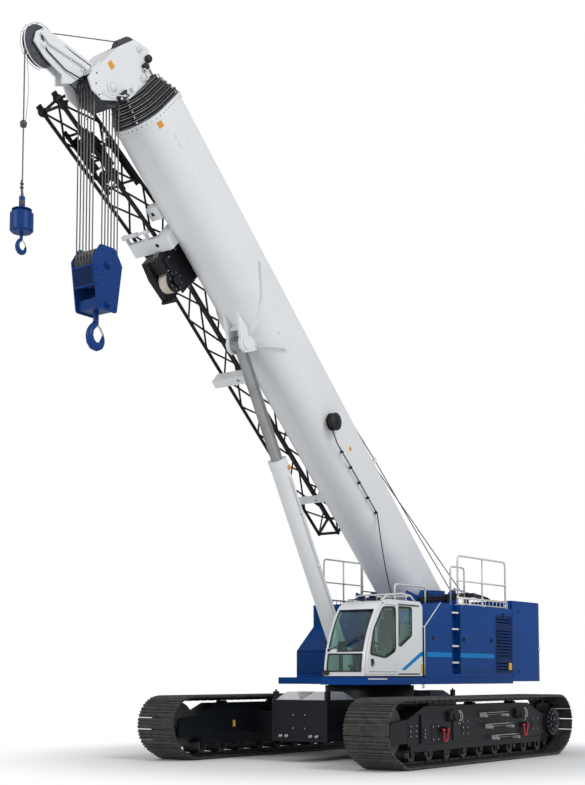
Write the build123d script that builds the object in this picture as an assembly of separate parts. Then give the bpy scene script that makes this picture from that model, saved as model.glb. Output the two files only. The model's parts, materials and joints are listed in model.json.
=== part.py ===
"""A telescopic crawler crane, at full size, in millimetres.

X points forward, Y to the machine's left and Z up.
The origin is on the slewing axis at ground level.
The boom is drawn in its own frame: along it, across it and up from it, from the foot pin.
"""

import math
import os

from build123d import *

SEAT = 0.3                # gap left where one piece rests against another
PIN_FIT = 0.1             # radial clearance of a pin in its bore

# Tracks, about the middle of each one
GAUGE = 4780              # between the middles of the two tracks
TRACK_MIDDLE_X = 170      # the tracks stand a little ahead of the slewing axis
WHEEL_BASE = 6164         # idler axle to sprocket axle
WHEEL_Z = 675
GROUND_LENGTH = 5950      # flat part of the track on the ground
TRACK_END_RADIUS = 565    # outside of the shoes round the end wheels
SHOE_WIDTH = 900
SHOE_PITCH = 216
SHOE_THICKNESS = 30
SHOE_GAP = 12
SHOE_HINGE = 4            # what is left between two shoes at their joint
RIB_HEIGHT = 25
RIB_WIDTH = 44
LINK_HEIGHT = 60
LINK_HALF = 130
WHEEL_HALF = 115
HUB_RADIUS = 110
SPROCKET_TEETH = 11
TOOTH_DEPTH = 50
SPROCKET_HALF = 45
ROLLER_RADIUS = 120
ROLLER_COUNT = 9
ROLLER_END_ROOM = 260     # from the end of the ground run to the last roller's axle
CARRIER_RADIUS = 75
CARRIER_END_ROOM = 950    # from the frame's end to the outer carrier rollers
CARRIER_HALF = 100
CARRIER_POCKET = 12       # room round a carrier roller in the top of the frame

# Crawler frames
FRAME_WIDTH = 420
FRAME_TOP = 1080
FRAME_NOSE = 860          # height of the frame's lower ends, beside the wheels
FRAME_SLOPE = 560         # length of the slope from the top down to the nose
FRAME_BOTTOM = 375
FRAME_END_ROOM = 45       # from the frame's end to the wheel
SKIRT_INNER = 196
SKIRT_OUTER = 228
SKIRT_TAB = 62            # half width of the tab that holds each roller's end
SKIRT_LIP = 90            # height of the skirt between the tabs
ROLLER_TAB_DROP = 48      # from a roller's axle to the tab's lower edge
LEDGE_HEIGHT = 20
LEDGE_DEPTH = 18
ARM_INNER = 150
ARM_OUTER = 206
ARM_REACH = 95            # from the wheel's axle to the arm's end
ARM_BOTTOM = 440
ARM_CORNER = 55
DRIVE_STEPS = ((290, 70), (235, 105), (150, 130), (62, 150))  # radius and depth of the final drive's cover
STEP_THICKNESS = 30
STEP_DEPTH = 165
STEPS = ((-275, 920), (-490, 700), (-740, 480))  # middle along the machine, top
STEP_LENGTH = 870
SHACKLE_X = (1560, -1630)
SHACKLE_Z = 640
SHACKLE_BOW = 85           # half the bow's opening
SHACKLE_THICK = 34
SHACKLE_PIN = 20
BOW_DROP = 1.2             # straight legs for each unit of the bow's radius

# Carbody
CARBODY_LENGTH = 2300
CARBODY_WIDTH = 1900
CARBODY_CORNER = 260
CARBODY_TOP = 1140
CARBODY_BOTTOM = 480
BEAM_X = 980              # cross beams, ahead of and behind the slewing axis
BEAM_WIDTH = 420
BEAM_TOP = 900
BEAM_BOTTOM = 480
RING_RADIUS = 900
RING_TOP = 1430
WEIGHT_FACE_X = 2420      # face of the carbody weights
WEIGHT_BACK_X = 1250
WEIGHT_WIDTH = 1290
WEIGHT_TOP = 1165
WEIGHT_BOTTOM = 390
WEIGHT_RECESS = 14
WEIGHT_RIM = 70           # from the face's edges to its recess
WEIGHT_HATCH = (150, 620, 900)  # half width, bottom and top of the square cover on the face
EYE_SETBACK = 420         # from the weight's face to its lifting eye
EYE_RADIUS = 62
EYE_BAR = 26

# Slewing frame
DECK_BOTTOM = 1455
DECK_TOP = 1590
DECK_HALF_WIDTH = 1640
DECK_REAR_X = -3130
DECK_INNER_Y = 640
RIGHT_DECK_FRONT_X = 900
NOSE_X = 1160
CHEEK_INNER = 520
CHEEK_OUTER = 565
TAIL_BEAM_INNER = 330
TAIL_BEAM_OUTER = 560
TAIL_BEAM_TOP = 1980
PAD_HALF = 70

# Winches, in the well of the counterweight
# Name, x, z, radius of the drum, radius of its flanges
WINCHES = (("main_winch", -3420, 2770, 190, 290), ("aux_winch", -4080, 2900, 170, 250))
WINCH_HALF = 470
WINCH_FLANGE = 30
WINCH_STAND_INNER = 478
WINCH_STAND = 40
WINCH_JOURNAL = 60

# Housings and counterweight
HOUSING_INNER_Y = 720
HOUSING_TOP = 3050
HOUSING_WALL = 20
HOUSING_FRONT_X = 545
BEVEL_LOW = 2565          # the left housing's front corner is cut from here
BEVEL_X = -70             # to here
RIGHT_HOUSING_TOP = 3120
RIGHT_HOUSING_SIDE = DECK_HALF_WIDTH - 40
RIGHT_FRONT_X = 325
TOWER_X = -275
INTAKE_LOW = 2140
INTAKE_HIGH = 2660
GRILLE_PLATE = 14
LADDER_X = -665
LADDER_HALF = 165
NICHE_DEPTH = 140
RUNG_TOPS = (2900, 2570, 2230, 1900)
RUNG_HEIGHT = 34
GRILLE_PANELS = ((-3070, -2380, 2680, 2880), (-3070, -2380, 1975, 2635),
                 (-3070, -2380, 1700, 1930))  # x0, x1, z0, z1
SLAT_PITCH = 66
SLAT_GAP = 36
TAIL_X = -4740
TAIL_TOP = 3240
TAIL_BOTTOM = 1500
TAIL_CORNER = 420
WELL_HALF = 640
WELL_REAR_X = -4440
ENGINE = (-2950, -1350, HOUSING_INNER_Y + 140, DECK_HALF_WIDTH - 140, 2520)  # x0, x1, y0, y1, top

# Handrails: x0, x1, y, foot, top, heights of the bars between
RAIL_RADIUS = 20
RAIL_SLIM = 0.85          # the bars along the machine are this much thinner than the posts
RAIL_INSET = 55           # from a housing's side to the rail's middle
LONG_RAIL = 1200          # longer rails get a post in the middle
RAILS = (
    (-2920, -850, DECK_HALF_WIDTH - RAIL_INSET, HOUSING_TOP, 4050, (3200, 3540)),
    (-2580, -1980, HOUSING_INNER_Y + RAIL_INSET, HOUSING_TOP, 3950, (3450,)),
    (-2090, -590, RAIL_INSET - RIGHT_HOUSING_SIDE, RIGHT_HOUSING_TOP, 4130, (3250, 3630)),
    (-1760, -890, -HOUSING_INNER_Y - RAIL_INSET, RIGHT_HOUSING_TOP, 4250, (3420,)),
)
# Rear foot on the housing, front foot on the cab, y, top
GRAB_RAIL = (-250, 900, (HOUSING_INNER_Y + DECK_HALF_WIDTH) / 2, 3390)

# Cab
CAB_FRONT_X = 2620
CAB_REAR_X = 570
CAB_INNER_Y = 720
CAB_OUTER_Y = DECK_HALF_WIDTH - 40
CAB_BOTTOM = 1612
CAB_TOP = 3040
CAB_WALL = 45
CAB_SILL_Z = 1780         # the front is upright up to here
CAB_BROW = (2474, 2340)   # the curved front passes here
CAB_CROWN = (2150, 2885)  # and here
CAB_ROOF_BEND = (1960, 2995)
CAB_ROOF_FRONT = 1690     # the roof is flat behind here
CAB_POST = 70
PANE = 8
PANE_DEPTH = 14
FRONT_WINDOWS = ((1700, 2010), (2065, 2830))     # z0, z1
REAR_WINDOW = (2600, 2890)
ROOF_WINDOW = (1480, 1940)
DOOR_OPENING = ((1560, 1720), (2510, 1720), (2490, 1950), (2370, 2400), (2200, 2730), (2000, 2890),
                (1560, 2925))
DOOR_WINDOW = ((2050, 2880), (1620, 2900), (1620, 2080), (1960, 1950), (2480, 2010), (2370, 2450))
REAR_SIDE_WINDOW = ((1460, 2910), (980, 2910), (980, 2380), (1380, 2170), (1460, 2200))
RIGHT_WINDOW = ((2040, 2850), (900, 2890), (900, 2150), (2420, 2150), (2330, 2480))
DOOR_REAR_X = 1510
DOOR_THICKNESS = 34
DOOR_CLEAR = 6
DOOR_RAIL_TOP = 1636
DOOR_RAIL = 40
LAMP_RADIUS = 38
LAMP_X = 2560
LAMP_HEIGHT = 75

# Boom
FOOT_X = -2350
FOOT_Z = 2670
BOOM_ANGLE = 42.67
FOOT_PIN_RADIUS = 75
BOOM_WIDTH = 1000
BOOM_HEIGHT = 1140
BOOM_SINK = 80            # the section's middle lies this far under the foot pin's line
BOOM_WALL = 12
LOWER_ROUND = 0.46        # lower corner radius as a share of the width
UPPER_ROUND = 0.17
BOOM_START = 320
BOOM_END = 12300
MOUTH_RIM = 18
MOUTH_BACK = 30           # the mouth's rim starts this far behind the section's end
MOUTH_LENGTH = 80         # and ends this far ahead of it
SECTION_STEP = 36         # from one section's outside to the next one's, each side
SECTION_COUNT = 5
SECTION_STAGGER = 60
COLLAR_THICKNESS = 76
COLLAR_GAP = 8
COLLAR_RIM = 30
PAD_LENGTH = 160
HEAD_START = BOOM_END + MOUTH_LENGTH + SECTION_COUNT * (COLLAR_THICKNESS + COLLAR_GAP)
GUIDES = ((4120, 760, 300), (6240, 700, 120), (9170, 640, 120))  # along, top, half width of the rope guides

# Luffing cylinder
EAR_ALONG = 8187          # its upper pin, along the boom
EAR_UNDER = 841           # and under the foot pin's line
EAR_INNER = 116
EAR_OUTER = 172
EAR_RADIUS = 190
EAR_BACK = 330            # the ears' roots reach this far back and ahead along the boom
EAR_FRONT = 640
RIB_PROUD = 60            # the ribs that spread the cylinder's load stand this far off the boom
RIB_THICKNESS = 34
RIBS = ((60, -700, 1010, 140), (-120, -760, -560, -330))  # along from the ear and up, at the foot and the top
LUFF_FOOT_X = 900
LUFF_FOOT_Z = 1800
LUFF_PIN_RADIUS = 70
BARREL_RADIUS = 170
BARREL_COLLAR = 180
BARREL_LENGTH = 4430
BARREL_EYE_RADIUS = 160
BARREL_FLOOR = 500        # from the lower pin to the bottom of the bore
ROD_RADIUS = 110
ROD_LENGTH = 4400
ROD_EYE_RADIUS = 140
FOOT_CHEEK_INNER = 182
FOOT_CHEEK_OUTER = 232

# Boom head and hooks
HEAD_AXLE_X = 7850
HEAD_AXLE_Z = 10970
HEAD_AXLE_RADIUS = 60
SHEAVE_RADIUS = 290
SHEAVE_PITCH = 70
SHEAVE_COUNT = 6
ROPE_RADIUS = 11
ROPE_LINE = 275           # rope middle from a sheave's axle
TOP_AXLE_ALONG = 13290
TOP_AXLE_UP = 260
TOP_AXLE_RADIUS = 40
TOP_SHEAVE_RADIUS = 235
TOP_SHEAVE_COUNT = 3
AUX_AXLE_X = 9130
AUX_AXLE_Z = 11220
AUX_AXLE_RADIUS = 35
AUX_SHEAVE_RADIUS = 320
AUX_ROPE_LINE = 290
HEAD_PLATE_Y = 262
HEAD_PLATE = 30
HEAD_FRONT = HEAD_START + 720
HEAD_OUTLINE = ((0, -560), (0, 0), (186, 330), (351, 482), (638, 262), (720, -150), (720, -1010),
                (690, -1180), (511, -1240), (287, -1150), (90, -800))  # from the start, above the foot pin
ARM_PLATE_INNER = 60
ARM_PLATE = 25
# The arm's outlines: from the head's front, above the foot pin's line
ARM_OUTLINE = ((0, -760), (905, -1330), (930, -1470), (850, -1620), (560, -1600), (210, -1458), (113, -1560),
               (20, -1382), (0, -1200))
ARM_FLANGE = 46           # width of the band along the arm's upper edge
ARM_FLANGE_OUTLINE = ((0, -741), (910, -1313), (880, -1440), (680, -1400), (120, -985), (0, -940))
ARM_WEB_END = HEAD_FRONT + 340       # the web between the arm's plates stops short of the sheave
BLOCK_AXLE_Z = 8080
BLOCK_AXLE_RADIUS = 55
BLOCK_PLATE_Y = 222
BLOCK_PLATE = 26
BLOCK_BOTTOM = 7340
BLOCK_CORNER = 50
# From the axle, above the bottom
BLOCK_CHEEK = ((-212, 0), (-325, 790), (-165, 1040), (165, 1040), (325, 790), (212, 0))
GUARD_LOW = 7700          # the plates over the front and back of the sheaves
GUARD_HIGH = 7995
GUARD_PLATE = 13
GUARD_LEDGE = 44
TRUNNION_HALF = 165
TRUNNION_BOTTOM = 7365
TRUNNION_TOP = 7530
HOOK_THROAT = 95
HOOK_THICKNESS = 104
HOOK_CENTRE = 6945
HOOK_CHAMFER = 24
HOOK_ROUND = 0.26         # corner radius of a hook's outline as a share of its throat
SHANK_RADIUS = 45
NUT_HEIGHT = 60
AUX_ROPE_END = 8760
AUX_WEIGHT_TOP = 8560
AUX_WEIGHT_BOTTOM = 8210
AUX_WEIGHT_RADIUS = 175
AUX_SOCKET_RADIUS = 45
AUX_HOOK_THROAT = 52
AUX_HOOK_THICKNESS = 56
AUX_HOOK_CENTRE = 7985
AUX_HOOK_CHAMFER = 12
AUX_SHANK_RADIUS = 24
AUX_SHANK_REACH = 130     # how far the shank goes up into the weight

# Stowed lattice jib, in the boom's frame: the root length and the tip length, which slopes more
JIB_LINE = ((3150, -352), (9400, -520), (13230, -1040))  # along, and the height of the lower chords there
JIB_BAYS = (9, 6)         # lacing bays in each length
JIB_NEAR_Y = -610
JIB_SIDE = 480
CHORD_RADIUS = 32
LACING_WIDTH = 26
JIB_LUG = 95              # length of the lugs at the tip
JIB_LUG_HALF = 24
# Along, half length, depth or 0 if short
JIB_MOUNTS = ((4200, 55, 110), (7380, 80, 250), (10380, 130, 120), (10860, 120, 0))
MOUNT_THICKNESS = 48
MOUNT_ROOM = 90            # left free beside the luffing cylinder with the boom down
MOUNT_HOLE = 38
MOUNT_HOLE_Y = -556
SHORT_MOUNT = (-572, -330, -610, -420)  # y from and to, underside and top of the short upper mount
REEL_ALONG = 5830
REEL_UP = -237
REEL_RADIUS = 172
REEL_WIDTH = 110
REEL_STAND = 40
JIB_WINCH = (9340, 10230, -860, -470)  # along from and to, across from and to
JIB_WINCH_UP = (-1150, -745)
JIB_DRUM_ALONG = 9720
JIB_DRUM_RADIUS = 165
JIB_CHEEK_RADIUS = 200
JIB_CHEEK = 28
JIB_HANGER = 24


def block(x0, x1, y0, y1, z0, z1):
    """A box between two corners."""
    return Pos((x0 + x1) / 2, (y0 + y1) / 2, (z0 + z1) / 2) * Box(x1 - x0, y1 - y0, z1 - z0)


def both_sides(shape):
    """A shape and its mirror image across the machine."""
    return shape + mirror(shape, Plane.XZ)


def profile(points, round_corners=0.0):
    """A face in the plane of the machine's side, from (x, z) points."""
    face = make_face(Polyline(*[(x, 0, z) for x, z in points], close=True))
    if round_corners:
        face = fillet(face.vertices(), round_corners)
    return face


def side_plate(points, y0, y1, round_corners=0.0):
    """A plate seen from the side, from y0 to y1."""
    return Pos(0, y0, 0) * extrude(profile(points, round_corners), amount=y1 - y0, dir=(0, 1, 0))


def plan_plate(points, z0, z1):
    """A plate seen from above: an outline of (x, y) points, from z0 to z1."""
    face = make_face(Polyline(*[(x, y, 0) for x, y in points], close=True))
    return Pos(0, 0, z0) * extrude(face, amount=z1 - z0, dir=(0, 0, 1))


def shifted(points, start):
    """An outline moved along its first axis."""
    return [(a + start, b) for a, b in points]


def disc_y(x, z, radius, y0, y1):
    """A round bar or disc across the machine."""
    return Pos(x, (y0 + y1) / 2, z) * Rot(90, 0, 0) * Cylinder(radius, y1 - y0)


def bar(start, end, radius):
    """A round bar between two points."""
    a, b = Vector(*start), Vector(*end)
    return Plane(origin=a, z_dir=b - a) * Cylinder(radius, (b - a).length,
                                                   align=(Align.CENTER, Align.CENTER, Align.MIN))


def slim_bar(start, end, radius, sides=8):
    """A slim bar between two points, with flat sides."""
    a, b = Vector(*start), Vector(*end)
    return Plane(origin=a, z_dir=b - a) * extrude(RegularPolygon(radius, sides), amount=(b - a).length)


def flat_bar(start, end, width):
    """A square bar between two points."""
    a, b = Vector(*start), Vector(*end)
    return Plane(origin=a, z_dir=b - a) * Box(width, width, (b - a).length,
                                              align=(Align.CENTER, Align.CENTER, Align.MIN))


def joined(shapes):
    """Many touching shapes as one."""
    first, *rest = shapes
    return first.fuse(*rest) if rest else first


def turned(outline):
    """A shape turned about the Y axis, from (radius, y) points."""
    return revolve(make_face(Polyline(*[(r, y, 0) for r, y in outline], close=True)), Axis.Y)


def bow(radius, thick):
    """A shackle's bow in the plane of the machine's side, its pin's middle at the origin."""
    drop = radius * BOW_DROP
    outside = profile([(-radius - thick, 0), (radius + thick, 0), (radius + thick, -drop),
                       (-radius - thick, -drop)])
    inside = profile([(-radius, 0), (radius, 0), (radius, -drop), (-radius, -drop)])
    ring = Pos(0, 0, -drop) * Plane.XZ * (Circle(radius + thick) - Circle(radius))
    ring &= profile([(-2 * radius, -drop), (2 * radius, -drop), (2 * radius, -4 * radius),
                     (-2 * radius, -4 * radius)])
    legs = Pos(0, -thick / 2, 0) * extrude(outside - inside, amount=thick, dir=(0, 1, 0))
    return legs + Pos(0, -thick / 2, 0) * extrude(ring, amount=thick, dir=(0, 1, 0))


ALONG = Vector(math.cos(math.radians(BOOM_ANGLE)), 0, math.sin(math.radians(BOOM_ANGLE)))
UP = Vector(-ALONG.Z, 0, ALONG.X)
boom_frame = Plane(origin=(FOOT_X, 0, FOOT_Z), x_dir=ALONG, z_dir=UP)


def on_boom(shape):
    """Puts a shape that is drawn in the boom's frame into the machine's frame."""
    return boom_frame * shape


def to_boom(x, z):
    """A point of the machine's side as (along, up) in the boom's frame."""
    p = Vector(x - FOOT_X, 0, z - FOOT_Z)
    return p.dot(ALONG), p.dot(UP)


PITCH_RADIUS = TRACK_END_RADIUS - RIB_HEIGHT - SHOE_THICKNESS
GROUND_LINE = RIB_HEIGHT + SHOE_THICKNESS


def track_legs():
    """The track's pitch line as (kind, length, heading), from the front of the ground run, backwards."""
    run, rise = (WHEEL_BASE - GROUND_LENGTH) / 2, WHEEL_Z - GROUND_LINE
    reach = math.hypot(run, rise)
    slope = math.sqrt(reach**2 - PITCH_RADIUS**2)
    ramp = math.atan2(rise, run) - math.atan2(PITCH_RADIUS, slope)
    round_end = PITCH_RADIUS * (math.pi - ramp)
    return [("line", GROUND_LENGTH, math.pi), ("line", slope, math.pi - ramp),
            ("arc", round_end, math.pi - ramp),
            ("line", WHEEL_BASE, 0), ("arc", round_end, 0), ("line", slope, math.pi + ramp)]


def track_points():
    """Stations along the pitch line, one at each joint between shoes: (x, z, heading)."""
    legs = track_legs()
    total = sum(length for _, length, _ in legs)
    count = round(total / SHOE_PITCH)
    step = total / count
    x, z = GROUND_LENGTH / 2, GROUND_LINE
    stations, passed = [], 0.0
    for kind, length, heading in legs:
        while len(stations) < count and len(stations) * step < passed + length - 1e-6:
            here = len(stations) * step - passed
            turn = heading - here / PITCH_RADIUS if kind == "arc" else heading
            stations.append((*travel(x, z, kind, here, heading), turn))
        x, z = travel(x, z, kind, length, heading)
        passed += length
    return stations


def travel(x, z, kind, length, heading):
    """The point reached from (x, z) along a straight run or round a wheel."""
    if kind == "line":
        return x + length * math.cos(heading), z + length * math.sin(heading)
    end = heading - length / PITCH_RADIUS
    return (x + PITCH_RADIUS * (math.sin(heading) - math.sin(end)),
            z - PITCH_RADIUS * (math.cos(heading) - math.cos(end)))


def shoe_profile(length):
    """One shoe's outline as (along, outwards): two joints with a rib between them."""
    middle = length / 2
    return [(SHOE_GAP / 2, SHOE_HINGE), (SHOE_GAP / 2, SHOE_THICKNESS),
            (middle - RIB_WIDTH / 2, SHOE_THICKNESS),
            (middle, SHOE_THICKNESS + RIB_HEIGHT), (middle + RIB_WIDTH / 2, SHOE_THICKNESS),
            (length - SHOE_GAP / 2, SHOE_THICKNESS), (length - SHOE_GAP / 2, SHOE_HINGE)]


def track_loop(middle_y):
    """One track: the shoes as a loop, and the chain inside them."""
    stations = track_points()
    outer, inner, chain = [], [], []
    for (x0, z0, turn), (x1, z1, _) in zip(stations, stations[1:] + stations[:1]):
        length = math.hypot(x1 - x0, z1 - z0)
        tx, tz = (x1 - x0) / length, (z1 - z0) / length
        outer += [(x0 + tx * a - tz * h, z0 + tz * a + tx * h) for a, h in shoe_profile(length)]
        inner.append((x0, z0))
        chain.append((x0 + math.sin(turn) * LINK_HEIGHT, z0 - math.cos(turn) * LINK_HEIGHT))
    half = SHOE_WIDTH / 2
    shoes = side_plate(outer, -half, half) - side_plate(inner, -half - 1, half + 1)
    links = side_plate(inner, -LINK_HALF, LINK_HALF) - side_plate(chain, -LINK_HALF - 1, LINK_HALF + 1)
    return Pos(TRACK_MIDDLE_X, middle_y, 0) * (shoes + links)


CHAIN_LOW = GROUND_LINE + LINK_HEIGHT
CHAIN_HIGH = WHEEL_Z + PITCH_RADIUS - LINK_HEIGHT
WHEEL_RADIUS = (PITCH_RADIUS - LINK_HEIGHT) * math.cos(SHOE_PITCH / PITCH_RADIUS * 0.51) - SEAT
ROLLER_Z = CHAIN_LOW + SEAT + ROLLER_RADIUS
CARRIER_Z = CHAIN_HIGH - SEAT - CARRIER_RADIUS
FRAME_HALF = WHEEL_BASE / 2 - WHEEL_RADIUS - FRAME_END_ROOM
FRAME_SIDE = GAUGE / 2 + FRAME_WIDTH / 2
CARRIER_X = (CARRIER_END_ROOM - FRAME_HALF, 0, FRAME_HALF - CARRIER_END_ROOM)


def wheel(x, z, radius, half, hub, hub_half):
    """An idler or sprocket blank: a tread and a hub, turned as one piece."""
    outline = [(0, -hub_half), (hub, -hub_half), (hub, -half), (radius, -half), (radius, half), (hub, half),
               (hub, hub_half), (0, hub_half)]
    return Pos(x, 0, z) * turned(outline)


def sprocket(x, z):
    """The drive wheel with its teeth, on its hub."""
    teeth = []
    for i in range(SPROCKET_TEETH):
        for share, radius in ((-0.3, 0), (-0.14, 1), (0.14, 1), (0.3, 0)):
            angle = math.tau * (i + share) / SPROCKET_TEETH
            r = WHEEL_RADIUS - TOOTH_DEPTH * (1 - radius)
            teeth.append((r * math.sin(angle), r * math.cos(angle)))
    disc = Pos(x, 0, z) * side_plate(teeth, -SPROCKET_HALF, SPROCKET_HALF)
    return disc + disc_y(x, z, HUB_RADIUS * 1.6, -ARM_INNER + SEAT, ARM_INNER - SEAT)


def roller_places():
    """Where the rollers lie along the frame."""
    span = GROUND_LENGTH - 2 * ROLLER_END_ROOM - 2 * FRAME_END_ROOM
    span = min(span, 2 * (FRAME_HALF - ROLLER_RADIUS))
    return [span * (i / (ROLLER_COUNT - 1) - 0.5) for i in range(ROLLER_COUNT)]


def running_gear(side):
    """Idler, sprocket, rollers and carrier rollers of one side."""
    hub_half = ARM_INNER - SEAT
    wheels = [wheel(WHEEL_BASE / 2, WHEEL_Z, WHEEL_RADIUS, WHEEL_HALF, HUB_RADIUS, hub_half),
              sprocket(-WHEEL_BASE / 2, WHEEL_Z)]
    for x in roller_places():
        wheels.append(disc_y(x, ROLLER_Z, ROLLER_RADIUS, -SKIRT_INNER + SEAT, SKIRT_INNER - SEAT))
    for x in CARRIER_X:
        wheels.append(disc_y(x, CARRIER_Z, CARRIER_RADIUS, -CARRIER_HALF + SEAT, CARRIER_HALF - SEAT))
    return [Pos(TRACK_MIDDLE_X, side * GAUGE / 2, 0) * w for w in wheels]


def roller_skirt():
    """A strip along the frame's lower edge with a tab down to each roller's axle."""
    low, lip, tab = ROLLER_Z - ROLLER_TAB_DROP, FRAME_BOTTOM - SKIRT_LIP, SKIRT_TAB
    places = roller_places()
    outline = [(places[0] - tab, FRAME_BOTTOM + 20)]
    for x in places:
        outline += [(x - tab, lip), (x - tab * 0.7, low), (x + tab * 0.7, low), (x + tab, lip)]
    outline.append((places[-1] + tab, FRAME_BOTTOM + 20))
    return side_plate(outline[1:-1] + [outline[-1], outline[0]], SKIRT_INNER, SKIRT_OUTER)


def wheel_arm(sign):
    """The side plate that reaches from the frame past the idler's or the sprocket's axle."""
    axle, root = WHEEL_BASE / 2, FRAME_HALF - FRAME_SLOPE
    tip, corner = axle + ARM_REACH, ARM_CORNER
    outline = [(root, ARM_BOTTOM), (tip - corner, ARM_BOTTOM), (tip, ARM_BOTTOM + corner),
               (tip, FRAME_NOSE - 2 * corner),
               (tip - corner, FRAME_NOSE - corner), (FRAME_HALF, FRAME_NOSE), (root, FRAME_TOP)]
    return side_plate([(sign * x, z) for x, z in outline], ARM_INNER, ARM_OUTER)


def crawler_frame(side):
    """One track's frame: a box with sloping ends, carrier pockets, skirts, wheel arms and the drive case."""
    half, end = FRAME_WIDTH / 2, FRAME_HALF
    outline = [(-end, FRAME_BOTTOM), (-end, FRAME_NOSE), (-end + FRAME_SLOPE, FRAME_TOP),
               (end - FRAME_SLOPE, FRAME_TOP),
               (end, FRAME_NOSE), (end, FRAME_BOTTOM)]
    body = side_plate(outline, -half, half)
    room = CARRIER_RADIUS + CARRIER_POCKET
    for x in CARRIER_X:
        body -= block(x - room, x + room, -CARRIER_HALF, CARRIER_HALF, CARRIER_Z - room, FRAME_TOP + 1)
    for x in SHACKLE_X:
        lug_x = x - TRACK_MIDDLE_X
        a, b = sorted((side * (half - 1), side * (half + 100)))
        lug = block(lug_x - 18, lug_x + 18, a, b, SHACKLE_Z - 45, SHACKLE_Z + 60)
        bore = bar((lug_x - 19, side * (half + 60), SHACKLE_Z), (lug_x + 19, side * (half + 60), SHACKLE_Z),
                   SHACKLE_PIN + PIN_FIT)
        body = body.fuse(lug).cut(bore)
    ledge = block(-end + 40, end - 40, half - 1, half + LEDGE_DEPTH, FRAME_BOTTOM,
                  FRAME_BOTTOM + LEDGE_HEIGHT)
    parts = [body, both_sides(roller_skirt()), both_sides(ledge), both_sides(wheel_arm(1)),
             both_sides(wheel_arm(-1))]
    cover = [(0, ARM_OUTER - 1)]
    for i, (radius, depth) in enumerate(DRIVE_STEPS):
        near = DRIVE_STEPS[i - 1][1] if i else -1
        cover += [(radius, ARM_OUTER + near), (radius, ARM_OUTER + depth)]
    drive = Pos(-WHEEL_BASE / 2, 0, WHEEL_Z) * turned(cover + [(0, ARM_OUTER + DRIVE_STEPS[-1][1])])
    parts.append(drive if side > 0 else mirror(drive, Plane.XZ))
    return Pos(TRACK_MIDDLE_X, side * GAUGE / 2, 0) * joined(parts)


def shackles():
    """Four shackles that hang in the lugs on the crawler frames."""
    found = []
    for side in (1, -1):
        for x in SHACKLE_X:
            y = side * (FRAME_SIDE + 60)
            reach = SHACKLE_BOW + SHACKLE_THICK
            pin = bar((x - reach, y, SHACKLE_Z), (x + reach, y, SHACKLE_Z), SHACKLE_PIN)
            found.append(Pos(x, y, SHACKLE_Z) * bow(SHACKLE_BOW, SHACKLE_THICK) + pin)
    return found


def crawler_steps():
    """Treads bracketed to the outer side of each crawler frame."""
    steps = []
    for side in (1, -1):
        for x, top in STEPS:
            a, b = sorted((side * FRAME_SIDE, side * (FRAME_SIDE + STEP_DEPTH)))
            tread = block(x - STEP_LENGTH / 2, x + STEP_LENGTH / 2, a, b, top - STEP_THICKNESS, top)
            for end in (x - STEP_LENGTH / 2, x + STEP_LENGTH / 2 - 12):
                tread += block(end, end + 12, a, b, top - 80, top - STEP_THICKNESS + 1)
            steps.append(tread)
    return steps


def carbody():
    """The middle of the undercarriage: box, two cross beams, end brackets and the fixed slewing ring."""
    half_l, half_w, cut = CARBODY_LENGTH / 2, CARBODY_WIDTH / 2, CARBODY_CORNER
    plan = [(-half_l, -half_w + cut), (-half_l + cut, -half_w), (half_l - cut, -half_w),
            (half_l, -half_w + cut),
            (half_l, half_w - cut), (half_l - cut, half_w), (-half_l + cut, half_w), (-half_l, half_w - cut)]
    parts = [plan_plate(plan, CARBODY_BOTTOM, CARBODY_TOP)]
    reach = GAUGE / 2 - FRAME_WIDTH / 2
    for x in (-BEAM_X, BEAM_X):
        parts.append(block(x - BEAM_WIDTH / 2, x + BEAM_WIDTH / 2, -reach, reach, BEAM_BOTTOM, BEAM_TOP))
    parts.append(Pos(0, 0, (CARBODY_TOP + RING_TOP) / 2) * Cylinder(RING_RADIUS, RING_TOP - CARBODY_TOP))
    parts.append(block(-WEIGHT_BACK_X, WEIGHT_BACK_X, -400, 400, CARBODY_BOTTOM + 60, CARBODY_TOP - 120))
    return joined(parts)


def carbody_weight(sign):
    """A weight block on the front or rear of the carbody, with a recessed face, a hatch and a lifting eye."""
    a, b = sorted((sign * WEIGHT_FACE_X, sign * WEIGHT_BACK_X))
    half, rim = WEIGHT_WIDTH / 2, WEIGHT_RIM
    body = block(a, b, -half, half, WEIGHT_BOTTOM, WEIGHT_TOP)
    c, d = sorted((sign * (WEIGHT_FACE_X + 1), sign * (WEIGHT_FACE_X - WEIGHT_RECESS)))
    body -= block(c, d, -half + rim, half - rim, WEIGHT_BOTTOM + rim, WEIGHT_TOP - rim)
    hatch_half, hatch_low, hatch_high = WEIGHT_HATCH
    c, d = sorted((sign * (WEIGHT_FACE_X - WEIGHT_RECESS - 1), sign * (WEIGHT_FACE_X - WEIGHT_RECESS / 2)))
    body += block(c, d, -hatch_half, hatch_half, hatch_low, hatch_high)
    eye_x = sign * (WEIGHT_FACE_X - EYE_SETBACK)
    ring = Circle(EYE_RADIUS) - Circle(EYE_RADIUS - EYE_BAR)
    eye = Pos(-EYE_BAR / 2, 0, 0) * extrude(Plane.YZ * ring, amount=EYE_BAR, dir=(1, 0, 0))
    foot = block(eye_x - 30, eye_x + 30, -45, 45, WEIGHT_TOP - 1, WEIGHT_TOP + 12)
    return body + foot + Pos(eye_x, 0, WEIGHT_TOP + EYE_RADIUS + 4) * eye


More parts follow.
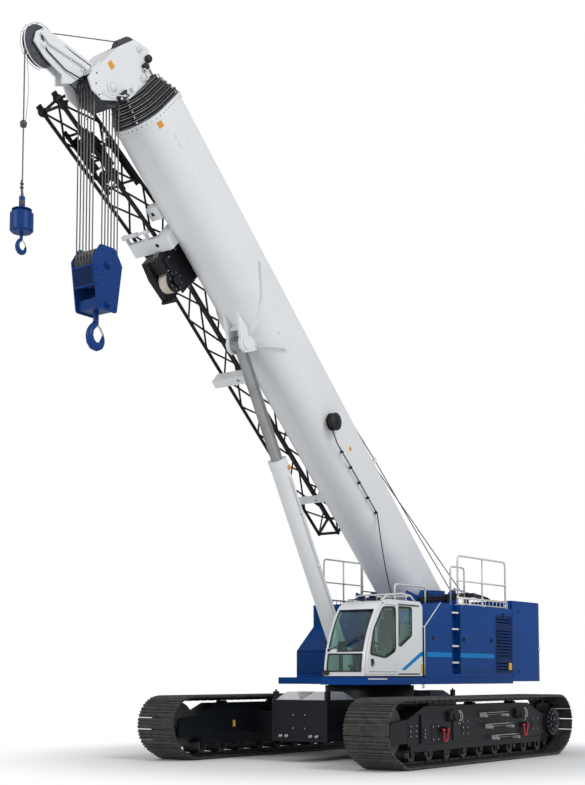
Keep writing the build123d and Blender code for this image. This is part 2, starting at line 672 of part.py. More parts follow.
def deck_frame():
    """The slewing frame: deck plate, boom brackets with the foot pin, cylinder cheeks and winch stands."""
    w, inner = DECK_HALF_WIDTH, DECK_INNER_Y
    plan = [(DECK_REAR_X, -w), (RIGHT_DECK_FRONT_X, -w), (RIGHT_DECK_FRONT_X, -inner), (NOSE_X, -inner),
            (NOSE_X, inner),
            (CAB_FRONT_X, inner), (CAB_FRONT_X, w), (DECK_REAR_X, w)]
    parts = [plan_plate(plan, DECK_BOTTOM, DECK_TOP)]
    ring = RING_TOP + SEAT
    parts.append(Pos(0, 0, (ring + DECK_BOTTOM + 1) / 2) * Cylinder(RING_RADIUS - 60, DECK_BOTTOM + 1 - ring))
    bracket = [(FOOT_X - 760, DECK_TOP - 5), (FOOT_X - 760, 2000), (FOOT_X - 220, FOOT_Z + 130),
               (FOOT_X, FOOT_Z + 220),
               (FOOT_X + 200, FOOT_Z + 130), (FOOT_X + 700, 2000), (FOOT_X + 850, DECK_TOP - 5)]
    parts.append(both_sides(side_plate(bracket, CHEEK_INNER, CHEEK_OUTER)))
    parts.append(disc_y(FOOT_X, FOOT_Z, FOOT_PIN_RADIUS, -CHEEK_OUTER - 50, CHEEK_OUTER + 50))
    parts.append(both_sides(disc_y(FOOT_X, FOOT_Z, FOOT_PIN_RADIUS * 2, CHEEK_OUTER - 5, CHEEK_OUTER + 30)))
    foot_x, foot_z = LUFF_FOOT_X, LUFF_FOOT_Z
    cheek = [(foot_x - 420, DECK_TOP - 5), (foot_x - 150, foot_z + 90), (foot_x, foot_z + 150),
             (foot_x + 130, foot_z + 80),
             (foot_x + 230, DECK_TOP - 5)]
    parts.append(both_sides(side_plate(cheek, FOOT_CHEEK_INNER, FOOT_CHEEK_OUTER)))
    boss = LUFF_PIN_RADIUS + 35
    parts.append(both_sides(disc_y(foot_x, foot_z, boss, FOOT_CHEEK_OUTER - 5, FOOT_CHEEK_OUTER + 40)))
    beam = block(WELL_REAR_X, DECK_REAR_X + 600, TAIL_BEAM_INNER, TAIL_BEAM_OUTER, DECK_TOP - 5,
                 TAIL_BEAM_TOP)
    parts.append(both_sides(beam))
    for x in (CAB_REAR_X + 120, CAB_FRONT_X - 120):
        for y in (CAB_INNER_Y + 120, CAB_OUTER_Y - 120):
            parts.append(block(x - PAD_HALF, x + PAD_HALF, y - PAD_HALF, y + PAD_HALF, DECK_TOP - 5,
                               CAB_BOTTOM))
    frame = joined(parts)
    for _, x, z, _, flange in WINCHES:
        stand = [(x - flange, TAIL_BEAM_TOP - 5), (x - 110, z + 90), (x + 110, z + 90),
                 (x + flange, TAIL_BEAM_TOP - 5)]
        inner_y = WINCH_STAND_INNER
        frame += both_sides(side_plate(stand, inner_y, inner_y + WINCH_STAND))
        frame -= disc_y(x, z, WINCH_JOURNAL + PIN_FIT, -inner_y - WINCH_STAND - 1, inner_y + WINCH_STAND + 1)
    return frame


def winch_drum(x, z, drum, flange):
    """A rope drum with its end flanges and journals, turned as one piece."""
    reach = WINCH_STAND_INNER + WINCH_STAND
    half, inside = WINCH_HALF, WINCH_HALF - WINCH_FLANGE
    outline = [(0, -reach), (WINCH_JOURNAL, -reach), (WINCH_JOURNAL, -half), (flange, -half),
               (flange, -inside),
               (drum, -inside), (drum, inside), (flange, inside), (flange, half), (WINCH_JOURNAL, half),
               (WINCH_JOURNAL, reach), (0, reach)]
    return Pos(x, 0, z) * turned(outline)


def housing(outline, inside, y0, y1):
    """A cover of sheet walls, open towards the deck, from its outer and inner side outlines."""
    t = HOUSING_WALL
    return side_plate(outline, y0, y1) - side_plate(inside, y0 + t, y1 - t)


def left_housing():
    """The long cover on the left, with its bevelled front corner, ladder niche and grille opening."""
    top, t, rear, front = HOUSING_TOP, HOUSING_WALL, DECK_REAR_X, HOUSING_FRONT_X
    low = DECK_TOP - 5
    outline = [(rear, DECK_TOP), (rear, top), (BEVEL_X, top), (front, BEVEL_LOW), (front, DECK_TOP)]
    inside = [(rear + t, low), (rear + t, top - t), (BEVEL_X - t * 0.6, top - t),
              (front - t, BEVEL_LOW - t * 0.6), (front - t, low)]
    shell = housing(outline, inside, HOUSING_INNER_Y, DECK_HALF_WIDTH)
    x0, x1, z0 = LADDER_X - LADDER_HALF, LADDER_X + LADDER_HALF, DECK_TOP + 60
    shell += block(x0 - t, x1 + t, DECK_HALF_WIDTH - NICHE_DEPTH - t, DECK_HALF_WIDTH, z0 - t, top)
    shell -= block(x0, x1, DECK_HALF_WIDTH - NICHE_DEPTH, DECK_HALF_WIDTH + 1, z0, top + 1)
    for a, b, c, d in GRILLE_PANELS:
        shell -= block(a, b, DECK_HALF_WIDTH - t - 1, DECK_HALF_WIDTH + 1, c, d)
    return shell


def right_housing():
    """The stepped cover on the right, with its sloping intake."""
    top, t, rear, front, low = RIGHT_HOUSING_TOP, HOUSING_WALL, DECK_REAR_X, RIGHT_FRONT_X, DECK_TOP - 5
    outline = [(rear, DECK_TOP), (rear, top), (TOWER_X, top), (TOWER_X, INTAKE_HIGH), (front, INTAKE_LOW),
               (front, DECK_TOP)]
    inside = [(rear + t, low), (rear + t, top - t), (TOWER_X - t, top - t),
              (TOWER_X - t, INTAKE_HIGH - t * 0.6),
              (front - t, INTAKE_LOW - t * 0.6), (front - t, low)]
    shell = housing(outline, inside, -RIGHT_HOUSING_SIDE, -HOUSING_INNER_Y)
    return shell - intake_room()


def intake_frame():
    """The plane of the sloping intake, its origin at the middle of the slope."""
    slope = Vector(TOWER_X - RIGHT_FRONT_X, 0, INTAKE_HIGH - INTAKE_LOW)
    middle = ((TOWER_X + RIGHT_FRONT_X) / 2, -(RIGHT_HOUSING_SIDE + HOUSING_INNER_Y) / 2,
              (INTAKE_HIGH + INTAKE_LOW) / 2)
    return Plane(origin=middle, x_dir=slope, z_dir=(slope.Z, 0, -slope.X)), slope.length


def intake_room():
    """The opening that the intake's grille fills."""
    plane, length = intake_frame()
    return plane * Box(length - 110, RIGHT_HOUSING_SIDE - HOUSING_INNER_Y - 120, 4 * HOUSING_WALL)


def slotted(plate, along, count_length, width, axis):
    """A plate with a row of slots cut through it, one after another along one direction."""
    count = int(count_length // SLAT_PITCH)
    for i in range(count):
        place = (i - (count - 1) / 2) * SLAT_PITCH
        size = (SLAT_GAP, width, 200) if axis == "x" else (width, 200, SLAT_GAP)
        plate -= Pos(along[0] + (place if axis == "x" else 0), along[1],
                     along[2] + (place if axis == "z" else 0)) * Box(*size)
    return plate


def grilles():
    """The three louvred panels at the left rear and the intake's grille."""
    found = []
    for a, b, c, d in GRILLE_PANELS:
        y = DECK_HALF_WIDTH - HOUSING_WALL / 2
        plate = block(a + SEAT, b - SEAT, y - GRILLE_PLATE / 2, y + GRILLE_PLATE / 2, c + SEAT, d - SEAT)
        found.append(slotted(plate, ((a + b) / 2, y, (c + d) / 2), d - c - 30, b - a - 90, "z"))
    plane, length = intake_frame()
    wide = RIGHT_HOUSING_SIDE - HOUSING_INNER_Y - 120
    plate = Pos(0, 0, -GRILLE_PLATE) * Box(length - 110 - 2 * SEAT, wide - 2 * SEAT, GRILLE_PLATE)
    found.append(plane * slotted(plate, (0, 0, 0), length - 150, wide - 90, "x"))
    return found


def counterweight():
    """The tail weight with round rear corners, about the winch well."""
    w = DECK_HALF_WIDTH
    body = block(TAIL_X, DECK_REAR_X, -w, w, TAIL_BOTTOM, TAIL_TOP)
    body = fillet(body.edges().filter_by(Axis.Z).group_by(Axis.X)[0], TAIL_CORNER)
    well = block(WELL_REAR_X, DECK_REAR_X + 1, -WELL_HALF, WELL_HALF, TAIL_BOTTOM - 1, TAIL_TOP + 1)
    return body - well


def rail_frame(x0, x1, y, feet, top, heights):
    """Upright posts at the two ends, joined by bars along the machine."""
    r = RAIL_RADIUS
    posts = [slim_bar((x, y, foot), (x, y, top), r) for x, foot in zip((x0, x1), feet)]
    rails = [slim_bar((x0, y, z), (x1, y, z), r * RAIL_SLIM) for z in heights]
    return joined(posts + rails)


def handrails():
    """Rails on the two housings and the grab rail behind the cab."""
    found = []
    for x0, x1, y, foot, top, middles in RAILS:
        frame = rail_frame(x0, x1, y, (foot, foot), top, (top - RAIL_RADIUS, *middles))
        if x1 - x0 > LONG_RAIL:
            middle = (x0 + x1) / 2
            frame += slim_bar((middle, y, foot), (middle, y, top), RAIL_RADIUS)
        found.append(frame)
    x0, x1, y, top = GRAB_RAIL
    found.append(rail_frame(x0, x1, y, (HOUSING_TOP, CAB_TOP), top, (top - RAIL_RADIUS,)))
    return found


def ladder_rungs():
    """Rungs across the niche in the left housing."""
    y = DECK_HALF_WIDTH - NICHE_DEPTH * 0.35
    return [block(LADDER_X - LADDER_HALF, LADDER_X + LADDER_HALF, y - 22, y + 22, z - RUNG_HEIGHT, z)
            for z in RUNG_TOPS]


def cab_outline():
    """The cab's side outline: upright back, flat roof and one curved front."""
    x0, x1, z0, z1 = CAB_REAR_X, CAB_FRONT_X, CAB_BOTTOM, CAB_TOP
    crown, bend = CAB_CROWN, CAB_ROOF_BEND
    corner = 90
    edges = [
        Line((x0, z0), (x1, z0)),
        Line((x1, z0), (x1, CAB_SILL_Z)),
        ThreePointArc((x1, CAB_SILL_Z), CAB_BROW, crown),
        ThreePointArc(crown, bend, (CAB_ROOF_FRONT, z1)),
        Line((CAB_ROOF_FRONT, z1), (x0 + corner, z1)),
        Line((x0 + corner, z1), (x0, z1 - corner)),
        Line((x0, z1 - corner), (x0, z0)),
    ]
    return make_face(Wire(edges))


def cab_band(inset, y0, y1):
    """The cab's outline, moved inwards, as a solid between two planes."""
    face = offset(cab_outline(), amount=-inset, kind=Kind.INTERSECTION) if inset else cab_outline()
    return Pos(0, y0, 0) * extrude(Plane.XZ * face, amount=y1 - y0, dir=(0, 1, 0))


def window(points, y0, y1, inset=0.0):
    """A window opening in a side wall, or the pane that fills it."""
    face = make_face(Polyline(*points, close=True))
    face = offset(face, amount=-inset, kind=Kind.INTERSECTION) if inset else face
    return Pos(0, y0, 0) * extrude(Plane.XZ * face, amount=y1 - y0, dir=(0, 1, 0))


def cab_openings(inset):
    """The openings in the curved front, the roof and the back, each made smaller by inset."""
    y0, y1 = CAB_INNER_Y + CAB_POST + inset, CAB_OUTER_Y - CAB_POST - inset
    cuts = [block(CAB_ROOF_BEND[0] + 60, CAB_FRONT_X + 50, y0, y1, z0 + inset, z1 - inset)
            for z0, z1 in FRONT_WINDOWS]
    a, b = ROOF_WINDOW
    cuts.append(block(a + inset, b - inset, y0 + 40, y1 - 40, CAB_TOP - 150, CAB_TOP + 50))
    a, b = REAR_WINDOW
    cuts.append(block(CAB_REAR_X - 1, CAB_REAR_X + 150, y0 + 40, y1 - 40, a + inset, b - inset))
    return cuts


def cab_shell():
    """The cab's walls with their openings, and the door's lower rail."""
    y0, y1, t = CAB_INNER_Y, CAB_OUTER_Y, CAB_WALL
    shell = cab_band(0, y0, y1) - cab_band(t, y0 + t, y1 - t)
    for cut in cab_openings(0):
        shell -= cut
    shell -= window(DOOR_OPENING, y1 - t - 1, y1 + 1)
    shell -= window(REAR_SIDE_WINDOW, y1 - t - 1, y1 + 1)
    shell -= window(RIGHT_WINDOW, y0 - 1, y0 + t + 1)
    return shell + block(CAB_REAR_X + 110, CAB_FRONT_X - 40, y1 - 1, y1 + DOOR_RAIL, CAB_BOTTOM,
                         DOOR_RAIL_TOP)


def cab_panes():
    """The fixed panes, each set a little way into its opening."""
    y0, y1 = CAB_INNER_Y, CAB_OUTER_Y
    layer = cab_band(PANE_DEPTH, y0 + 2, y1 - 2) - cab_band(PANE_DEPTH + PANE, y0 + 1, y1 - 1)
    panes = [layer & cut for cut in cab_openings(SEAT)]
    panes.append(window(REAR_SIDE_WINDOW, y1 - PANE_DEPTH - PANE, y1 - PANE_DEPTH, SEAT))
    panes.append(window(RIGHT_WINDOW, y0 + PANE_DEPTH, y0 + PANE_DEPTH + PANE, SEAT))
    return panes


def cab_door():
    """The sliding door, proud of the cab's side, with its runners and handle."""
    y0 = CAB_OUTER_Y + DOOR_CLEAR
    y1 = y0 + DOOR_THICKNESS
    bottom = DOOR_RAIL_TOP + 5
    leaf = cab_band(22, y0, y1) & block(DOOR_REAR_X, CAB_FRONT_X, y0 - 1, y1 + 1, bottom, CAB_TOP)
    leaf -= window(DOOR_WINDOW, y0 - 1, y1 + 1)
    for x in (DOOR_REAR_X + 30, CAB_FRONT_X - 200):
        leaf += block(x, x + 90, y0 + 5, y1 - 5, DOOR_RAIL_TOP + SEAT, bottom + 20)
    handle = block(2380, 2412, y1 - 1, y1 + 30, 1790, 1900) - block(2379, 2413, y1, y1 + 18, 1806, 1884)
    return leaf + handle


def cab_seat():
    """The operator's seat: cushion, back, head rest and its post on the cab floor."""
    floor = CAB_BOTTOM + CAB_WALL
    y = (CAB_INNER_Y + CAB_OUTER_Y) / 2
    cushion = block(1050, 1560, y - 235, y + 235, floor + 330, floor + 450)
    cushion = fillet(cushion.edges().filter_by(Axis.Z), 60)
    back = Pos(1105, y, floor + 720) * Rot(0, -10, 0) * Box(130, 460, 640)
    rest = Pos(1020, y, floor + 1130) * Rot(0, -10, 0) * Box(90, 260, 170)
    stem = Pos(1045, y, floor + 1030) * Rot(0, -10, 0) * Box(30, 120, 120)
    post = block(1140, 1480, y - 150, y + 150, floor, floor + 335)
    return joined([cushion, back, rest, stem, post])


def cab_controls():
    """A console with a lever on each side of the seat, the pedals and the display post."""
    floor = CAB_BOTTOM + CAB_WALL
    found = []
    for y in (CAB_INNER_Y + 130, CAB_OUTER_Y - 130):
        console = block(1150, 1780, y - 50, y + 50, floor, floor + 540)
        console += bar((1600, y, floor + 530), (1625, y, floor + 700), 13)
        found.append(console + block(1605, 1650, y - 22, y + 22, floor + 690, floor + 760))
    post = block(2250, 2310, CAB_INNER_Y + 120, CAB_INNER_Y + 170, floor, floor + 420)
    found.append(post + block(2220, 2255, CAB_INNER_Y + 60, CAB_INNER_Y + 260, floor + 380, floor + 600))
    for y in (CAB_INNER_Y + 360, CAB_INNER_Y + 520):
        pedal = block(2190, 2240, y - 40, y + 40, floor, floor + 40)
        found.append(pedal + Pos(2250, y, floor + 90) * Rot(0, -50, 0) * Box(180, 80, 18))
    return found


def work_lamp():
    """The round lamp on its foot, in the strip of deck beside the cab."""
    y = (DECK_INNER_Y + CAB_INNER_Y) / 2
    foot = block(LAMP_X - 20, LAMP_X + 20, y - 20, y + 20, DECK_TOP, DECK_TOP + LAMP_HEIGHT)
    return foot + bar((LAMP_X - 70, y, DECK_TOP + LAMP_HEIGHT), (LAMP_X + 30, y, DECK_TOP + LAMP_HEIGHT),
                      LAMP_RADIUS)


def boom_face(width, height, start):
    """A boom section's outline: upper corners tight, lower corners nearly half the width."""
    face = Plane(origin=(start, 0, -BOOM_SINK), x_dir=(0, 1, 0), z_dir=(1, 0, 0)) * Rectangle(width, height)
    face = fillet(face.vertices().group_by(Axis.Z)[0], width * LOWER_ROUND)
    return fillet(face.vertices().group_by(Axis.Z)[-1], width * UPPER_ROUND)


def boom_bar(grow, start, end):
    """A solid with the base section's outline, larger all round by grow, between two places."""
    return extrude(boom_face(BOOM_WIDTH + 2 * grow, BOOM_HEIGHT + 2 * grow, start), amount=end - start,
                   dir=(1, 0, 0))


def boom_ribs():
    """Pairs of ribs from the cylinder's ears up the boom's sides."""
    ribs = []
    for back, low, reach, high in RIBS:
        foot, top = Vector(EAR_ALONG + back, 0, low), Vector(EAR_ALONG + reach, 0, high)
        strip = Plane(origin=foot, x_dir=(0, 1, 0), z_dir=top - foot)
        strip *= Box(2 * BOOM_WIDTH, RIB_THICKNESS, (top - foot).length,
                     align=(Align.CENTER, Align.CENTER, Align.MIN))
        ribs.append(strip & boom_bar(RIB_PROUD, EAR_ALONG - BOOM_WIDTH, EAR_ALONG + 2 * BOOM_WIDTH))
    return ribs


def boom_base():
    """The base section with its foot lugs, mouth, cylinder ears and ribs, and rope guides."""
    body = boom_bar(0, BOOM_START, BOOM_END) + boom_bar(MOUTH_RIM, BOOM_END - MOUTH_BACK,
                                                        BOOM_END + MOUTH_LENGTH)
    low = -BOOM_SINK - BOOM_HEIGHT / 2
    ear = [(EAR_ALONG - EAR_BACK, low + 60), (EAR_ALONG - 160, -EAR_UNDER - 60),
           (EAR_ALONG - 110, -EAR_UNDER - 150),
           (EAR_ALONG, -EAR_UNDER - EAR_RADIUS), (EAR_ALONG + 110, -EAR_UNDER - 150),
           (EAR_ALONG + 165, -EAR_UNDER - 60),
           (EAR_ALONG + EAR_FRONT, low + 60)]
    ears = both_sides(side_plate(ear, EAR_INNER, EAR_OUTER))
    tie = block(EAR_ALONG + 240, EAR_ALONG + 280, -EAR_INNER - 1, EAR_INNER + 1, low - 110, low + 60)
    pin = disc_y(EAR_ALONG, -EAR_UNDER, LUFF_PIN_RADIUS, -EAR_OUTER - 20, EAR_OUTER + 20)
    bosses = both_sides(disc_y(EAR_ALONG, -EAR_UNDER, LUFF_PIN_RADIUS + 45, EAR_OUTER - 5, EAR_OUTER + 25))
    whole = joined([body, *boom_ribs(), ears, tie, pin, bosses])
    lug = [(-190, -130), (0, -220), (BOOM_START + 500, -470), (BOOM_START + 500, 330), (0, 220), (-190, 130)]
    lugs = both_sides(side_plate(lug, BOOM_WIDTH / 2 - 90, BOOM_WIDTH / 2 - 2))
    whole = whole.fuse(lugs)
    for along, top, half in GUIDES:
        post = block(along - 30, along + 30, half - 40, half, BOOM_HEIGHT / 2 - BOOM_SINK - 20, top)
        whole = whole.fuse(both_sides(post), disc_y(along, top - 50, 38, -half + 5, half - 5))
    whole -= boom_bar(-BOOM_WALL, BOOM_START + BOOM_WALL, BOOM_END + 200)
    whole -= disc_y(0, 0, FOOT_PIN_RADIUS + PIN_FIT, -BOOM_WIDTH, BOOM_WIDTH)
    return on_boom(whole)


def boom_section(number):
    """One telescoping section, 1 to SECTION_COUNT from the outside, with its collar and slide pads."""
    inset = SECTION_STEP * number
    start = BOOM_START + 2 * SECTION_STAGGER + SECTION_STAGGER * number
    collar = BOOM_END + MOUTH_LENGTH + COLLAR_GAP + (COLLAR_THICKNESS + COLLAR_GAP) * (number - 1)
    tube = boom_bar(-inset, start, collar + 10) + boom_bar(COLLAR_RIM - inset, collar,
                                                           collar + COLLAR_THICKNESS)
    reach = BOOM_WIDTH / 2 - inset + SECTION_STEP - BOOM_WALL - SEAT
    tube += both_sides(block(start, start + PAD_LENGTH, BOOM_WIDTH / 2 - inset - 5, reach, -150, 200))
    front = collar + COLLAR_THICKNESS + (1 if number < SECTION_COUNT else -BOOM_WALL)
    return on_boom(tube - boom_bar(-inset - BOOM_WALL, start - 1, front))


def boom_head():
    """Two side plates, cross plates and the axles at the tip of the last section."""
    along, up = to_boom(HEAD_AXLE_X, HEAD_AXLE_Z)
    a, b = HEAD_PLATE_Y, HEAD_PLATE_Y + HEAD_PLATE
    parts = [both_sides(side_plate(shifted(HEAD_OUTLINE, HEAD_START), a, b))]
    parts.append(block(HEAD_START, HEAD_START + 25, -b, b, -500, 0))
    parts.append(block(HEAD_START + 20, HEAD_FRONT - 20, -a - 1, a + 1, -440, -410))
    parts.append(block(HEAD_FRONT - 30, HEAD_FRONT, -a - 1, a + 1, -1000, -160))
    for x, z, r in ((along, up, HEAD_AXLE_RADIUS), (TOP_AXLE_ALONG, TOP_AXLE_UP, TOP_AXLE_RADIUS)):
        parts.append(both_sides(disc_y(x, z, r * 2, a, b + 22)))
        parts.append(disc_y(x, z, r, -b - 10, b + 10))
    return on_boom(joined(parts))


def aux_arm():
    """The arm ahead of the head that carries the single sheave between its plates."""
    along, up = to_boom(AUX_AXLE_X, AUX_AXLE_Z)
    a, b = ARM_PLATE_INNER, ARM_PLATE_INNER + ARM_PLATE
    parts = [both_sides(side_plate(shifted(ARM_OUTLINE, HEAD_FRONT), a, b))]
    flange = shifted(ARM_FLANGE_OUTLINE, HEAD_FRONT)
    parts.append(both_sides(side_plate(flange, b - 1, b + ARM_FLANGE)))
    parts.append(block(HEAD_FRONT, HEAD_FRONT + 25, -HEAD_PLATE_Y, HEAD_PLATE_Y, -1000, -741))
    parts.append(block(HEAD_FRONT + 20, ARM_WEB_END, -a - 1, a + 1, -1300, -1270))
    parts.append(disc_y(along, up, AUX_AXLE_RADIUS, -b - 12, b + 12))
    parts.append(both_sides(disc_y(along, up, AUX_AXLE_RADIUS * 2, b - 2, b + 12)))
    return on_boom(joined(parts))


def rope_sheaves(x, z, radius, rope_line, count, bore):
    """Sheaves side by side on one axle, turned as one piece, with a groove for each rope."""
    half = SHEAVE_PITCH * count / 2
    bottom = rope_line - ROPE_RADIUS - SEAT
    outline = [(bore + PIN_FIT, -half)]
    for middle in groove_places(count):
        for share, r in ((-0.44, radius), (-0.22, bottom), (0.22, bottom), (0.44, radius)):
            outline.append((r, middle + share * SHEAVE_PITCH))
    outline.append((bore + PIN_FIT, half))
    return Pos(x, 0, z) * turned(outline)


def groove_places(count):
    """Where the grooves of a row of sheaves lie across the machine."""
    return [(i - (count - 1) / 2) * SHEAVE_PITCH for i in range(count)]


def main_ropes():
    """The falls between the head and the block, one from each side of every groove."""
    falls = []
    for y in groove_places(SHEAVE_COUNT):
        for x in (HEAD_AXLE_X - ROPE_LINE, HEAD_AXLE_X + ROPE_LINE):
            falls.append(slim_bar((x, y, BLOCK_AXLE_Z), (x, y, HEAD_AXLE_Z), ROPE_RADIUS, 6))
    return falls


def hook_block():
    """The block: two shaped cheeks, guard plates over the sheaves, axle and the hook's trunnion."""
    x = HEAD_AXLE_X
    cheek = [(dx, BLOCK_BOTTOM + dz) for dx, dz in BLOCK_CHEEK]
    a, b = BLOCK_PLATE_Y, BLOCK_PLATE_Y + BLOCK_PLATE
    parts = [both_sides(side_plate([(x + dx, z) for dx, z in cheek], a, b, BLOCK_CORNER))]
    (low_x, low_z), (wide_x, wide_z) = cheek[-1], cheek[-2]
    for side in (-1, 1):
        edge = [(low_x + (wide_x - low_x) * (z - low_z) / (wide_z - low_z), z)
                for z in (GUARD_LOW, GUARD_HIGH)]
        guard = edge + [(dx - GUARD_PLATE, z) for dx, z in reversed(edge)]
        parts.append(side_plate([(x + side * dx, z) for dx, z in guard], -a - 1, a + 1))
        near, far = sorted((x + side * (edge[0][0] - GUARD_LEDGE), x + side * edge[0][0]))
        parts.append(block(near, far, -a - 1, a + 1, GUARD_LOW, GUARD_LOW + GUARD_PLATE))
    parts.append(block(x - TRUNNION_HALF, x + TRUNNION_HALF, -a - 1, a + 1, TRUNNION_BOTTOM, TRUNNION_TOP))
    trunnion_z = (TRUNNION_BOTTOM + TRUNNION_TOP) / 2
    for z in (BLOCK_AXLE_Z, trunnion_z):
        parts.append(both_sides(disc_y(x, z, BLOCK_AXLE_RADIUS, b - 1, b + 18)))
    parts.append(disc_y(x, BLOCK_AXLE_Z, BLOCK_AXLE_RADIUS, -b, b))
    hole = bar((x, 0, BLOCK_BOTTOM), (x, 0, TRUNNION_TOP + 1), SHANK_RADIUS + PIN_FIT)
    return joined(parts) - hole


def hook(x, centre, throat, thick, edge, shank, top):
    """A forged hook about the middle of its bowl, with its shank; the mouth opens to the rear."""
    neck = shank / throat
    back = [(neck, 3.35), (1.62, 2.35), (1.98, 0.5), (0.35, -2.16), (-1.62, -1.2), (-2.0, -0.25)]
    tip = [(-1.86, 0.72)]
    bowl = [(-1.3, 0.9), (-1.0, -0.05), (0, -1.0), (1.0, 0.05), (0.98, 0.95)]
    mouth = [(-neck, 2.15), (-neck, 3.35)]
    p = [(a * throat, b * throat) for a, b in back + tip + bowl + mouth]
    arcs = [ThreePointArc(p[i], p[i + 1], p[i + 2]) for i in (0, 2, 4, 8, 10)]
    lines = [Line(p[i], p[(i + 1) % len(p)]) for i in (6, 7, 12, 13)]
    face = make_face(Wire(arcs[:3] + lines[:2] + arcs[3:] + lines[2:]))
    face = Plane.XZ * fillet(face.vertices(), HOOK_ROUND * throat)
    body = Pos(0, -thick / 2, 0) * extrude(face, amount=thick, dir=(0, 1, 0))
    body = chamfer(body.faces().filter_by(Axis.Y).edges(), edge)
    return Pos(x, 0, centre) * body + bar((x, 0, centre + 3.2 * throat), (x, 0, top), shank)


def main_hook():
    """The main hook, its shank held by a nut above the trunnion."""
    x = HEAD_AXLE_X
    top = TRUNNION_TOP + SEAT + NUT_HEIGHT
    shape = hook(x, HOOK_CENTRE, HOOK_THROAT, HOOK_THICKNESS, HOOK_CHAMFER, SHANK_RADIUS, top)
    return shape + bar((x, 0, TRUNNION_TOP + SEAT), (x, 0, top), SHANK_RADIUS * 1.6)


def aux_weight():
    """The weight above the small hook, turned, with the rope's socket on top."""
    r, low, high, socket = AUX_WEIGHT_RADIUS, AUX_WEIGHT_BOTTOM, AUX_WEIGHT_TOP, AUX_SOCKET_RADIUS
    outline = [(0, low), (r - 30, low), (r, low + 30), (r, high - 60), (r * 0.62, high), (socket, high + 40),
               (socket, AUX_ROPE_END), (0, AUX_ROPE_END)]
    body = revolve(make_face(Polyline(*[(a, 0, z) for a, z in outline], close=True)), Axis.Z)
    bore = Cylinder(AUX_SHANK_RADIUS + PIN_FIT, AUX_SHANK_REACH + SEAT,
                    align=(Align.CENTER, Align.CENTER, Align.MIN))
    return Pos(AUX_AXLE_X + AUX_ROPE_LINE, 0, 0) * (body - Pos(0, 0, low) * bore)


def aux_hook():
    """The small hook, its shank turning in the weight."""
    x = AUX_AXLE_X + AUX_ROPE_LINE
    top = AUX_WEIGHT_BOTTOM + AUX_SHANK_REACH
    return hook(x, AUX_HOOK_CENTRE, AUX_HOOK_THROAT, AUX_HOOK_THICKNESS, AUX_HOOK_CHAMFER, AUX_SHANK_RADIUS,
                top)


def cylinder_frame():
    """The luffing cylinder's own frame, from its upper pin towards the lower one, and its length."""
    upper = boom_frame.origin + ALONG * EAR_ALONG - UP * EAR_UNDER
    way = Vector(LUFF_FOOT_X, 0, LUFF_FOOT_Z) - upper
    return Plane(origin=upper, x_dir=way, z_dir=Vector(-way.Z, 0, way.X)), way.length


def luff_rod():
    """The chromed rod with its eye on the boom's pin."""
    frame, _ = cylinder_frame()
    half = EAR_INNER - SEAT
    rod = disc_y(0, 0, ROD_EYE_RADIUS, -half, half) + bar((60, 0, 0), (ROD_LENGTH, 0, 0), ROD_RADIUS)
    return frame * (rod - disc_y(0, 0, LUFF_PIN_RADIUS + PIN_FIT, -half - 1, half + 1))


def luff_barrel():
    """The barrel with its gland collar, its eye and the middle of the lower pin."""
    frame, length = cylinder_frame()
    mouth = length - BARREL_LENGTH
    tube = bar((mouth, 0, 0), (length - 90, 0, 0), BARREL_RADIUS) + bar((mouth, 0, 0), (mouth + 160, 0, 0),
                                                                        BARREL_COLLAR)
    tube += disc_y(length, 0, BARREL_EYE_RADIUS, -BARREL_EYE_RADIUS + 15, BARREL_EYE_RADIUS - 15)
    tube += disc_y(length, 0, LUFF_PIN_RADIUS, -FOOT_CHEEK_INNER + SEAT, FOOT_CHEEK_INNER - SEAT)
    bore = bar((mouth - 1, 0, 0), (length - BARREL_FLOOR, 0, 0), ROD_RADIUS + SEAT)
    return frame * (tube - bore)


def jib_low(along):
    """How far the stowed jib's lower chords lie under the foot pin's line."""
    (x0, z0), (x1, z1) = JIB_LINE[:2] if along < JIB_LINE[1][0] else JIB_LINE[1:]
    return z0 + (z1 - z0) * (along - x0) / (x1 - x0)


def jib_corner(along, number):
    """A point on one of the four chords, numbered round the section."""
    y = JIB_NEAR_Y - JIB_SIDE * (number in (1, 2))
    return along, y, jib_low(along) + JIB_SIDE * (number in (2, 3))


def jib_lattice():
    """The stowed jib: two lattice lengths with zigzag lacing, square end frames and lugs at the tip."""
    places = [along for along, _ in JIB_LINE]
    bars = []
    for (start, stop), bays in zip(zip(places, places[1:]), JIB_BAYS):
        bars += [bar(jib_corner(start, i), jib_corner(stop, i), CHORD_RADIUS) for i in range(4)]
        step = (stop - start) / bays
        for i in range(4):
            other = (i + 1) % 4
            for bay in range(bays):
                a, b = (i, other) if bay % 2 else (other, i)
                near = start + max(step * bay, CHORD_RADIUS)
                far = start + min(step * (bay + 1), stop - start - CHORD_RADIUS)
                bars.append(flat_bar(jib_corner(near, a), jib_corner(far, b), LACING_WIDTH))
    for along in (places[0] + CHORD_RADIUS, places[1], places[-1] - CHORD_RADIUS):
        for i in range(4):
            bars.append(flat_bar(jib_corner(along, i), jib_corner(along, (i + 1) % 4), LACING_WIDTH * 1.6))
    for i in range(4):
        x, y, z = jib_corner(places[-1], i)
        lug = block(x - JIB_LUG, x + JIB_LUG, y - JIB_LUG_HALF, y + JIB_LUG_HALF, z - 1.6 * CHORD_RADIUS,
                    z + 1.6 * CHORD_RADIUS)
        bars.append(lug - disc_y(x + JIB_LUG * 0.5, z, CHORD_RADIUS * 0.7, y - CHORD_RADIUS,
                                 y + CHORD_RADIUS))
    return on_boom(joined(bars))


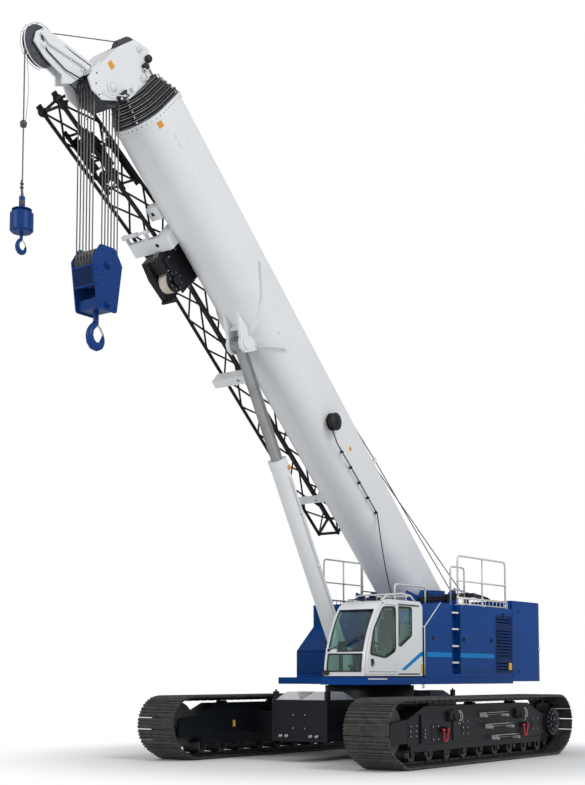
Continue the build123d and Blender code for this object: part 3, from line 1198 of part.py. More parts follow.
def jib_mounts():
    """Brackets from the boom's side: long ones pass under the stowed jib, the short one stops beside it."""
    found = []
    far = JIB_NEAR_Y - JIB_SIDE - 2 * CHORD_RADIUS
    near = -BARREL_COLLAR - MOUNT_ROOM
    for along, half, depth in JIB_MOUNTS:
        if depth:
            seat = min(jib_low(along - half), jib_low(along + half)) - CHORD_RADIUS * 1.01 - SEAT
            shape = block(along - half, along + half, far, near, seat - depth, seat)
            shape += block(along - half, along + half, -BOOM_WIDTH / 2 - MOUNT_THICKNESS, near, seat - depth,
                           -BOOM_SINK)
            shape -= Pos(along, MOUNT_HOLE_Y, 0) * Cylinder(MOUNT_HOLE, 4 * BOOM_HEIGHT)
        else:
            y0, y1, low, high = SHORT_MOUNT
            shape = block(along - half, along + half, y0, y1, low, high)
        shape -= boom_bar(0, along - 2 * half, along + 2 * half)
        found.append(on_boom(shape))
    return found


def jib_winch():
    """The small winch hung beside the boom, under the jib: a case, a rope drum and a round cheek."""
    x0, x1, y0, y1 = JIB_WINCH
    low, high = JIB_WINCH_UP
    axle = (low + high) / 2
    inner_y = y1 - JIB_HANGER
    case = [(x0 + 60, low + 40), (x0 + 60, high - 90), (x0 + 260, high), (x1, high), (x1, low + 60),
            (x1 - 300, low)]
    hanger = [(x0 + 120, axle), (x0 + 120, -BOOM_SINK), (x1 - 60, -BOOM_SINK), (x1 - 60, axle)]
    drum_y = y0 + (y1 - y0) * 0.36
    parts = [side_plate(case, y0, drum_y), side_plate(hanger, inner_y, y1)]
    parts.append(disc_y(JIB_DRUM_ALONG, axle, JIB_DRUM_RADIUS, drum_y - 1, inner_y))
    parts.append(disc_y(JIB_DRUM_ALONG, axle, JIB_CHEEK_RADIUS, inner_y - JIB_CHEEK, inner_y + 1))
    parts.append(disc_y(JIB_DRUM_ALONG, axle, JIB_CHEEK_RADIUS * 0.3, y1 - 1, y1 + 18))
    parts.append(block(JIB_DRUM_ALONG + JIB_CHEEK_RADIUS + 30, x1, drum_y - 1, inner_y + 1, low + 80, high))
    return on_boom(joined(parts) - boom_bar(SEAT, x0 - 1, x1 + 1))


def cable_reel():
    """The reel on the boom's left side, with its hub and bracket."""
    side = BOOM_WIDTH / 2
    rim, flange = REEL_RADIUS, 12
    half = REEL_WIDTH / 2
    outline = [(0, -half), (rim, -half), (rim, -half + flange), (rim * 0.86, -half + flange),
               (rim * 0.86, half - flange),
               (rim, half - flange), (rim * 0.7, half), (rim * 0.3, half), (rim * 0.24, half + 2 * flange),
               (0, half + 2 * flange)]
    reel = Pos(REEL_ALONG, side + REEL_STAND + half, REEL_UP) * turned(outline)
    foot = disc_y(REEL_ALONG, REEL_UP, rim * 0.4, 0, side + REEL_STAND + 1) - boom_bar(0, REEL_ALONG - rim,
                                                                                       REEL_ALONG + rim)
    return on_boom(reel + foot)


def write(name, *solids):
    """Writes one node from its solids."""
    flat = [solid for shape in solids for solid in shape.solids()]
    export_step(flat[0] if len(flat) == 1 else Compound(children=flat), f"parts/{name}.step")


os.makedirs("parts", exist_ok=True)
half_gauge = GAUGE / 2
write("track_left", track_loop(half_gauge))
write("track_right", track_loop(-half_gauge))
write("running_wheels", *running_gear(1), *running_gear(-1))
write("crawler_frame_left", crawler_frame(1))
write("crawler_frame_right", crawler_frame(-1))
write("crawler_steps", *crawler_steps())
write("shackles", *shackles())
write("carbody", carbody())
write("carbody_weights", carbody_weight(1), carbody_weight(-1))
write("deck_frame", deck_frame())
for winch, winch_x, winch_z, drum_radius, flange_radius in WINCHES:
    write(winch, winch_drum(winch_x, winch_z, drum_radius, flange_radius))
write("housing_left", left_housing())
write("housing_right", right_housing())
write("housing_grilles", *grilles())
write("engine_block", block(*ENGINE[:4], DECK_TOP, ENGINE[4]))
write("counterweight", counterweight())
write("handrails", *handrails())
write("ladder_rungs", *ladder_rungs())
write("cab_shell", cab_shell())
write("cab_glass", *cab_panes())
write("cab_seat", cab_seat())
write("cab_controls", *cab_controls())
write("work_lamp", work_lamp())
write("cab_door", cab_door())
write("cab_door_glass",
      window(DOOR_WINDOW, CAB_OUTER_Y + DOOR_CLEAR + 13, CAB_OUTER_Y + DOOR_CLEAR + 13 + PANE, SEAT))
write("boom_base", boom_base())
for section in range(1, SECTION_COUNT + 1):
    write(f"boom_section_{section + 1}", boom_section(section))
write("boom_head", boom_head())
write("aux_arm", aux_arm())
write("jib_lattice", jib_lattice())
write("jib_mounts", *jib_mounts())
write("jib_winch", jib_winch())
write("cable_reel", cable_reel())
write("luff_rod", luff_rod())
write("luff_barrel", luff_barrel())
head_sheave = (HEAD_AXLE_X, HEAD_AXLE_Z, SHEAVE_RADIUS, ROPE_LINE, SHEAVE_COUNT, HEAD_AXLE_RADIUS)
write("head_sheaves", rope_sheaves(*head_sheave))
top_row = rope_sheaves(TOP_AXLE_ALONG, TOP_AXLE_UP, TOP_SHEAVE_RADIUS, TOP_SHEAVE_RADIUS - 25,
                       TOP_SHEAVE_COUNT, TOP_AXLE_RADIUS)
write("top_sheaves", on_boom(top_row))
write("aux_sheave",
      rope_sheaves(AUX_AXLE_X, AUX_AXLE_Z, AUX_SHEAVE_RADIUS, AUX_ROPE_LINE, 1, AUX_AXLE_RADIUS))
write("main_ropes", *main_ropes())
write("hook_block", hook_block())
write("block_sheaves",
      rope_sheaves(HEAD_AXLE_X, BLOCK_AXLE_Z, SHEAVE_RADIUS, ROPE_LINE, SHEAVE_COUNT, BLOCK_AXLE_RADIUS))
write("main_hook", main_hook())
aux_rope_x = AUX_AXLE_X + AUX_ROPE_LINE
write("aux_rope", bar((aux_rope_x, 0, AUX_ROPE_END), (aux_rope_x, 0, AUX_AXLE_Z), ROPE_RADIUS))
write("aux_weight", aux_weight())
write("aux_hook", aux_hook())
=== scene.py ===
# %% [markdown]
# A telescopic crawler crane, dressed in Blender.
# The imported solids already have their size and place: metres, X forward, Y to the machine's left, Z up,
# with the origin on the slewing axis at ground level. They are loaded first and never moved, so every
# piece that follows can be put straight onto them.

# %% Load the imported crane
import json
import math

import bmesh
import bpy
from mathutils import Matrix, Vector


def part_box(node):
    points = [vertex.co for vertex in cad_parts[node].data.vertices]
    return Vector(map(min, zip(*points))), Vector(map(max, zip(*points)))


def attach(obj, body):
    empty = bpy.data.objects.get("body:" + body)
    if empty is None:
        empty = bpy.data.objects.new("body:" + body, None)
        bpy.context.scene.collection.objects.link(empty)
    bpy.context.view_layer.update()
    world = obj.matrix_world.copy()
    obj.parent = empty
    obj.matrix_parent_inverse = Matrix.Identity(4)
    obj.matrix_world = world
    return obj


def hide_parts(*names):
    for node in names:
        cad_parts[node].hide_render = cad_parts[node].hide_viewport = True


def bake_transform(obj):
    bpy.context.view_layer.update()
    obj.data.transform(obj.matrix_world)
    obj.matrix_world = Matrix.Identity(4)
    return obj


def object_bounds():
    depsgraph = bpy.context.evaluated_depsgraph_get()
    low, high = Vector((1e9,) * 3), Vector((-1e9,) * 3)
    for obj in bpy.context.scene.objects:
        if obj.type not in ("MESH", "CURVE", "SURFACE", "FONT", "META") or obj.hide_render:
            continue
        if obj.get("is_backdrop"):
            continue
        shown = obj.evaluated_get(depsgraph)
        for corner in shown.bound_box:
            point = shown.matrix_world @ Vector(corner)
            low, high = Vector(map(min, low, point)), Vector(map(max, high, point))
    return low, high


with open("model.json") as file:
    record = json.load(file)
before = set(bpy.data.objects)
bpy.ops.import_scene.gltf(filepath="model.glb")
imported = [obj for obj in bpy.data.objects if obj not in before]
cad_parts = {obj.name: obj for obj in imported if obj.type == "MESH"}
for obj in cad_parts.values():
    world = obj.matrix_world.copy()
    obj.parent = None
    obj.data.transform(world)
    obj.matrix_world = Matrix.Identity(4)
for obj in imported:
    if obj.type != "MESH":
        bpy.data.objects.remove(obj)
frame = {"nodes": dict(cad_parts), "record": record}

cad_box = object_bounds()
nodes = frame["nodes"]
print("solids:", len(nodes), "size:", [round(b - a, 2) for a, b in zip(*cad_box)])

# %% [markdown]
# Shader maths reads best as plain sums. A node tree could be wired by hand, one link at a time, but then the
# formula is lost. So one small class wraps a socket: an expression on it adds Math nodes, and one method adds
# any other node, with its settings first and then the values or links of its sockets.

# %% A socket that can be calculated with
class Wire:
    """An output socket in a material's node tree. Sums with it add Math nodes to that tree."""

    def __init__(self, tree, socket=None):
        self.tree = tree
        self.socket = socket

    def node(self, kind, settings=None, sockets=None, output=0):
        """Adds one node and returns one of its outputs."""
        made = self.tree.nodes.new(kind)
        for name, value in (settings or {}).items():
            if name == "stops":
                set_stops(made.color_ramp, value)
            else:
                setattr(made, name, value)
        for name, value in (sockets or {}).items():
            if isinstance(value, Wire):
                self.tree.links.new(value.socket, made.inputs[name])
            else:
                made.inputs[name].default_value = value
        return Wire(self.tree, made.outputs[output])

    def math(self, operation, first, second=0.0):
        return self.node("ShaderNodeMath", {"operation": operation}, {0: first, 1: second})

    def __add__(self, other):
        return self.math("ADD", self, other)

    def __radd__(self, other):
        return self.math("ADD", other, self)

    def __sub__(self, other):
        return self.math("SUBTRACT", self, other)

    def __rsub__(self, other):
        return self.math("SUBTRACT", other, self)

    def __mul__(self, other):
        return self.math("MULTIPLY", self, other)

    def __rmul__(self, other):
        return self.math("MULTIPLY", other, self)

    def __gt__(self, other):
        return self.math("GREATER_THAN", self, other)

    def __lt__(self, other):
        return self.math("LESS_THAN", self, other)


def set_stops(ramp, stops):
    """Gives a colour ramp its (place, grey or colour) stops."""
    while len(ramp.elements) > 1:
        ramp.elements.remove(ramp.elements[-1])
    for number, (place, value) in enumerate(stops):
        element = ramp.elements.new(place) if number else ramp.elements[0]
        element.position = place
        element.color = colour(value)


def colour(value):
    """A grey or an (r, g, b) as the four numbers that a colour socket takes."""
    return (value, value, value, 1.0) if isinstance(value, (int, float)) else (*value, 1.0)


print("wires: + - * > <, and node() for the rest")

# %% [markdown]
# Every finish starts the same way: a Principled shader, the object's own coordinates in metres, and noise at
# a few scales. The object's coordinates don't move when the machine turns, so nothing slides in a pose.
# A few small helpers name those steps.

# %% Helpers for finishes
finishes = {}


def new_finish(name):
    """An empty material: its Principled shader, and a wire to start expressions from."""
    material = bpy.data.materials.new(name)
    material.use_nodes = True
    finishes[name] = material
    tree = material.node_tree
    return next(n for n in tree.nodes if n.type == "BSDF_PRINCIPLED"), Wire(tree)


def feed(shader, wire, **values):
    """Sets or links the shader's inputs; underscores stand for spaces in their names."""
    for name, value in values.items():
        entry = shader.inputs[name.replace("_", " ")]
        if isinstance(value, Wire):
            wire.tree.links.new(value.socket, entry)
        else:
            entry.default_value = value


def place(wire):
    """Where a point lies on its own object, in metres."""
    return wire.node("ShaderNodeTexCoord", output=3)


def noise(wire, scale, detail=2.0, rough=0.5):
    """Soft noise from 0 to 1, with so many lumps to a metre."""
    sockets = {"Vector": place(wire), "Scale": scale, "Detail": detail, "Roughness": rough}
    return wire.node("ShaderNodeTexNoise", {}, sockets)


def ramp(wire, value, *stops):
    """A grey or a colour that changes with value, by (place, colour) stops."""
    return wire.node("ShaderNodeValToRGB", {"stops": stops}, {"Fac": value})


def blend_colours(wire, share, first, second):
    """The first colour where share is 0 and the second where it is 1."""
    first = first if isinstance(first, Wire) else colour(first)
    second = second if isinstance(second, Wire) else colour(second)
    return wire.node("ShaderNodeMix", {"data_type": "RGBA"}, {0: share, 6: first, 7: second}, 2)


def bump(wire, height, depth, strength=1.0):
    """A surface that rises by depth metres where height is 1."""
    return wire.node("ShaderNodeBump", {}, {"Height": height, "Distance": depth, "Strength": strength})


print("finish helpers ready")

# %% [markdown]
# Crane paint is a two-pack gloss: nearly even in colour, with a fine orange peel that breaks up reflections
# and a film of dust that lies thickest on what faces up. A flat colour would look like plastic. Here a broad
# noise shifts the tone by a few percent, a fine one gives the peel, and the roughness follows the broad one.

# %% Paints
DUST = (0.46, 0.43, 0.38)
DRIFT_LUMPS, PEEL_LUMPS, DUST_LUMPS = 0.9, 140.0, 5.0        # to a metre
PEEL_DEPTH = 0.0004
FACES_UP = 0.6              # a normal steeper than this counts as facing up


def paint(name, tone, rough=0.3, coat=0.25, drift=0.05, dust=0.1, gloss=0.5):
    """A sprayed gloss paint with orange peel, slight drift in tone and some dust on what faces up."""
    shader, wire = new_finish(name)
    broad = noise(wire, DRIFT_LUMPS, 4.0, 0.6)
    fine = noise(wire, PEEL_LUMPS, 2.0)
    darker = tuple(c * (1 - 2.2 * drift) for c in tone)
    lighter = tuple(min(1.0, c * (1 + drift) + drift * 0.02) for c in tone)
    base = ramp(wire, broad, (0.3, darker), (0.72, lighter))
    up = wire.node("ShaderNodeNewGeometry", output=1)
    flat = wire.node("ShaderNodeSeparateXYZ", {}, {"Vector": up}, 2)
    film = ramp(wire, noise(wire, DUST_LUMPS, 5.0, 0.7), (0.42, 0.0), (0.8, 1.0))
    settled = dust * film * ((flat > FACES_UP) * 0.8 + 0.2)
    feed(shader, wire, Base_Color=blend_colours(wire, settled, base, DUST),
         Roughness=broad * 0.16 + (rough - 0.08) + settled * 0.6,
         Normal=bump(wire, fine, PEEL_DEPTH, 0.35))
    feed(shader, wire, Coat_Weight=coat, Coat_Roughness=0.12, Specular_IOR_Level=gloss)


paint("white_paint", (0.79, 0.81, 0.835), 0.32, 0.3, 0.02, 0.03)
paint("blue_paint", (0.0, 0.056, 0.268), 0.38, 0.02, 0.05, 0.02, 0.12)
# A darker blue that is painted shade: between the left housing's louvre slats and in the hook block's
# windows.
paint("painted_shade_blue", (0.0, 0.014, 0.075), 0.45, 0.0, 0.08, 0.03, 0.16)
paint("hook_blue", (0.003, 0.042, 0.205), 0.36, 0.03, 0.06, 0.03, 0.2)
paint("black_paint", (0.008, 0.009, 0.012), 0.4, 0.02, 0.12, 0.03, 0.22)
paint("frame_black", (0.006, 0.008, 0.012), 0.4, 0.03, 0.12, 0.02, 0.22)
paint("weight_black", (0.006, 0.008, 0.013), 0.36, 0.03, 0.1, 0.02, 0.22)
paint("red_paint", (0.42, 0.012, 0.03), 0.35, 0.25, 0.08, 0.05)
paint("stripe_blue", (0.0, 0.225, 0.60), 0.4, 0.0, 0.03, 0.01, 0.15)
paint("label_orange", (0.78, 0.34, 0.03), 0.45, 0.0, 0.05, 0.04)
paint("label_yellow", (0.83, 0.5, 0.02), 0.45, 0.0, 0.05, 0.04)
print("paints:", len(finishes))

# %% [markdown]
# Bare metal needs its metallic value and the marks of how it was made: cast and rolled steel is mottled,
# zinc has a soft spangle, a hard-chromed rod is polished along its length, and wire rope shows its strands.

# %% Metals
def metal(name, dark, light, rough, metallic, grain=(18.0, 300.0), depth=0.0006):
    """Bare or lightly coated steel: mottled tone, uneven gloss and a fine grain."""
    shader, wire = new_finish(name)
    mottle = noise(wire, grain[0], 5.0, 0.65)
    fine = noise(wire, grain[1], 3.0)
    feed(shader, wire, Base_Color=ramp(wire, mottle, (0.32, dark), (0.7, light)), Metallic=metallic,
         Roughness=rough + (mottle - 0.5) * 0.3, Normal=bump(wire, fine, depth, 0.4))


metal("shoe_steel", (0.026, 0.031, 0.027), (0.085, 0.092, 0.080), 0.5, 0.25, (9.0, 120.0), 0.001)
metal("galvanised", (0.50, 0.52, 0.53), (0.72, 0.74, 0.75), 0.42, 0.35, (30.0, 400.0))
metal("sheave_grey", (0.045, 0.047, 0.062), (0.09, 0.092, 0.115), 0.42, 0.2)
metal("engine_steel", (0.05, 0.05, 0.055), (0.11, 0.11, 0.12), 0.5, 0.5)
metal("bolt_steel", (0.28, 0.29, 0.30), (0.5, 0.5, 0.5), 0.35, 0.9, (60.0, 500.0))
metal("bright_coat", (0.62, 0.63, 0.64), (0.80, 0.81, 0.82), 0.4, 0.25, (20.0, 300.0))
metal("bright_steel", (0.55, 0.56, 0.57), (0.76, 0.77, 0.78), 0.28, 0.85, (14.0, 300.0))


def chrome(name):
    """A hard-chromed rod with faint polishing marks round it and a trace of oil."""
    shader, wire = new_finish(name)
    film = noise(wire, 3.0, 4.0)
    marks = wire.node("ShaderNodeTexWave", {"wave_type": "BANDS", "bands_direction": "DIAGONAL"},
                      {"Vector": place(wire), "Scale": 60.0, "Distortion": 1.5, "Detail": 2.0}, 1)
    tone = ramp(wire, film, (0.3, (0.30, 0.31, 0.32)), (0.7, (0.42, 0.43, 0.44)))
    feed(shader, wire, Base_Color=tone, Metallic=1.0, Roughness=0.14 + film * 0.12,
         Normal=bump(wire, marks, 0.0002, 0.15))


def rope_finish(name):
    """Wire rope: greased strands that lie at a slant round the rope."""
    shader, wire = new_finish(name)
    strands = wire.node("ShaderNodeTexWave", {"wave_type": "BANDS", "bands_direction": "DIAGONAL"},
                        {"Vector": place(wire), "Scale": 28.0, "Distortion": 0.4}, 1)
    grease = noise(wire, 12.0, 4.0)
    tone = blend_colours(wire, strands, (0.055, 0.052, 0.05), (0.30, 0.29, 0.28))
    feed(shader, wire, Base_Color=tone, Metallic=0.6, Roughness=0.35 + grease * 0.25,
         Normal=bump(wire, strands, 0.002, 0.8))


chrome("chrome")
rope_finish("wire_rope")
print("metals done, finishes:", len(finishes))

# %% [markdown]
# The cab needs glass, rubber, cloth and moulded plastic. The panes are tinted green through their thickness.
# Real transmission is used here, because a see-through paint would lose its reflections.

# %% Glass, rubber, cloth and plastic
def glass(name, tint, rough=0.02):
    """Tinted safety glass: see-through, with a little dust that dulls it."""
    shader, wire = new_finish(name)
    film = ramp(wire, noise(wire, 4.0, 5.0, 0.7), (0.45, 0.0), (0.85, 1.0))
    tone = blend_colours(wire, film * 0.12, tint, (0.8, 0.82, 0.8))
    feed(shader, wire, Base_Color=tone, Roughness=film * 0.03 + rough)
    feed(shader, wire, Transmission_Weight=1.0, IOR=1.45)


def soft(name, tone, rough, grain, depth, drift=0.25):
    """Rubber, cloth or moulded plastic: one tone with its own grain."""
    shader, wire = new_finish(name)
    cells = wire.node("ShaderNodeTexVoronoi", {}, {"Vector": place(wire), "Scale": grain})
    patches = noise(wire, 7.0, 4.0)
    darker = tuple(c * (1 - drift) for c in tone)
    lighter = tuple(c * (1 + drift) for c in tone)
    base = ramp(wire, patches, (0.3, darker), (0.7, lighter))
    feed(shader, wire, Base_Color=base, Roughness=rough + patches * 0.12,
         Normal=bump(wire, cells, depth, 0.6))


glass("glass", (0.62, 0.88, 0.80))
glass("lens", (0.95, 0.96, 0.97), 0.08)
soft("seat_cloth", (0.035, 0.038, 0.045), 0.8, 260.0, 0.0012)
soft("cab_plastic", (0.05, 0.053, 0.058), 0.5, 500.0, 0.0004)
soft("rubber", (0.012, 0.012, 0.013), 0.5, 300.0, 0.0003)
soft("lamp_body", (0.02, 0.021, 0.023), 0.4, 400.0, 0.0003)
soft("cream_rope", (0.66, 0.60, 0.52), 0.8, 120.0, 0.002, 0.12)
print("finishes:", sorted(finishes))

# %% [markdown]
# The record names a material slot for every solid, so one loop dresses them all.
# A small bevel would be cut into a real plate's edge by its grinding and its paint: a bevel modifier with an
# angle limit catches the light there, and leaves the solid's own mesh untouched.

# %% Dress the solids
BEVELLED = {
    "housing_left": 0.008, "housing_right": 0.008, "counterweight": 0.012, "cab_shell": 0.006,
    "cab_door": 0.006, "carbody": 0.008, "carbody_weights": 0.012, "deck_frame": 0.005, "hook_block": 0.006,
    "boom_head": 0.006, "crawler_frame_left": 0.008, "crawler_frame_right": 0.008, "aux_arm": 0.004,
    "jib_mounts": 0.004, "jib_winch": 0.003,
}
slot_of = {part["node"]: part["material_slot"] for part in frame["record"]["subparts"]}


def soften_edges(piece, width):
    """A narrow bevel on sharp edges only."""
    weld = piece.modifiers.new("weld", "WELD")
    weld.merge_threshold = 0.00005
    bevel = piece.modifiers.new("bevel", "BEVEL")
    bevel.width = width
    bevel.segments = 2
    bevel.limit_method = "ANGLE"
    bevel.angle_limit = math.radians(50)
    bevel.harden_normals = True


for name, node in nodes.items():
    for slot in node.material_slots:
        slot.material = finishes["bright_coat" if name == "crawler_steps" else slot_of[name]]
print("dressed", len(nodes), "solids")

# %% [markdown]
# What is too fine for the solids is built as joined meshes. One collector class keeps the corners and faces
# of a piece while loops add boxes, bars, plates and turned shapes to it, and then makes the mesh once. That
# is far quicker in Blender than many small objects, and one piece can still be read as one list of parts.

# %% The collector
def circle(centre, side, other, radius, sides):
    """Points round a centre, in the plane of two directions."""
    turns = [math.tau * i / sides for i in range(sides)]
    return [centre + (side * math.cos(t) + other * math.sin(t)) * radius for t in turns]


def lifted(pair, depth, axis):
    """A flat point put at a depth: (x, z) for axis y, (x, y) for z and (y, z) for x."""
    a, b = pair
    return {"y": (a, depth, b), "z": (a, b, depth), "x": (depth, a, b)}[axis]


class Shape:
    """Corners and faces of one mesh. Every point that is added goes through move first."""

    def __init__(self, move=None):
        self.points = []
        self.faces = []
        self.smooth = []
        self.move = move or (lambda point: point)

    def add(self, points, faces, smooth=False):
        first = len(self.points)
        self.points += [self.move(Vector(point)) for point in points]
        self.faces += [[first + corner for corner in face] for face in faces]
        self.smooth += [smooth] * len(faces)

    def rings(self, rings, smooth=True, ends=True):
        """Joins rings of equal length one after another, and closes the two ends."""
        count = len(rings[0])
        points = [point for ring in rings for point in ring]
        faces = []
        for number in range(len(rings) - 1):
            a = number * count
            for i in range(count):
                j = (i + 1) % count
                faces.append((a + i, a + j, a + count + j, a + count + i))
        self.add(points, faces, smooth)
        if ends:
            for ring in (rings[0], rings[-1]):
                self.add(ring, [tuple(range(count))])

    def box(self, low, high):
        """A box between two corners."""
        (x0, y0, z0), (x1, y1, z1) = low, high
        lower = [(x0, y0, z0), (x1, y0, z0), (x1, y1, z0), (x0, y1, z0)]
        self.rings([lower, [(x, y, z1) for x, y, _ in lower]], smooth=False)

    def plate(self, outline, low, high, axis="y"):
        """A plate from an outline, between two depths."""
        self.rings([[lifted(pair, depth, axis) for pair in outline] for depth in (low, high)], smooth=False)

    def tube(self, path, radius, sides=10, ends=True):
        """A round bar along a path; radius is one number or one for each point."""
        path = [Vector(point) for point in path]
        radii = radius if isinstance(radius, (list, tuple)) else [radius] * len(path)
        side = None
        rings = []
        for number, point in enumerate(path):
            ahead = path[min(number + 1, len(path) - 1)] - path[max(number - 1, 0)]
            ahead.normalize()
            if side is None:
                side = ahead.orthogonal().normalized()
            side = (side - ahead * side.dot(ahead)).normalized()
            other = ahead.cross(side)
            rings.append(circle(point, side, other, radii[number], sides))
        self.rings(rings, ends=ends)

    def turned(self, outline, centre, axis, sides=32):
        """A turned part: (along, radius) points about an axis through centre."""
        axis = Vector(axis).normalized()
        side = axis.orthogonal().normalized()
        other = axis.cross(side)
        rings = [circle(Vector(centre) + axis * a, side, other, r, sides) for a, r in outline]
        for ring, after in zip(rings, rings[1:]):
            self.rings([ring, after], ends=False)
        for ring in (rings[0], rings[-1]):
            self.add(ring, [tuple(range(sides))])

    def piece(self, name, finish, body, slot=None, bevel=0.0):
        mesh = bpy.data.meshes.new(name)
        mesh.from_pydata([tuple(point) for point in self.points], [], self.faces)
        mesh.polygons.foreach_set("use_smooth", self.smooth)
        made = bmesh.new()
        made.from_mesh(mesh)
        bmesh.ops.remove_doubles(made, verts=made.verts, dist=0.00002)
        bmesh.ops.recalc_face_normals(made, faces=made.faces)
        made.to_mesh(mesh)
        made.free()
        piece = bpy.data.objects.new(name, mesh)
        bpy.context.scene.collection.objects.link(piece)
        mesh.materials.append(finishes[finish])
        if bevel:
            soften_edges(piece, bevel)
        if body:
            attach(piece, body)
        made_pieces.append(name)
        print(name, len(mesh.polygons), "faces on", body or "two bodies")
        return piece


made_pieces = []


def rounded(path, radius, steps=5):
    """A path with its corners bent to a radius."""
    path = [Vector(point) for point in path]
    bent = [path[0]]
    for before, corner, after in zip(path, path[1:], path[2:]):
        back, ahead = (before - corner).normalized(), (after - corner).normalized()
        half = back.angle(ahead) / 2
        reach = min(radius / math.tan(half), 0.45 * (before - corner).length, 0.45 * (after - corner).length)
        a, b = corner + back * reach, corner + ahead * reach
        for i in range(steps + 1):
            t = i / steps
            bent.append(a * (1 - t) ** 2 + corner * 2 * t * (1 - t) + b * t ** 2)
    return bent + [path[-1]]


print("collector ready")

# %% [markdown]
# Most pieces stand on the boom, on a housing or on a track frame. A point on the boom is easiest to give
# along it, across it and up from the line through its foot pin, so one helper turns such a point into the
# machine's own. Another mirrors a piece to the machine's other side. Bolts, bosses and sleeves come back on
# every part of the machine, so they have helpers too.

# %% Directions and mirrors
BOOM_FOOT = Vector((-2.35, 0.0, 2.67))
BOOM_ANGLE = math.radians(42.67)
ALONG = Vector((math.cos(BOOM_ANGLE), 0.0, math.sin(BOOM_ANGLE)))
UP = Vector((-ALONG.z, 0.0, ALONG.x))


def on_boom(point):
    """A point that is given along the boom, across it and up from its foot pin's line."""
    along, across, up = point
    return BOOM_FOOT + ALONG * along + UP * up + Vector((0.0, across, 0.0))


def to_side(side):
    """A move that leaves a point on the machine's left, or mirrors it to the right."""
    return lambda point: Vector((point.x, side * point.y, point.z))


def bolt(shape, at, axis, radius=0.012, height=0.01):
    """A hexagonal bolt head on its washer, standing on a face."""
    shape.turned([(0.0, radius * 1.35), (height * 0.3, radius * 1.35)], at, axis, sides=10)
    shape.turned([(height * 0.3, radius), (height, radius * 0.92)], at, axis, sides=6)


def bolt_circle(shape, centre, axis, ring, count, start=0.0, radius=0.012, height=0.01):
    """Bolts in a ring round an axis along Y or Z; start is the first one's turn."""
    x, y, z = centre
    for i in range(count):
        turn = math.tau * i / count + start
        a, b = ring * math.cos(turn), ring * math.sin(turn)
        bolt(shape, (x + a, y, z + b) if axis[1] else (x + a, y + b, z), axis, radius, height)


def boss(shape, at, axis, radius, height, rise=0.0, draw=0.0, sunk=0.002, sides=20):
    """A round boss on a face; rise and draw are the height and depth of the chamfer at its rim."""
    rim = [(height - rise, radius), (height, radius - draw)] if rise else [(height, radius)]
    shape.turned([(-sunk, radius)] + rim + [(height, 0.0)], at, axis, sides)


def sleeve(shape, at, axis, half, radius, rise, draw, sides=16):
    """A ring round an axis with both its ends chamfered."""
    profile = [(-half, radius - draw), (rise - half, radius), (half - rise, radius), (half, radius - draw)]
    shape.turned(profile, at, axis, sides)


def rectangle(x0, x1, z0, z1):
    """Four corners between two values across and two up."""
    return [(x0, z0), (x1, z0), (x1, z1), (x0, z1)]


print("boom rises", round(math.degrees(BOOM_ANGLE), 2), "degrees")

# %% [markdown]
# A crawler's track is a closed chain: steel shoes with three low ribs, bolted to forged links that the idler
# and the sprocket carry. The pitch line is two straight runs, two short ramps and two arcs. One function
# walks along it, and a loop sets one shoe with its links, pins and bolts at every step. An array modifier on
# a curve would bend the shoes, and real shoes stay stiff.

# %% Tracks
TRACK_Y = 2.39
TRACK_MIDDLE_X = 0.17
WHEEL_BASE = 6.164
WHEEL_Z = 0.675
GROUND_LENGTH = 5.95
PITCH_RADIUS = 0.51
GROUND_LINE = 0.055
SHOE_HALF = 0.45
SHOE_THICKNESS = 0.03
SHOE_PITCH = 0.216
RIB_TOP = 0.054
RIB_SPREAD = 0.066                      # from one rib of a shoe to the next
LINK_ROW, LINK_HALF = 0.11, 0.018       # a link's place beside the track's middle, and half its thickness
PIN_HALF, PIN_RADIUS, PIN_DEPTH = 0.142, 0.02, 0.03
SHOE_BOLT_SPREAD = 0.033


def track_stations():
    """Places along the pitch line, one at each joint between two shoes."""
    run, rise = (WHEEL_BASE - GROUND_LENGTH) / 2, WHEEL_Z - GROUND_LINE
    slope = math.sqrt(run**2 + rise**2 - PITCH_RADIUS**2)
    ramp = math.atan2(rise, run) - math.atan2(PITCH_RADIUS, slope)
    bend = math.pi - ramp
    arc_length = PITCH_RADIUS * bend
    legs = [(GROUND_LENGTH, math.pi, False), (slope, bend, False), (arc_length, bend, True),
            (WHEEL_BASE, 0.0, False), (arc_length, 0.0, True), (slope, math.pi + ramp, False)]
    total = sum(length for length, _, _ in legs)
    count = round(total / SHOE_PITCH)
    step = total / count
    x, z, passed, stations = GROUND_LENGTH / 2, GROUND_LINE, 0.0, []
    for length, heading, turns in legs:
        def reached(here):
            if not turns:
                return x + here * math.cos(heading), z + here * math.sin(heading)
            end = heading - here / PITCH_RADIUS
            return (x + PITCH_RADIUS * (math.sin(heading) - math.sin(end)),
                    z - PITCH_RADIUS * (math.cos(heading) - math.cos(end)))
        while len(stations) < count and len(stations) * step < passed + length - 1e-6:
            stations.append(reached(len(stations) * step - passed))
        x, z = reached(length)
        passed += length
    return stations


def shoe_outline(length):
    """A shoe's section: a plate with turned-down edges and three ribs."""
    top = SHOE_THICKNESS
    points = [(0.006, 0.006), (0.004, top - 0.004), (0.012, top)]
    for middle in (length / 2 - RIB_SPREAD, length / 2, length / 2 + RIB_SPREAD):
        points += [(middle - 0.017, top), (middle - 0.008, RIB_TOP), (middle + 0.008, RIB_TOP),
                   (middle + 0.017, top)]
    return points + [(length - 0.012, top), (length - 0.004, top - 0.004), (length - 0.006, 0.006)]


def link_outline(length):
    """A link's section: it laps the next one, and is waisted between its two bosses."""
    return [(-0.03, -0.01), (length + 0.02, 0.0), (length + 0.034, -0.026), (length + 0.012, -0.052),
            (length * 0.6, -0.058), (length * 0.4, -0.058), (-0.005, -0.05), (-0.036, -0.034)]


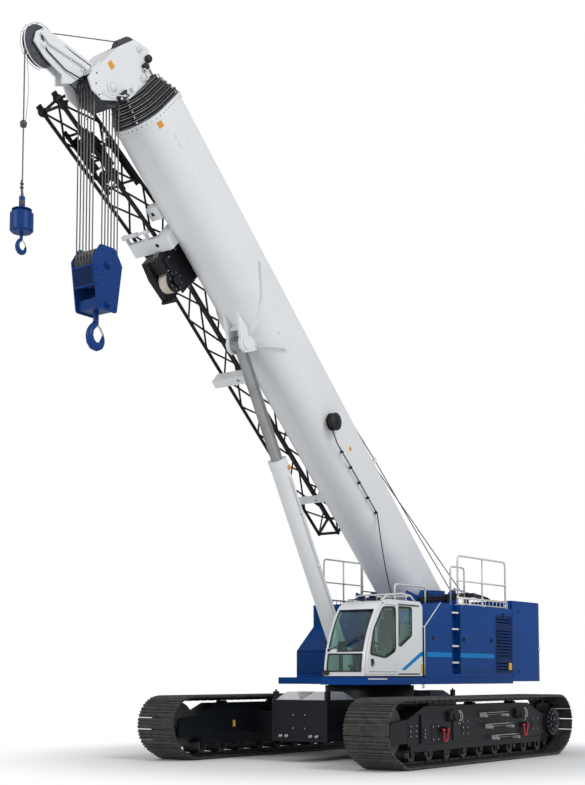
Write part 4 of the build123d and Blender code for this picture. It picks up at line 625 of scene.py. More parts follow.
def build_track(side, name):
    """A whole track on one side; returns how many shoes it has."""
    shoes, links, pins = Shape(), Shape(), Shape()
    stations = track_stations()
    middle = side * TRACK_Y
    for (x0, z0), (x1, z1) in zip(stations, stations[1:] + stations[:1]):
        length = math.hypot(x1 - x0, z1 - z0)
        tx, tz = (x1 - x0) / length, (z1 - z0) / length

        def at(along, out):
            return TRACK_MIDDLE_X + x0 + tx * along - tz * out, z0 + tz * along + tx * out
        shoes.plate([at(a, h) for a, h in shoe_outline(length)], middle - SHOE_HALF, middle + SHOE_HALF)
        for row in (-LINK_ROW, LINK_ROW):
            link = [at(a, h) for a, h in link_outline(length)]
            links.plate(link, middle + row - LINK_HALF, middle + row + LINK_HALF)
            for along in (-SHOE_BOLT_SPREAD, SHOE_BOLT_SPREAD):
                x, z = at(length / 2 + along, SHOE_THICKNESS)
                bolt(pins, (x, middle + row * 0.55, z), (-tz, 0, tx), 0.011, 0.014)
        x, z = at(0.0, -PIN_DEPTH)
        links.turned([(-PIN_HALF, PIN_RADIUS), (PIN_HALF, PIN_RADIUS)], (x, middle, z), (0, 1, 0), sides=10)
    dressed = shoes.piece(name + "_shoes", "shoe_steel", "undercarriage", "shoe_steel")
    links.piece(name + "_links", "chain_steel", "undercarriage", "frame_black")
    pins.piece(name + "_bolts", "shoe_steel", "undercarriage", "shoe_steel")
    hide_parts(name)
    return len(stations)


metal("chain_steel", (0.014, 0.015, 0.017), (0.05, 0.05, 0.052), 0.42, 0.5, (14.0, 200.0), 0.0008)
for side, name in ((1, "left"), (-1, "right")):
    count = build_track(side, "track_" + name)
print("shoes on a track:", count)

# %% [markdown]
# The crawler frames carry bolted covers, hose brackets, steps and towing shackles on their outer sides, and
# the final drive shows as a ring of bolts round its stepped cover. All of it is small plates, bolts and bent
# bars, built once for a side and mirrored.

# %% Crawler frames' fittings
FRAME_SIDE = 2.60
DRIVE_AXLE = (-2.912, 0.675)            # x, z
DRIVE_BOLTS = ((16, 0.0, 0.262, 0.066, 0.012, 0.014), (10, math.tau / 20, 0.19, 0.101, 0.010, 0.012),
               (3, 0.4, 0.10, 0.126, 0.014, 0.016))    # count, first turn, ring, out, radius, height
COVERS = ((2.47, 2.72, 0.53, 0.77, 3, 2, 0.03), (2.14, 2.27, 0.47, 0.72, 3, 1, 0.06),
          (1.70, 1.95, 0.45, 0.74, 2, 2, 0.03), (0.62, 0.86, 0.52, 0.80, 3, 2, 0.03),
          (-2.30, -2.02, 0.52, 0.78, 2, 2, 0.03))      # x0, x1, z0, z1, rows, columns, inset of the bolts
COVER_CUT, COVER_THICK = 0.02, 0.008
BRACKET_XS = (1.26, -1.40)


def cover(shape, bolts, x0, x1, z0, z1, rows, columns, inset):
    """A flat cover with cut corners on the frame's side, bolted near its edges."""
    c, face = COVER_CUT, FRAME_SIDE + COVER_THICK
    outline = [(x0 + c, z0), (x1 - c, z0), (x1, z0 + c), (x1, z1 - c),
               (x1 - c, z1), (x0 + c, z1), (x0, z1 - c), (x0, z0 + c)]
    shape.plate(outline, FRAME_SIDE, face)
    for i in range(columns):
        for j in range(rows):
            x = x0 + inset + (x1 - x0 - 2 * inset) * i / max(1, columns - 1)
            z = z0 + inset + (z1 - z0 - 2 * inset) * j / max(1, rows - 1)
            bolt(bolts, (x, face, z), (0, 1, 0), 0.013, 0.012)


def bracket(x, plates, bolts, hoses, bright):
    """A plate with two valve blocks, the three hoses that loop over it and two pipes behind it."""
    y = FRAME_SIDE
    outline = [(x - 0.19, 0.80), (x + 0.16, 0.80), (x + 0.16, 0.98), (x - 0.10, 1.02), (x - 0.19, 0.96)]
    plates.plate(outline, y, y + 0.012)
    plates.box((x - 0.10, y + 0.01, 0.84), (x - 0.03, y + 0.07, 0.94))
    plates.box((x + 0.06, y + 0.01, 0.82), (x + 0.11, y + 0.06, 0.92))
    for shift, lift in ((0.0, 0.0), (0.055, 0.018), (0.11, -0.01)):
        loop = ((-0.13, 0.02, 0.79), (-0.10, 0.07, 0.93 + lift), (-0.02, 0.08, 0.98 + lift),
                (0.05, 0.06, 0.90), (0.03, 0.02, 0.78))
        hoses.tube(rounded([(x + a + shift, y + b, z) for a, b, z in loop], 0.05), 0.012, 8)
    for shift in (-0.36, -0.29):
        pipe = ((0.05, 0.012, 0.99), (0.0, 0.03, 0.93), (-0.03, 0.03, 0.84), (0.01, 0.012, 0.78))
        bright.tube(rounded([(x + shift + a, y + b, z) for a, b, z in pipe], 0.03), 0.008, 8)
        bolt(bolts, (x + shift + 0.02, y, 0.74), (0, 1, 0), 0.014, 0.014)


for side, name in ((1, "left"), (-1, "right")):
    plates, bolts, hoses, bright = (Shape(to_side(side)) for _ in range(4))
    y = FRAME_SIDE
    for place_and_bolts in COVERS:
        cover(plates, bolts, *place_and_bolts)
    plates.box((2.33, y - 0.002, 0.42), (2.36, y + 0.03, 0.93))
    plates.box((1.20, y - 0.002, 0.44), (1.22, y + 0.022, 1.02))
    for x in BRACKET_XS:
        bracket(x, plates, bolts, hoses, bright)
    for count, start, ring, out, radius, height in DRIVE_BOLTS:
        centre = (DRIVE_AXLE[0], y + out, DRIVE_AXLE[1])
        bolt_circle(bolts, centre, (0, 1, 0), ring, count, start, radius, height)
    plates.piece("crawler_covers_" + name, "frame_black", "undercarriage", "frame_black", bevel=0.003)
    bolts.piece("crawler_bolts_" + name, "bolt_steel", "undercarriage", "frame_black")
    hoses.piece("crawler_hoses_" + name, "rubber", "undercarriage", "frame_black")
    bright.piece("crawler_pipes_" + name, "bright_steel", "undercarriage", "galvanised")

# %% [markdown]
# Under the frame the rollers run between the skirt's tabs. Each has a cap with three bolts at its end, and
# between them the chain shows its bosses. Steps are folded from perforated plate, so their treads get rows of
# raised holes, and the shackles are round forgings, so they are tubes along a bow with thicker ears.

# %% Rollers, steps and shackles
ROLLER_COUNT, ROLLER_REACH = 9, 2.715
ROLLER_AXLE_Z, ROLLER_FACE = 0.238, 0.228
STEP_PLACES = ((-0.275, 0.92), (-0.49, 0.70), (-0.74, 0.48))       # x, top
GRIP_PITCH, GRIP_COLUMNS = 0.065, 13
SHACKLE_PLACES = ((1.56, 0.64), (-1.63, 0.64))                     # x, z
EAR_REACH = 0.075
BOW = ((-0.075, 0.0, 0.02), (-0.078, -0.05, 0.019), (-0.060, -0.10, 0.017), (-0.068, -0.145, 0.017),
       (-0.045, -0.19, 0.018), (0.0, -0.206, 0.019), (0.045, -0.19, 0.018), (0.068, -0.145, 0.017),
       (0.060, -0.10, 0.017), (0.078, -0.05, 0.019), (0.075, 0.0, 0.02))     # x, z, radius of the bar


def shackle(shape, x, y, z):
    """A forged bow with an ear at each end, and the pin across them."""
    line, last = rounded([(x + a, y, z + b) for a, b, _ in BOW], 0.02, 2), len(BOW) - 1
    shape.tube(line, [BOW[min(last, round(i * last / (len(line) - 1)))][2] for i in range(len(line))], 12)
    for end in (-1, 1):
        sleeve(shape, (x + end * EAR_REACH, y, z), (1, 0, 0), 0.021, 0.034, 0.002, 0.014, 20)
    shape.turned([(-0.108, 0.0), (-0.106, 0.024), (-0.096, 0.026), (-0.094, 0.018), (0.094, 0.018),
                  (0.096, 0.03), (0.112, 0.028), (0.114, 0.0)], (x, y, z), (1, 0, 0), 16)


roller_xs = [TRACK_MIDDLE_X + ROLLER_REACH * (2 * i / (ROLLER_COUNT - 1) - 1) for i in range(ROLLER_COUNT)]
for side, name in ((1, "left"), (-1, "right")):
    caps, treads, red = (Shape(to_side(side)) for _ in range(3))
    for x in roller_xs:
        for way in (1, -1):
            face = TRACK_Y + way * ROLLER_FACE
            cap = [(-0.004, 0.055), (0.010, 0.055), (0.016, 0.045), (0.016, 0.0)]
            caps.turned(cap, (x, face, ROLLER_AXLE_Z), (0, way, 0), 16)
            centre = (x, face + way * 0.014, ROLLER_AXLE_Z)
            bolt_circle(caps, centre, (0, way, 0), 0.032, 3, 0.5, 0.007, 0.008)
    for x, top in STEP_PLACES:
        for i in range(GRIP_COLUMNS):
            for j in range(2):
                at = (x - 0.39 + GRIP_PITCH * i, FRAME_SIDE + 0.05 + GRIP_PITCH * j, top)
                grip = [(-0.002, 0.022), (0.004, 0.018), (0.004, 0.012), (-0.002, 0.010)]
                treads.turned(grip, at, (0, 0, 1), 10)
        treads.box((x - 0.435, FRAME_SIDE + 0.150, top - 0.034), (x + 0.435, FRAME_SIDE + 0.165, top + 0.003))
    for x, z in SHACKLE_PLACES:
        shackle(red, x, FRAME_SIDE + 0.06, z)
    caps.piece("roller_caps_" + name, "chain_steel", "undercarriage", "frame_black")
    treads.piece("step_grips_" + name, "galvanised", "undercarriage", "galvanised")
    forged = red.piece("shackles_" + name, "red_paint", "undercarriage", "red_paint")
    if side > 0:
        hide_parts("shackles")
print("rollers on a side:", len(roller_xs))

# %% [markdown]
# The carbody joins the two crawlers and carries the slewing ring. What shows of it is the weights with their
# chequer-plate tops, a ring of bolts under the deck, hoses that cross to the travel motors, and the couplings
# low on the front weight. Chequer plate is real geometry here: short lens-shaped ribs in alternating slants.

# %% Carbody fittings
WEIGHT_TOP, WEIGHT_FACE, WEIGHT_HALF = 1.165, 2.42, 0.645
STEP_RISE, STEP_LEAN = 0.15, 0.16       # height of the tread covers, and how far their sides lean in
SHEET = 0.008
COUPLING = ((0.0, 0.034), (0.03, 0.034), (0.034, 0.026), (0.075, 0.026), (0.08, 0.02), (0.08, 0.0))
RING_BOLTS, RING_RADIUS, RING_Z = 48, 0.865, 1.13


def chequer(shape, x0, x1, y0, y1, z, pitch=0.055, length=0.034, width=0.009, height=0.004):
    """Rows of raised lens-shaped ribs, each turned across the next."""
    columns, rows = int((x1 - x0) / pitch), int((y1 - y0) / pitch)
    for i in range(columns):
        for j in range(rows):
            x = x0 + (x1 - x0) * (i + 0.5) / columns
            y = y0 + (y1 - y0) * (j + 0.5) / rows
            turn = math.radians(45 if (i + j) % 2 else -45)
            c, s = math.cos(turn) * length / 2, math.sin(turn) * length / 2
            across = Vector((-s, c, 0)) * (width / length)
            rim = [(x - c, y - s, z), (x + across.x, y + across.y, z), (x + c, y + s, z),
                   (x - across.x, y - across.y, z)]
            shape.add(rim + [(x, y, z + height)], [(0, 1, 4), (1, 2, 4), (2, 3, 4), (3, 0, 4), (3, 2, 1, 0)])


walk, fittings, dark, piping = Shape(), Shape(), Shape(), Shape()
for way in (1, -1):
    for y0, y1 in ((-WEIGHT_HALF + 0.03, -0.012), (0.012, WEIGHT_HALF - 0.03)):
        for x0, x1 in ((1.30, 1.93), (2.07, WEIGHT_FACE - 0.03)):
            a, b = sorted((way * x0, way * x1))
            walk.box((a, y0, WEIGHT_TOP), (b, y1, WEIGHT_TOP + SHEET))
            chequer(walk, a + 0.015, b - 0.015, y0 + 0.015, y1 - 0.015, WEIGHT_TOP + SHEET)
    for y0, y1 in ((-WEIGHT_HALF + 0.04, -0.03), (0.03, WEIGHT_HALF - 0.04)):
        x0, x1 = sorted((way * 1.45, way * (WEIGHT_FACE - 0.06)))
        low, top, lean = WEIGHT_TOP + 0.004, WEIGHT_TOP + STEP_RISE, STEP_LEAN
        base = [(x, y, low) for x, y in rectangle(x0, x1, y0, y1)]
        tread = [(x, y, top) for x, y in rectangle(x0 + lean, x1 - lean, y0 + lean, y1 - lean)]
        walk.rings([base, tread], smooth=False)
        chequer(walk, x0 + lean + 0.01, x1 - lean - 0.01, y0 + lean + 0.01, y1 - lean - 0.01, top)
    face = way * WEIGHT_FACE
    for y in (-0.42, -0.28, 0.28, 0.42):
        fittings.turned(COUPLING, (face - way * 0.014, y, 0.49), (way, 0, 0), 16)
    for y in (-0.135, 0.135):
        for z in (0.635, 0.885):
            bolt(fittings, (face - way * 0.002, y, z), (way, 0, 0), 0.012, 0.012)
    for y in (-0.60, 0.60):
        a, b = sorted((way * 2.28, way * 2.40))
        dark.box((a, y - 0.03, WEIGHT_TOP - 0.002), (b, y + 0.03, WEIGHT_TOP + 0.16))
        post = [(way * 2.34, y, WEIGHT_TOP + rise) for rise in (0.15, 0.20)]
        dark.tube(post, [0.022, 0.014], 12)
    for y in (-1.12, -0.98, 0.98, 1.12):
        run = [(way * 0.70, y * 0.86, 0.96), (way * 0.86, y, 0.965), (way * 0.86, y * 1.45, 0.945),
               (way * 0.80, y * 1.72, 0.93)]
        piping.tube(rounded(run, 0.08), 0.022, 10)
bolt_circle(fittings, (0.0, 0.0, RING_Z), (0, 0, 1), RING_RADIUS, RING_BOLTS, 0.0, 0.014, 0.02)
walk.piece("chequer_plates", "bright_coat", "undercarriage", "galvanised")
fittings.piece("carbody_fittings", "bolt_steel", "undercarriage", "frame_black")
dark.piece("weight_posts", "black_paint", "undercarriage", "frame_black", bevel=0.004)
piping.piece("travel_hoses", "rubber", "undercarriage", "frame_black")

# %% [markdown]
# Window seals, label edges and door gaps are all frames that follow an outline. One helper moves an outline's
# edges inwards by a distance, another rounds its corners, and a third joins two such outlines to a flat
# frame. An offset curve would do the same, but then each frame would need its own curve object.

# %% Frames along an outline
def inset(outline, distance):
    """The outline with every edge moved inwards; a negative distance moves it outwards."""
    area = sum(a[0] * b[1] - b[0] * a[1] for a, b in zip(outline, outline[1:] + outline[:1]))
    distance = distance if area > 0 else -distance
    moved = []
    count = len(outline)
    for i in range(count):
        before, here, after = (Vector((*outline[(i + k) % count], 0.0)) for k in (-1, 0, 1))
        back, ahead = (here - before).normalized(), (after - here).normalized()
        side = Vector((-back.y - ahead.y, back.x + ahead.x, 0.0)).normalized()
        share = side.dot(Vector((-ahead.y, ahead.x, 0.0)))
        point = here + side * (distance / max(share, 0.3))
        moved.append((point.x, point.y))
    return moved


def soft_corners(outline, radius, steps=4):
    """A closed outline with its corners bent to a radius."""
    points = [Vector((a, b, 0.0)) for a, b in outline]
    bent = []
    for i, corner in enumerate(points):
        back, ahead = points[i - 1] - corner, points[(i + 1) % len(points)] - corner
        reach = min(radius, 0.45 * back.length, 0.45 * ahead.length)
        a, b = corner + back.normalized() * reach, corner + ahead.normalized() * reach
        for step in range(steps + 1):
            t = step / steps
            point = a * (1 - t) ** 2 + corner * 2 * t * (1 - t) + b * t ** 2
            bent.append((point.x, point.y))
    return bent


def frame_round(shape, outline, width, low, high, radius=0.04, axis="y"):
    """A flat frame of one width along an outline, between two depths."""
    outer = soft_corners(outline, radius)
    inner = soft_corners(inset(outline, width), max(radius - width, 0.006))
    loops = [[lifted(pair, depth, axis) for pair in edge]
             for edge, depth in ((outer, low), (outer, high), (inner, high), (inner, low))]
    shape.rings(loops + loops[:1], smooth=False, ends=False)


print("frame of a unit square:", inset([(0, 0), (1, 0), (1, 1), (0, 1)], 0.1))

# %% [markdown]
# The machinery housings are blue sheet metal. Their doors show as shallow pressed panels with a dark gap
# round each, with a latch and hinges. The light stripe is a film, so it is a plate a millimetre and a half
# thick. The places where the real machine carries its maker's words stay bare paint.

# %% Left housing
LEFT_SIDE = 1.64
PROUD, SUNK = 0.0016, 0.001             # how far thin trim stands out of a sheet, and how far it goes in
DOORS_LEFT = ((-2.28, -0.86, 1.70, 2.95), (-3.10, -2.40, 1.66, 2.93))        # x0, x1, z0, z1
DOOR_GAP = 0.007
SEAMS = ((-0.41, 2.99), (-0.87, 2.99), (0.42, 2.60))                         # x, top
LATCHES = ((-0.98, 2.35), (-2.16, 2.35), (-2.49, 2.35), (-2.69, 2.90))       # x, z
STRIPES = ((-0.49, 0.48), (-2.27, -0.84))                                    # x0, x1
STRIPE_LOW, STRIPE_HIGH, FILM = 1.985, 2.075, 0.0015
GRILLES = ((-3.07, -2.38, 2.68, 2.88), (-3.07, -2.38, 1.975, 2.635), (-3.07, -2.38, 1.70, 1.93))
SLAT_PITCH = 0.022
SLAT = ((-0.012, -0.006), (0.0055, 0.001), (0.0055, 0.005), (-0.012, -0.002))    # out, up

trim, gaps, films, latches, louvres_painted_shade = (Shape() for _ in range(5))
for x0, x1, z0, z1 in DOORS_LEFT:
    frame_round(gaps, rectangle(x0, x1, z0, z1), DOOR_GAP, LEFT_SIDE - SUNK, LEFT_SIDE + PROUD, 0.03)
for z in (2.655, 1.955):
    gaps.box((-3.09, LEFT_SIDE - SUNK, z - 0.004), (-2.41, LEFT_SIDE + PROUD, z + 0.004))
for x, top in SEAMS:
    gaps.box((x - 0.003, LEFT_SIDE - SUNK, 1.62), (x + 0.003, LEFT_SIDE + 0.001, top))
for x, z in LATCHES:
    outline = soft_corners(rectangle(x - 0.035, x + 0.035, z - 0.05, z + 0.05), 0.02)
    latches.plate(outline, LEFT_SIDE - 0.002, LEFT_SIDE + 0.006)
    lever = [(x, LEFT_SIDE + out, z + up) for out, up in ((0.010, -0.035), (0.022, 0.0), (0.010, 0.035))]
    latches.tube(lever, 0.008, 8)
for x0, x1 in STRIPES:
    films.box((x0, LEFT_SIDE - SUNK, STRIPE_LOW), (x1, LEFT_SIDE + FILM, STRIPE_HIGH))
boss(latches, (0.226, LEFT_SIDE, 2.352), (0, 1, 0), 0.045, 0.010, 0.004, 0.009, sides=24)
# The louvre slats and the frame round each grille take a darker blue, painted shade between the slats.
for x0, x1, z0, z1 in GRILLES:
    count = round((z1 - z0) / SLAT_PITCH)
    for i in range(count):
        z = z0 + (z1 - z0) * (i + 0.5) / count
        louvres_painted_shade.plate([(LEFT_SIDE + out, z + up) for out, up in SLAT], x0, x1, "x")
    edge = rectangle(x0 - 0.012, x1 + 0.012, z0 - 0.012, z1 + 0.012)
    frame_round(louvres_painted_shade, edge, 0.018, LEFT_SIDE - 0.002, LEFT_SIDE + 0.007, 0.02)
trim.tube([(0.548, 1.632, 1.62), (0.548, 1.632, 2.565), (-0.068, 1.632, 3.052)], 0.011, 6)
trim.tube([(0.548, 1.632, 2.565), (0.548, 0.75, 2.565)], 0.009, 6)
for x in (-0.50, -0.83):
    gaps.box((x - 0.006, LEFT_SIDE - SUNK, 1.70), (x + 0.006, LEFT_SIDE + 0.002, 2.98))
trim.piece("housing_edge", "white_paint", "upper", "white_paint")
gaps.piece("housing_gaps", "black_paint", "upper", "black_paint")
films.piece("housing_stripe", "stripe_blue", "upper", "blue_paint")
latches.piece("housing_latches", "black_paint", "upper", "black_paint", bevel=0.001)
louvres_painted_shade.piece("housing_louvres", "painted_shade_blue", "upper", "blue_paint")

# %% [markdown]
# The right housing starts with an intake: two sloping panels of perforated sheet. The holes are staggered, as
# the punch makes them. Each is a six-sided hole in its own cell of the sheet, so one loop over rows and
# columns makes the whole panel as clean geometry, where a boolean with hundreds of cylinders would be slow
# and untidy.

# %% Perforated intake
HOLE_TURNS = (225, 270, 315, 45, 90, 135)       # one corner of the hole for each point round its cell
INTAKE_Y = (-1.56, -0.76)
INTAKE_WIDE = (0.0, INTAKE_Y[0] - INTAKE_Y[1], 0.0)
INTAKE_COLUMNS, INTAKE_HOLE, INTAKE_SHEET = 16, 0.38, 0.003
FRONT_X, BACK_X = 0.350, -0.267
RIM_LINE = ((0.346, 1.69), (0.346, 2.14), (-0.272, 2.665), (-0.272, 3.06))       # x, z


def perforated(shape, corner, along, up, columns, rows, thick, hole):
    """Sheet with staggered six-sided holes.

    Corner, along and up give its place, columns and rows its cells.
    """
    corner, along, up = Vector(corner), Vector(along), Vector(up)
    normal = along.cross(up).normalized() * thick
    step, rise = along / columns, up / rows
    square = [(0, 0), (0.5, 0), (1, 0), (1, 1), (0.5, 1), (0, 1)]
    turns = [math.radians(turn) for turn in HOLE_TURNS]
    ring = [(0.5 + hole * math.cos(t), 0.5 + hole * math.sin(t)) for t in turns]
    for j in range(rows):
        shift = 0.5 if j % 2 else 0.0
        for i in range(columns - (1 if shift else 0)):
            base = corner + step * (i + shift) + rise * j
            outer = [base + step * a + rise * b for a, b in square]
            inner = [base + step * a + rise * b for a, b in ring]
            shape.rings([outer, inner, [p - normal for p in inner]], smooth=False, ends=False)


slope = Vector((-0.292 - FRONT_X, 0.0, 2.66 - 2.14))
low_edge = Vector((FRONT_X, INTAKE_Y[1], 2.14)) + Vector((slope.z, 0, -slope.x)).normalized() * 0.006
sheet, rims = Shape(), Shape()
for corner, up, rows in (((FRONT_X, INTAKE_Y[1], 1.70), (0.0, 0.0, 0.42), 9), (low_edge, slope, 17),
                         ((BACK_X, INTAKE_Y[1], 2.70), (0.0, 0.0, 0.34), 7)):
    perforated(sheet, corner, INTAKE_WIDE, up, INTAKE_COLUMNS, rows, INTAKE_SHEET, INTAKE_HOLE)
for y in INTAKE_Y:
    rims.tube([(x, y, z) for x, z in RIM_LINE], 0.012, 6)
for x, z in RIM_LINE:
    rims.tube([(x, y, z) for y in INTAKE_Y], 0.012, 6)
sheet.piece("intake_sheet", "blue_paint", "upper", "blue_paint")
rims.piece("intake_rims", "blue_paint", "upper", "blue_paint")

# %% [markdown]
# Labels are left without words: plain film in the photographed colour and size. Bolts hold the
# counterweight's lug and covers, and its cast slab shows a parting line and lifting holes.

# %% Labels, right side and counterweight
RIGHT_SIDE = -1.60
DOORS_RIGHT = ((-1.55, -0.40, 1.70, 2.95), (-3.05, -1.65, 1.70, 2.95))       # x0, x1, z0, z1
tail_low, tail_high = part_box("counterweight")

yellow, tail_rings, seams, fixings = (Shape() for _ in range(4))
yellow.box((0.575, 1.601, 1.65), (0.635, 1.6025, 1.84))
yellow.box((-3.06, LEFT_SIDE - SUNK, 1.745), (-2.93, LEFT_SIDE + 0.009, 1.895))
yellow.box((1.63, -2.1805, 0.60), (1.71, -2.1785, 0.73))
for x0, x1, z0, z1 in DOORS_RIGHT:
    frame_round(seams, rectangle(x0, x1, z0, z1), DOOR_GAP, RIGHT_SIDE - PROUD, RIGHT_SIDE + SUNK, 0.03)
    for x in (x0 + 0.12, x1 - 0.12):
        boss(fixings, (x, RIGHT_SIDE, 2.30), (0, -1, 0), 0.03, 0.012, 0.004, 0.010, sides=18)
for side, y in ((1, tail_high[1]), (-1, tail_low[1])):
    ring = [(-0.004, 0.045), (0.004, 0.045), (0.007, 0.036), (0.004, 0.022), (0.004, 0.0)]
    tail_rings.turned(ring, (-4.42, y, 2.22), (0, side, 0), 24)
    for z in (1.72, 3.02):
        hole = [(-0.004, 0.05), (0.004, 0.05), (0.006, 0.03), (-0.03, 0.03), (-0.03, 0.0)]
        fixings.turned(hole, (-3.40, y, z), (0, side, 0), 20)
    a, b = sorted((y - side * 0.002, y + side * 0.0015))
    seams.box((-3.137, a, 1.60), (-3.130, b, 3.04))
yellow.piece("labels_yellow", "label_yellow", "upper", "white_paint")
seams.piece("door_seams", "black_paint", "upper", "black_paint")
fixings.piece("housing_fixings", "black_paint", "upper", "black_paint")
tail_rings.piece("tail_rings", "bright_coat", "upper", "galvanised")
print("counterweight from", [round(v, 2) for v in tail_low], "to", [round(v, 2) for v in tail_high])

# %% [markdown]
# The cab is a white shell with a curved windscreen. Black rubber seals frame every pane, and they are what
# makes a cab read as one from far off. The windscreen's seals follow its curve, so they are round beads along
# a path on the circle through three of its points, and the flat side windows get frames along their outlines.

# %% Cab seals
CAB_SIDE, DOOR_FACE = 1.60, 1.640
SCREEN = ((2.62, 1.78), (2.474, 2.34), (2.15, 2.885))       # x, z on the front's curve
SCREEN_SIDES = (0.79, 1.53)
PANES = ((1.70, 2.01), (2.065, 2.83))                      # from and to, in height
DOOR_WINDOW = [(2.05, 2.88), (1.62, 2.90), (1.62, 2.08), (1.96, 1.95), (2.48, 2.01), (2.37, 2.45)]
REAR_WINDOW = [(1.46, 2.91), (0.98, 2.91), (0.98, 2.38), (1.38, 2.17), (1.46, 2.20)]
BEAD = 0.013


def circle_through(a, b, c):
    """Centre and radius of the circle through three points."""
    (ax, ay), (bx, by), (cx, cy) = a, b, c
    d = 2 * (ax * (by - cy) + bx * (cy - ay) + cx * (ay - by))
    a2, b2, c2 = ax**2 + ay**2, bx**2 + by**2, cx**2 + cy**2
    x = (a2 * (by - cy) + b2 * (cy - ay) + c2 * (ay - by)) / d
    y = (a2 * (cx - bx) + b2 * (ax - cx) + c2 * (bx - ax)) / d
    return x, y, math.hypot(ax - x, ay - y)


screen_x, screen_z, screen_radius = circle_through(*SCREEN)


def screen_at(z, out=0.0):
    """How far forward the windscreen stands at a height, with a little more or less."""
    if z < SCREEN[0][1]:
        return SCREEN[0][0] + out
    return screen_x + math.sqrt((screen_radius + out) ** 2 - (z - screen_z) ** 2)


seals, door_seals = Shape(), Shape()
for z0, z1 in PANES:
    heights = [z0 + (z1 - z0) * i / 12 for i in range(13)]
    for y in SCREEN_SIDES:
        seals.tube([(screen_at(z, 0.003), y, z) for z in heights], BEAD, 8)
    for z in (z0, z1):
        seals.tube([(screen_at(z, 0.003), y, z) for y in SCREEN_SIDES], BEAD, 8)
frame_round(seals, inset(REAR_WINDOW, -0.014), 0.034, CAB_SIDE - 0.004, CAB_SIDE + 0.008, 0.06)
frame_round(door_seals, inset(DOOR_WINDOW, -0.014), 0.036, DOOR_FACE - 0.004, DOOR_FACE + 0.008, 0.09)
for x in (1.48, 1.94):
    seals.tube([(x, 0.80, 3.042), (x, 1.52, 3.042)], 0.011, 8)
for y in (0.80, 1.52):
    seals.tube([(1.48, y, 3.042), (1.94, y, 3.004)], 0.011, 8)
seals.piece("cab_seals", "rubber", "upper", "black_paint")
door_seals.piece("door_seals_rubber", "rubber", "cab_door", "black_paint")
print("windscreen radius", round(screen_radius, 2))

# %% [markdown]
# The door slides back on a rail under its window line. It has a recessed handle, and the cab has a wiper, a
# cover for the wiper's motor, a bright rail round the roof and a lamp at each lower front corner.

# %% Cab fittings
WIPER = ((0.80, 2.085), (1.10, 2.20), (1.50, 2.36))                        # y, z
RAIL_LINE = ((1.93, 3.00), (1.66, 3.13), (1.17, 3.18), (0.84, 3.15), (0.66, 3.03))     # x, z
RAIL_SIDES = (0.84, 1.50)
CROSS_BARS = ((1.66, 3.13), (1.17, 3.178), (0.84, 3.148))                  # x, z
RAIL_POSTS = ((1.40, 3.155), (1.0, 3.165))                                 # x, top
LAMP_AT = (2.615, 0.79, 1.672)
LAMP_BODY = ((-0.03, 0.03), (0.0, 0.046), (0.05, 0.05), (0.056, 0.046), (0.056, 0.038), (0.046, 0.036))
CAB_STRIPE = [(1.363, 1.726), (0.64, 2.077), (0.574, 2.077), (0.574, 1.987), (0.645, 1.987), (1.20, 1.726)]

black, door_black, white, bright, lens, blue = (Shape() for _ in range(6))
black.tube([(screen_at(z, 0.035), y, z) for y, z in WIPER], [0.012, 0.009, 0.007], 8)
blade = [(1.12 + 0.42 * i / 6, 2.16 + 0.21 * i / 6) for i in range(7)]
black.tube([(screen_at(z, 0.016), y, z) for y, z in blade], 0.009, 6)
motor = [(-0.01, 0.03), (0.03, 0.03), (0.04, 0.02), (0.04, 0.0)]
black.turned(motor, (screen_at(2.085, 0.0), 0.80, 2.085), (1, 0, 0), 20)
motor_cover = soft_corners([(0.735, 2.03), (0.99, 2.03), (0.96, 2.10), (0.735, 2.125)], 0.02)
white.plate(motor_cover, screen_at(2.07, -0.03), screen_at(2.07, 0.02), "x")
handle = soft_corners([(2.36, 1.79), (2.44, 1.79), (2.46, 1.92), (2.38, 1.93)], 0.02)
door_black.plate(handle, DOOR_FACE - 0.002, DOOR_FACE + 0.012)
grip = ((2.385, 0.010, 1.80), (2.40, 0.038, 1.83), (2.42, 0.038, 1.89), (2.425, 0.010, 1.92))
door_black.tube([(x, DOOR_FACE + out, z) for x, out, z in grip], 0.009, 8)
black.box((0.73, CAB_SIDE - 0.002, 1.636), (1.57, CAB_SIDE + 0.028, 1.662))
black.box((0.72, CAB_SIDE - 0.002, 2.945), (2.02, CAB_SIDE + 0.02, 2.965))
for z, x0, x1 in ((1.69, 1.56, 2.53), (2.93, 1.56, 1.98)):
    door_black.box((x0, DOOR_FACE - SUNK, z - 0.004), (x1, DOOR_FACE + 0.002, z + 0.004))
for y in RAIL_SIDES:
    bright.tube(rounded([(x, y, z) for x, z in RAIL_LINE], 0.12), 0.016, 10)
for x, z in CROSS_BARS:
    bright.tube([(x, y, z) for y in RAIL_SIDES], 0.012, 8)
for y in RAIL_SIDES:
    for x, top in RAIL_POSTS:
        bright.tube([(x, y, 3.03), (x, y, top)], 0.010, 8)
black.turned(LAMP_BODY, LAMP_AT, (1, 0, 0), 24)
lens.turned([(0.044, 0.037), (0.052, 0.030), (0.055, 0.0)], LAMP_AT, (1, 0, 0), 24)
blue.plate(CAB_STRIPE, CAB_SIDE - SUNK, CAB_SIDE + FILM)
black.piece("cab_trim", "rubber", "upper", "black_paint")
door_black.piece("door_handle", "rubber", "cab_door", "black_paint")
white.piece("wiper_cover", "white_paint", "upper", "white_paint", bevel=0.004)
bright.piece("roof_rail", "bright_coat", "upper", "galvanised")
lens.piece("lamp_lenses", "lens", "upper", "glass")
blue.piece("cab_stripe", "stripe_blue", "upper", "blue_paint")

# %% [markdown]
# The seat shows through the door's glass. Its cushions are foam under stretched cloth: crowned in the middle,
# pulled in at the sides, with a sewn channel down each side. A cushion here is a superellipsoid whose grid of
# corners is pressed in along the seams, which needs no simulation and gives the same form on every run.

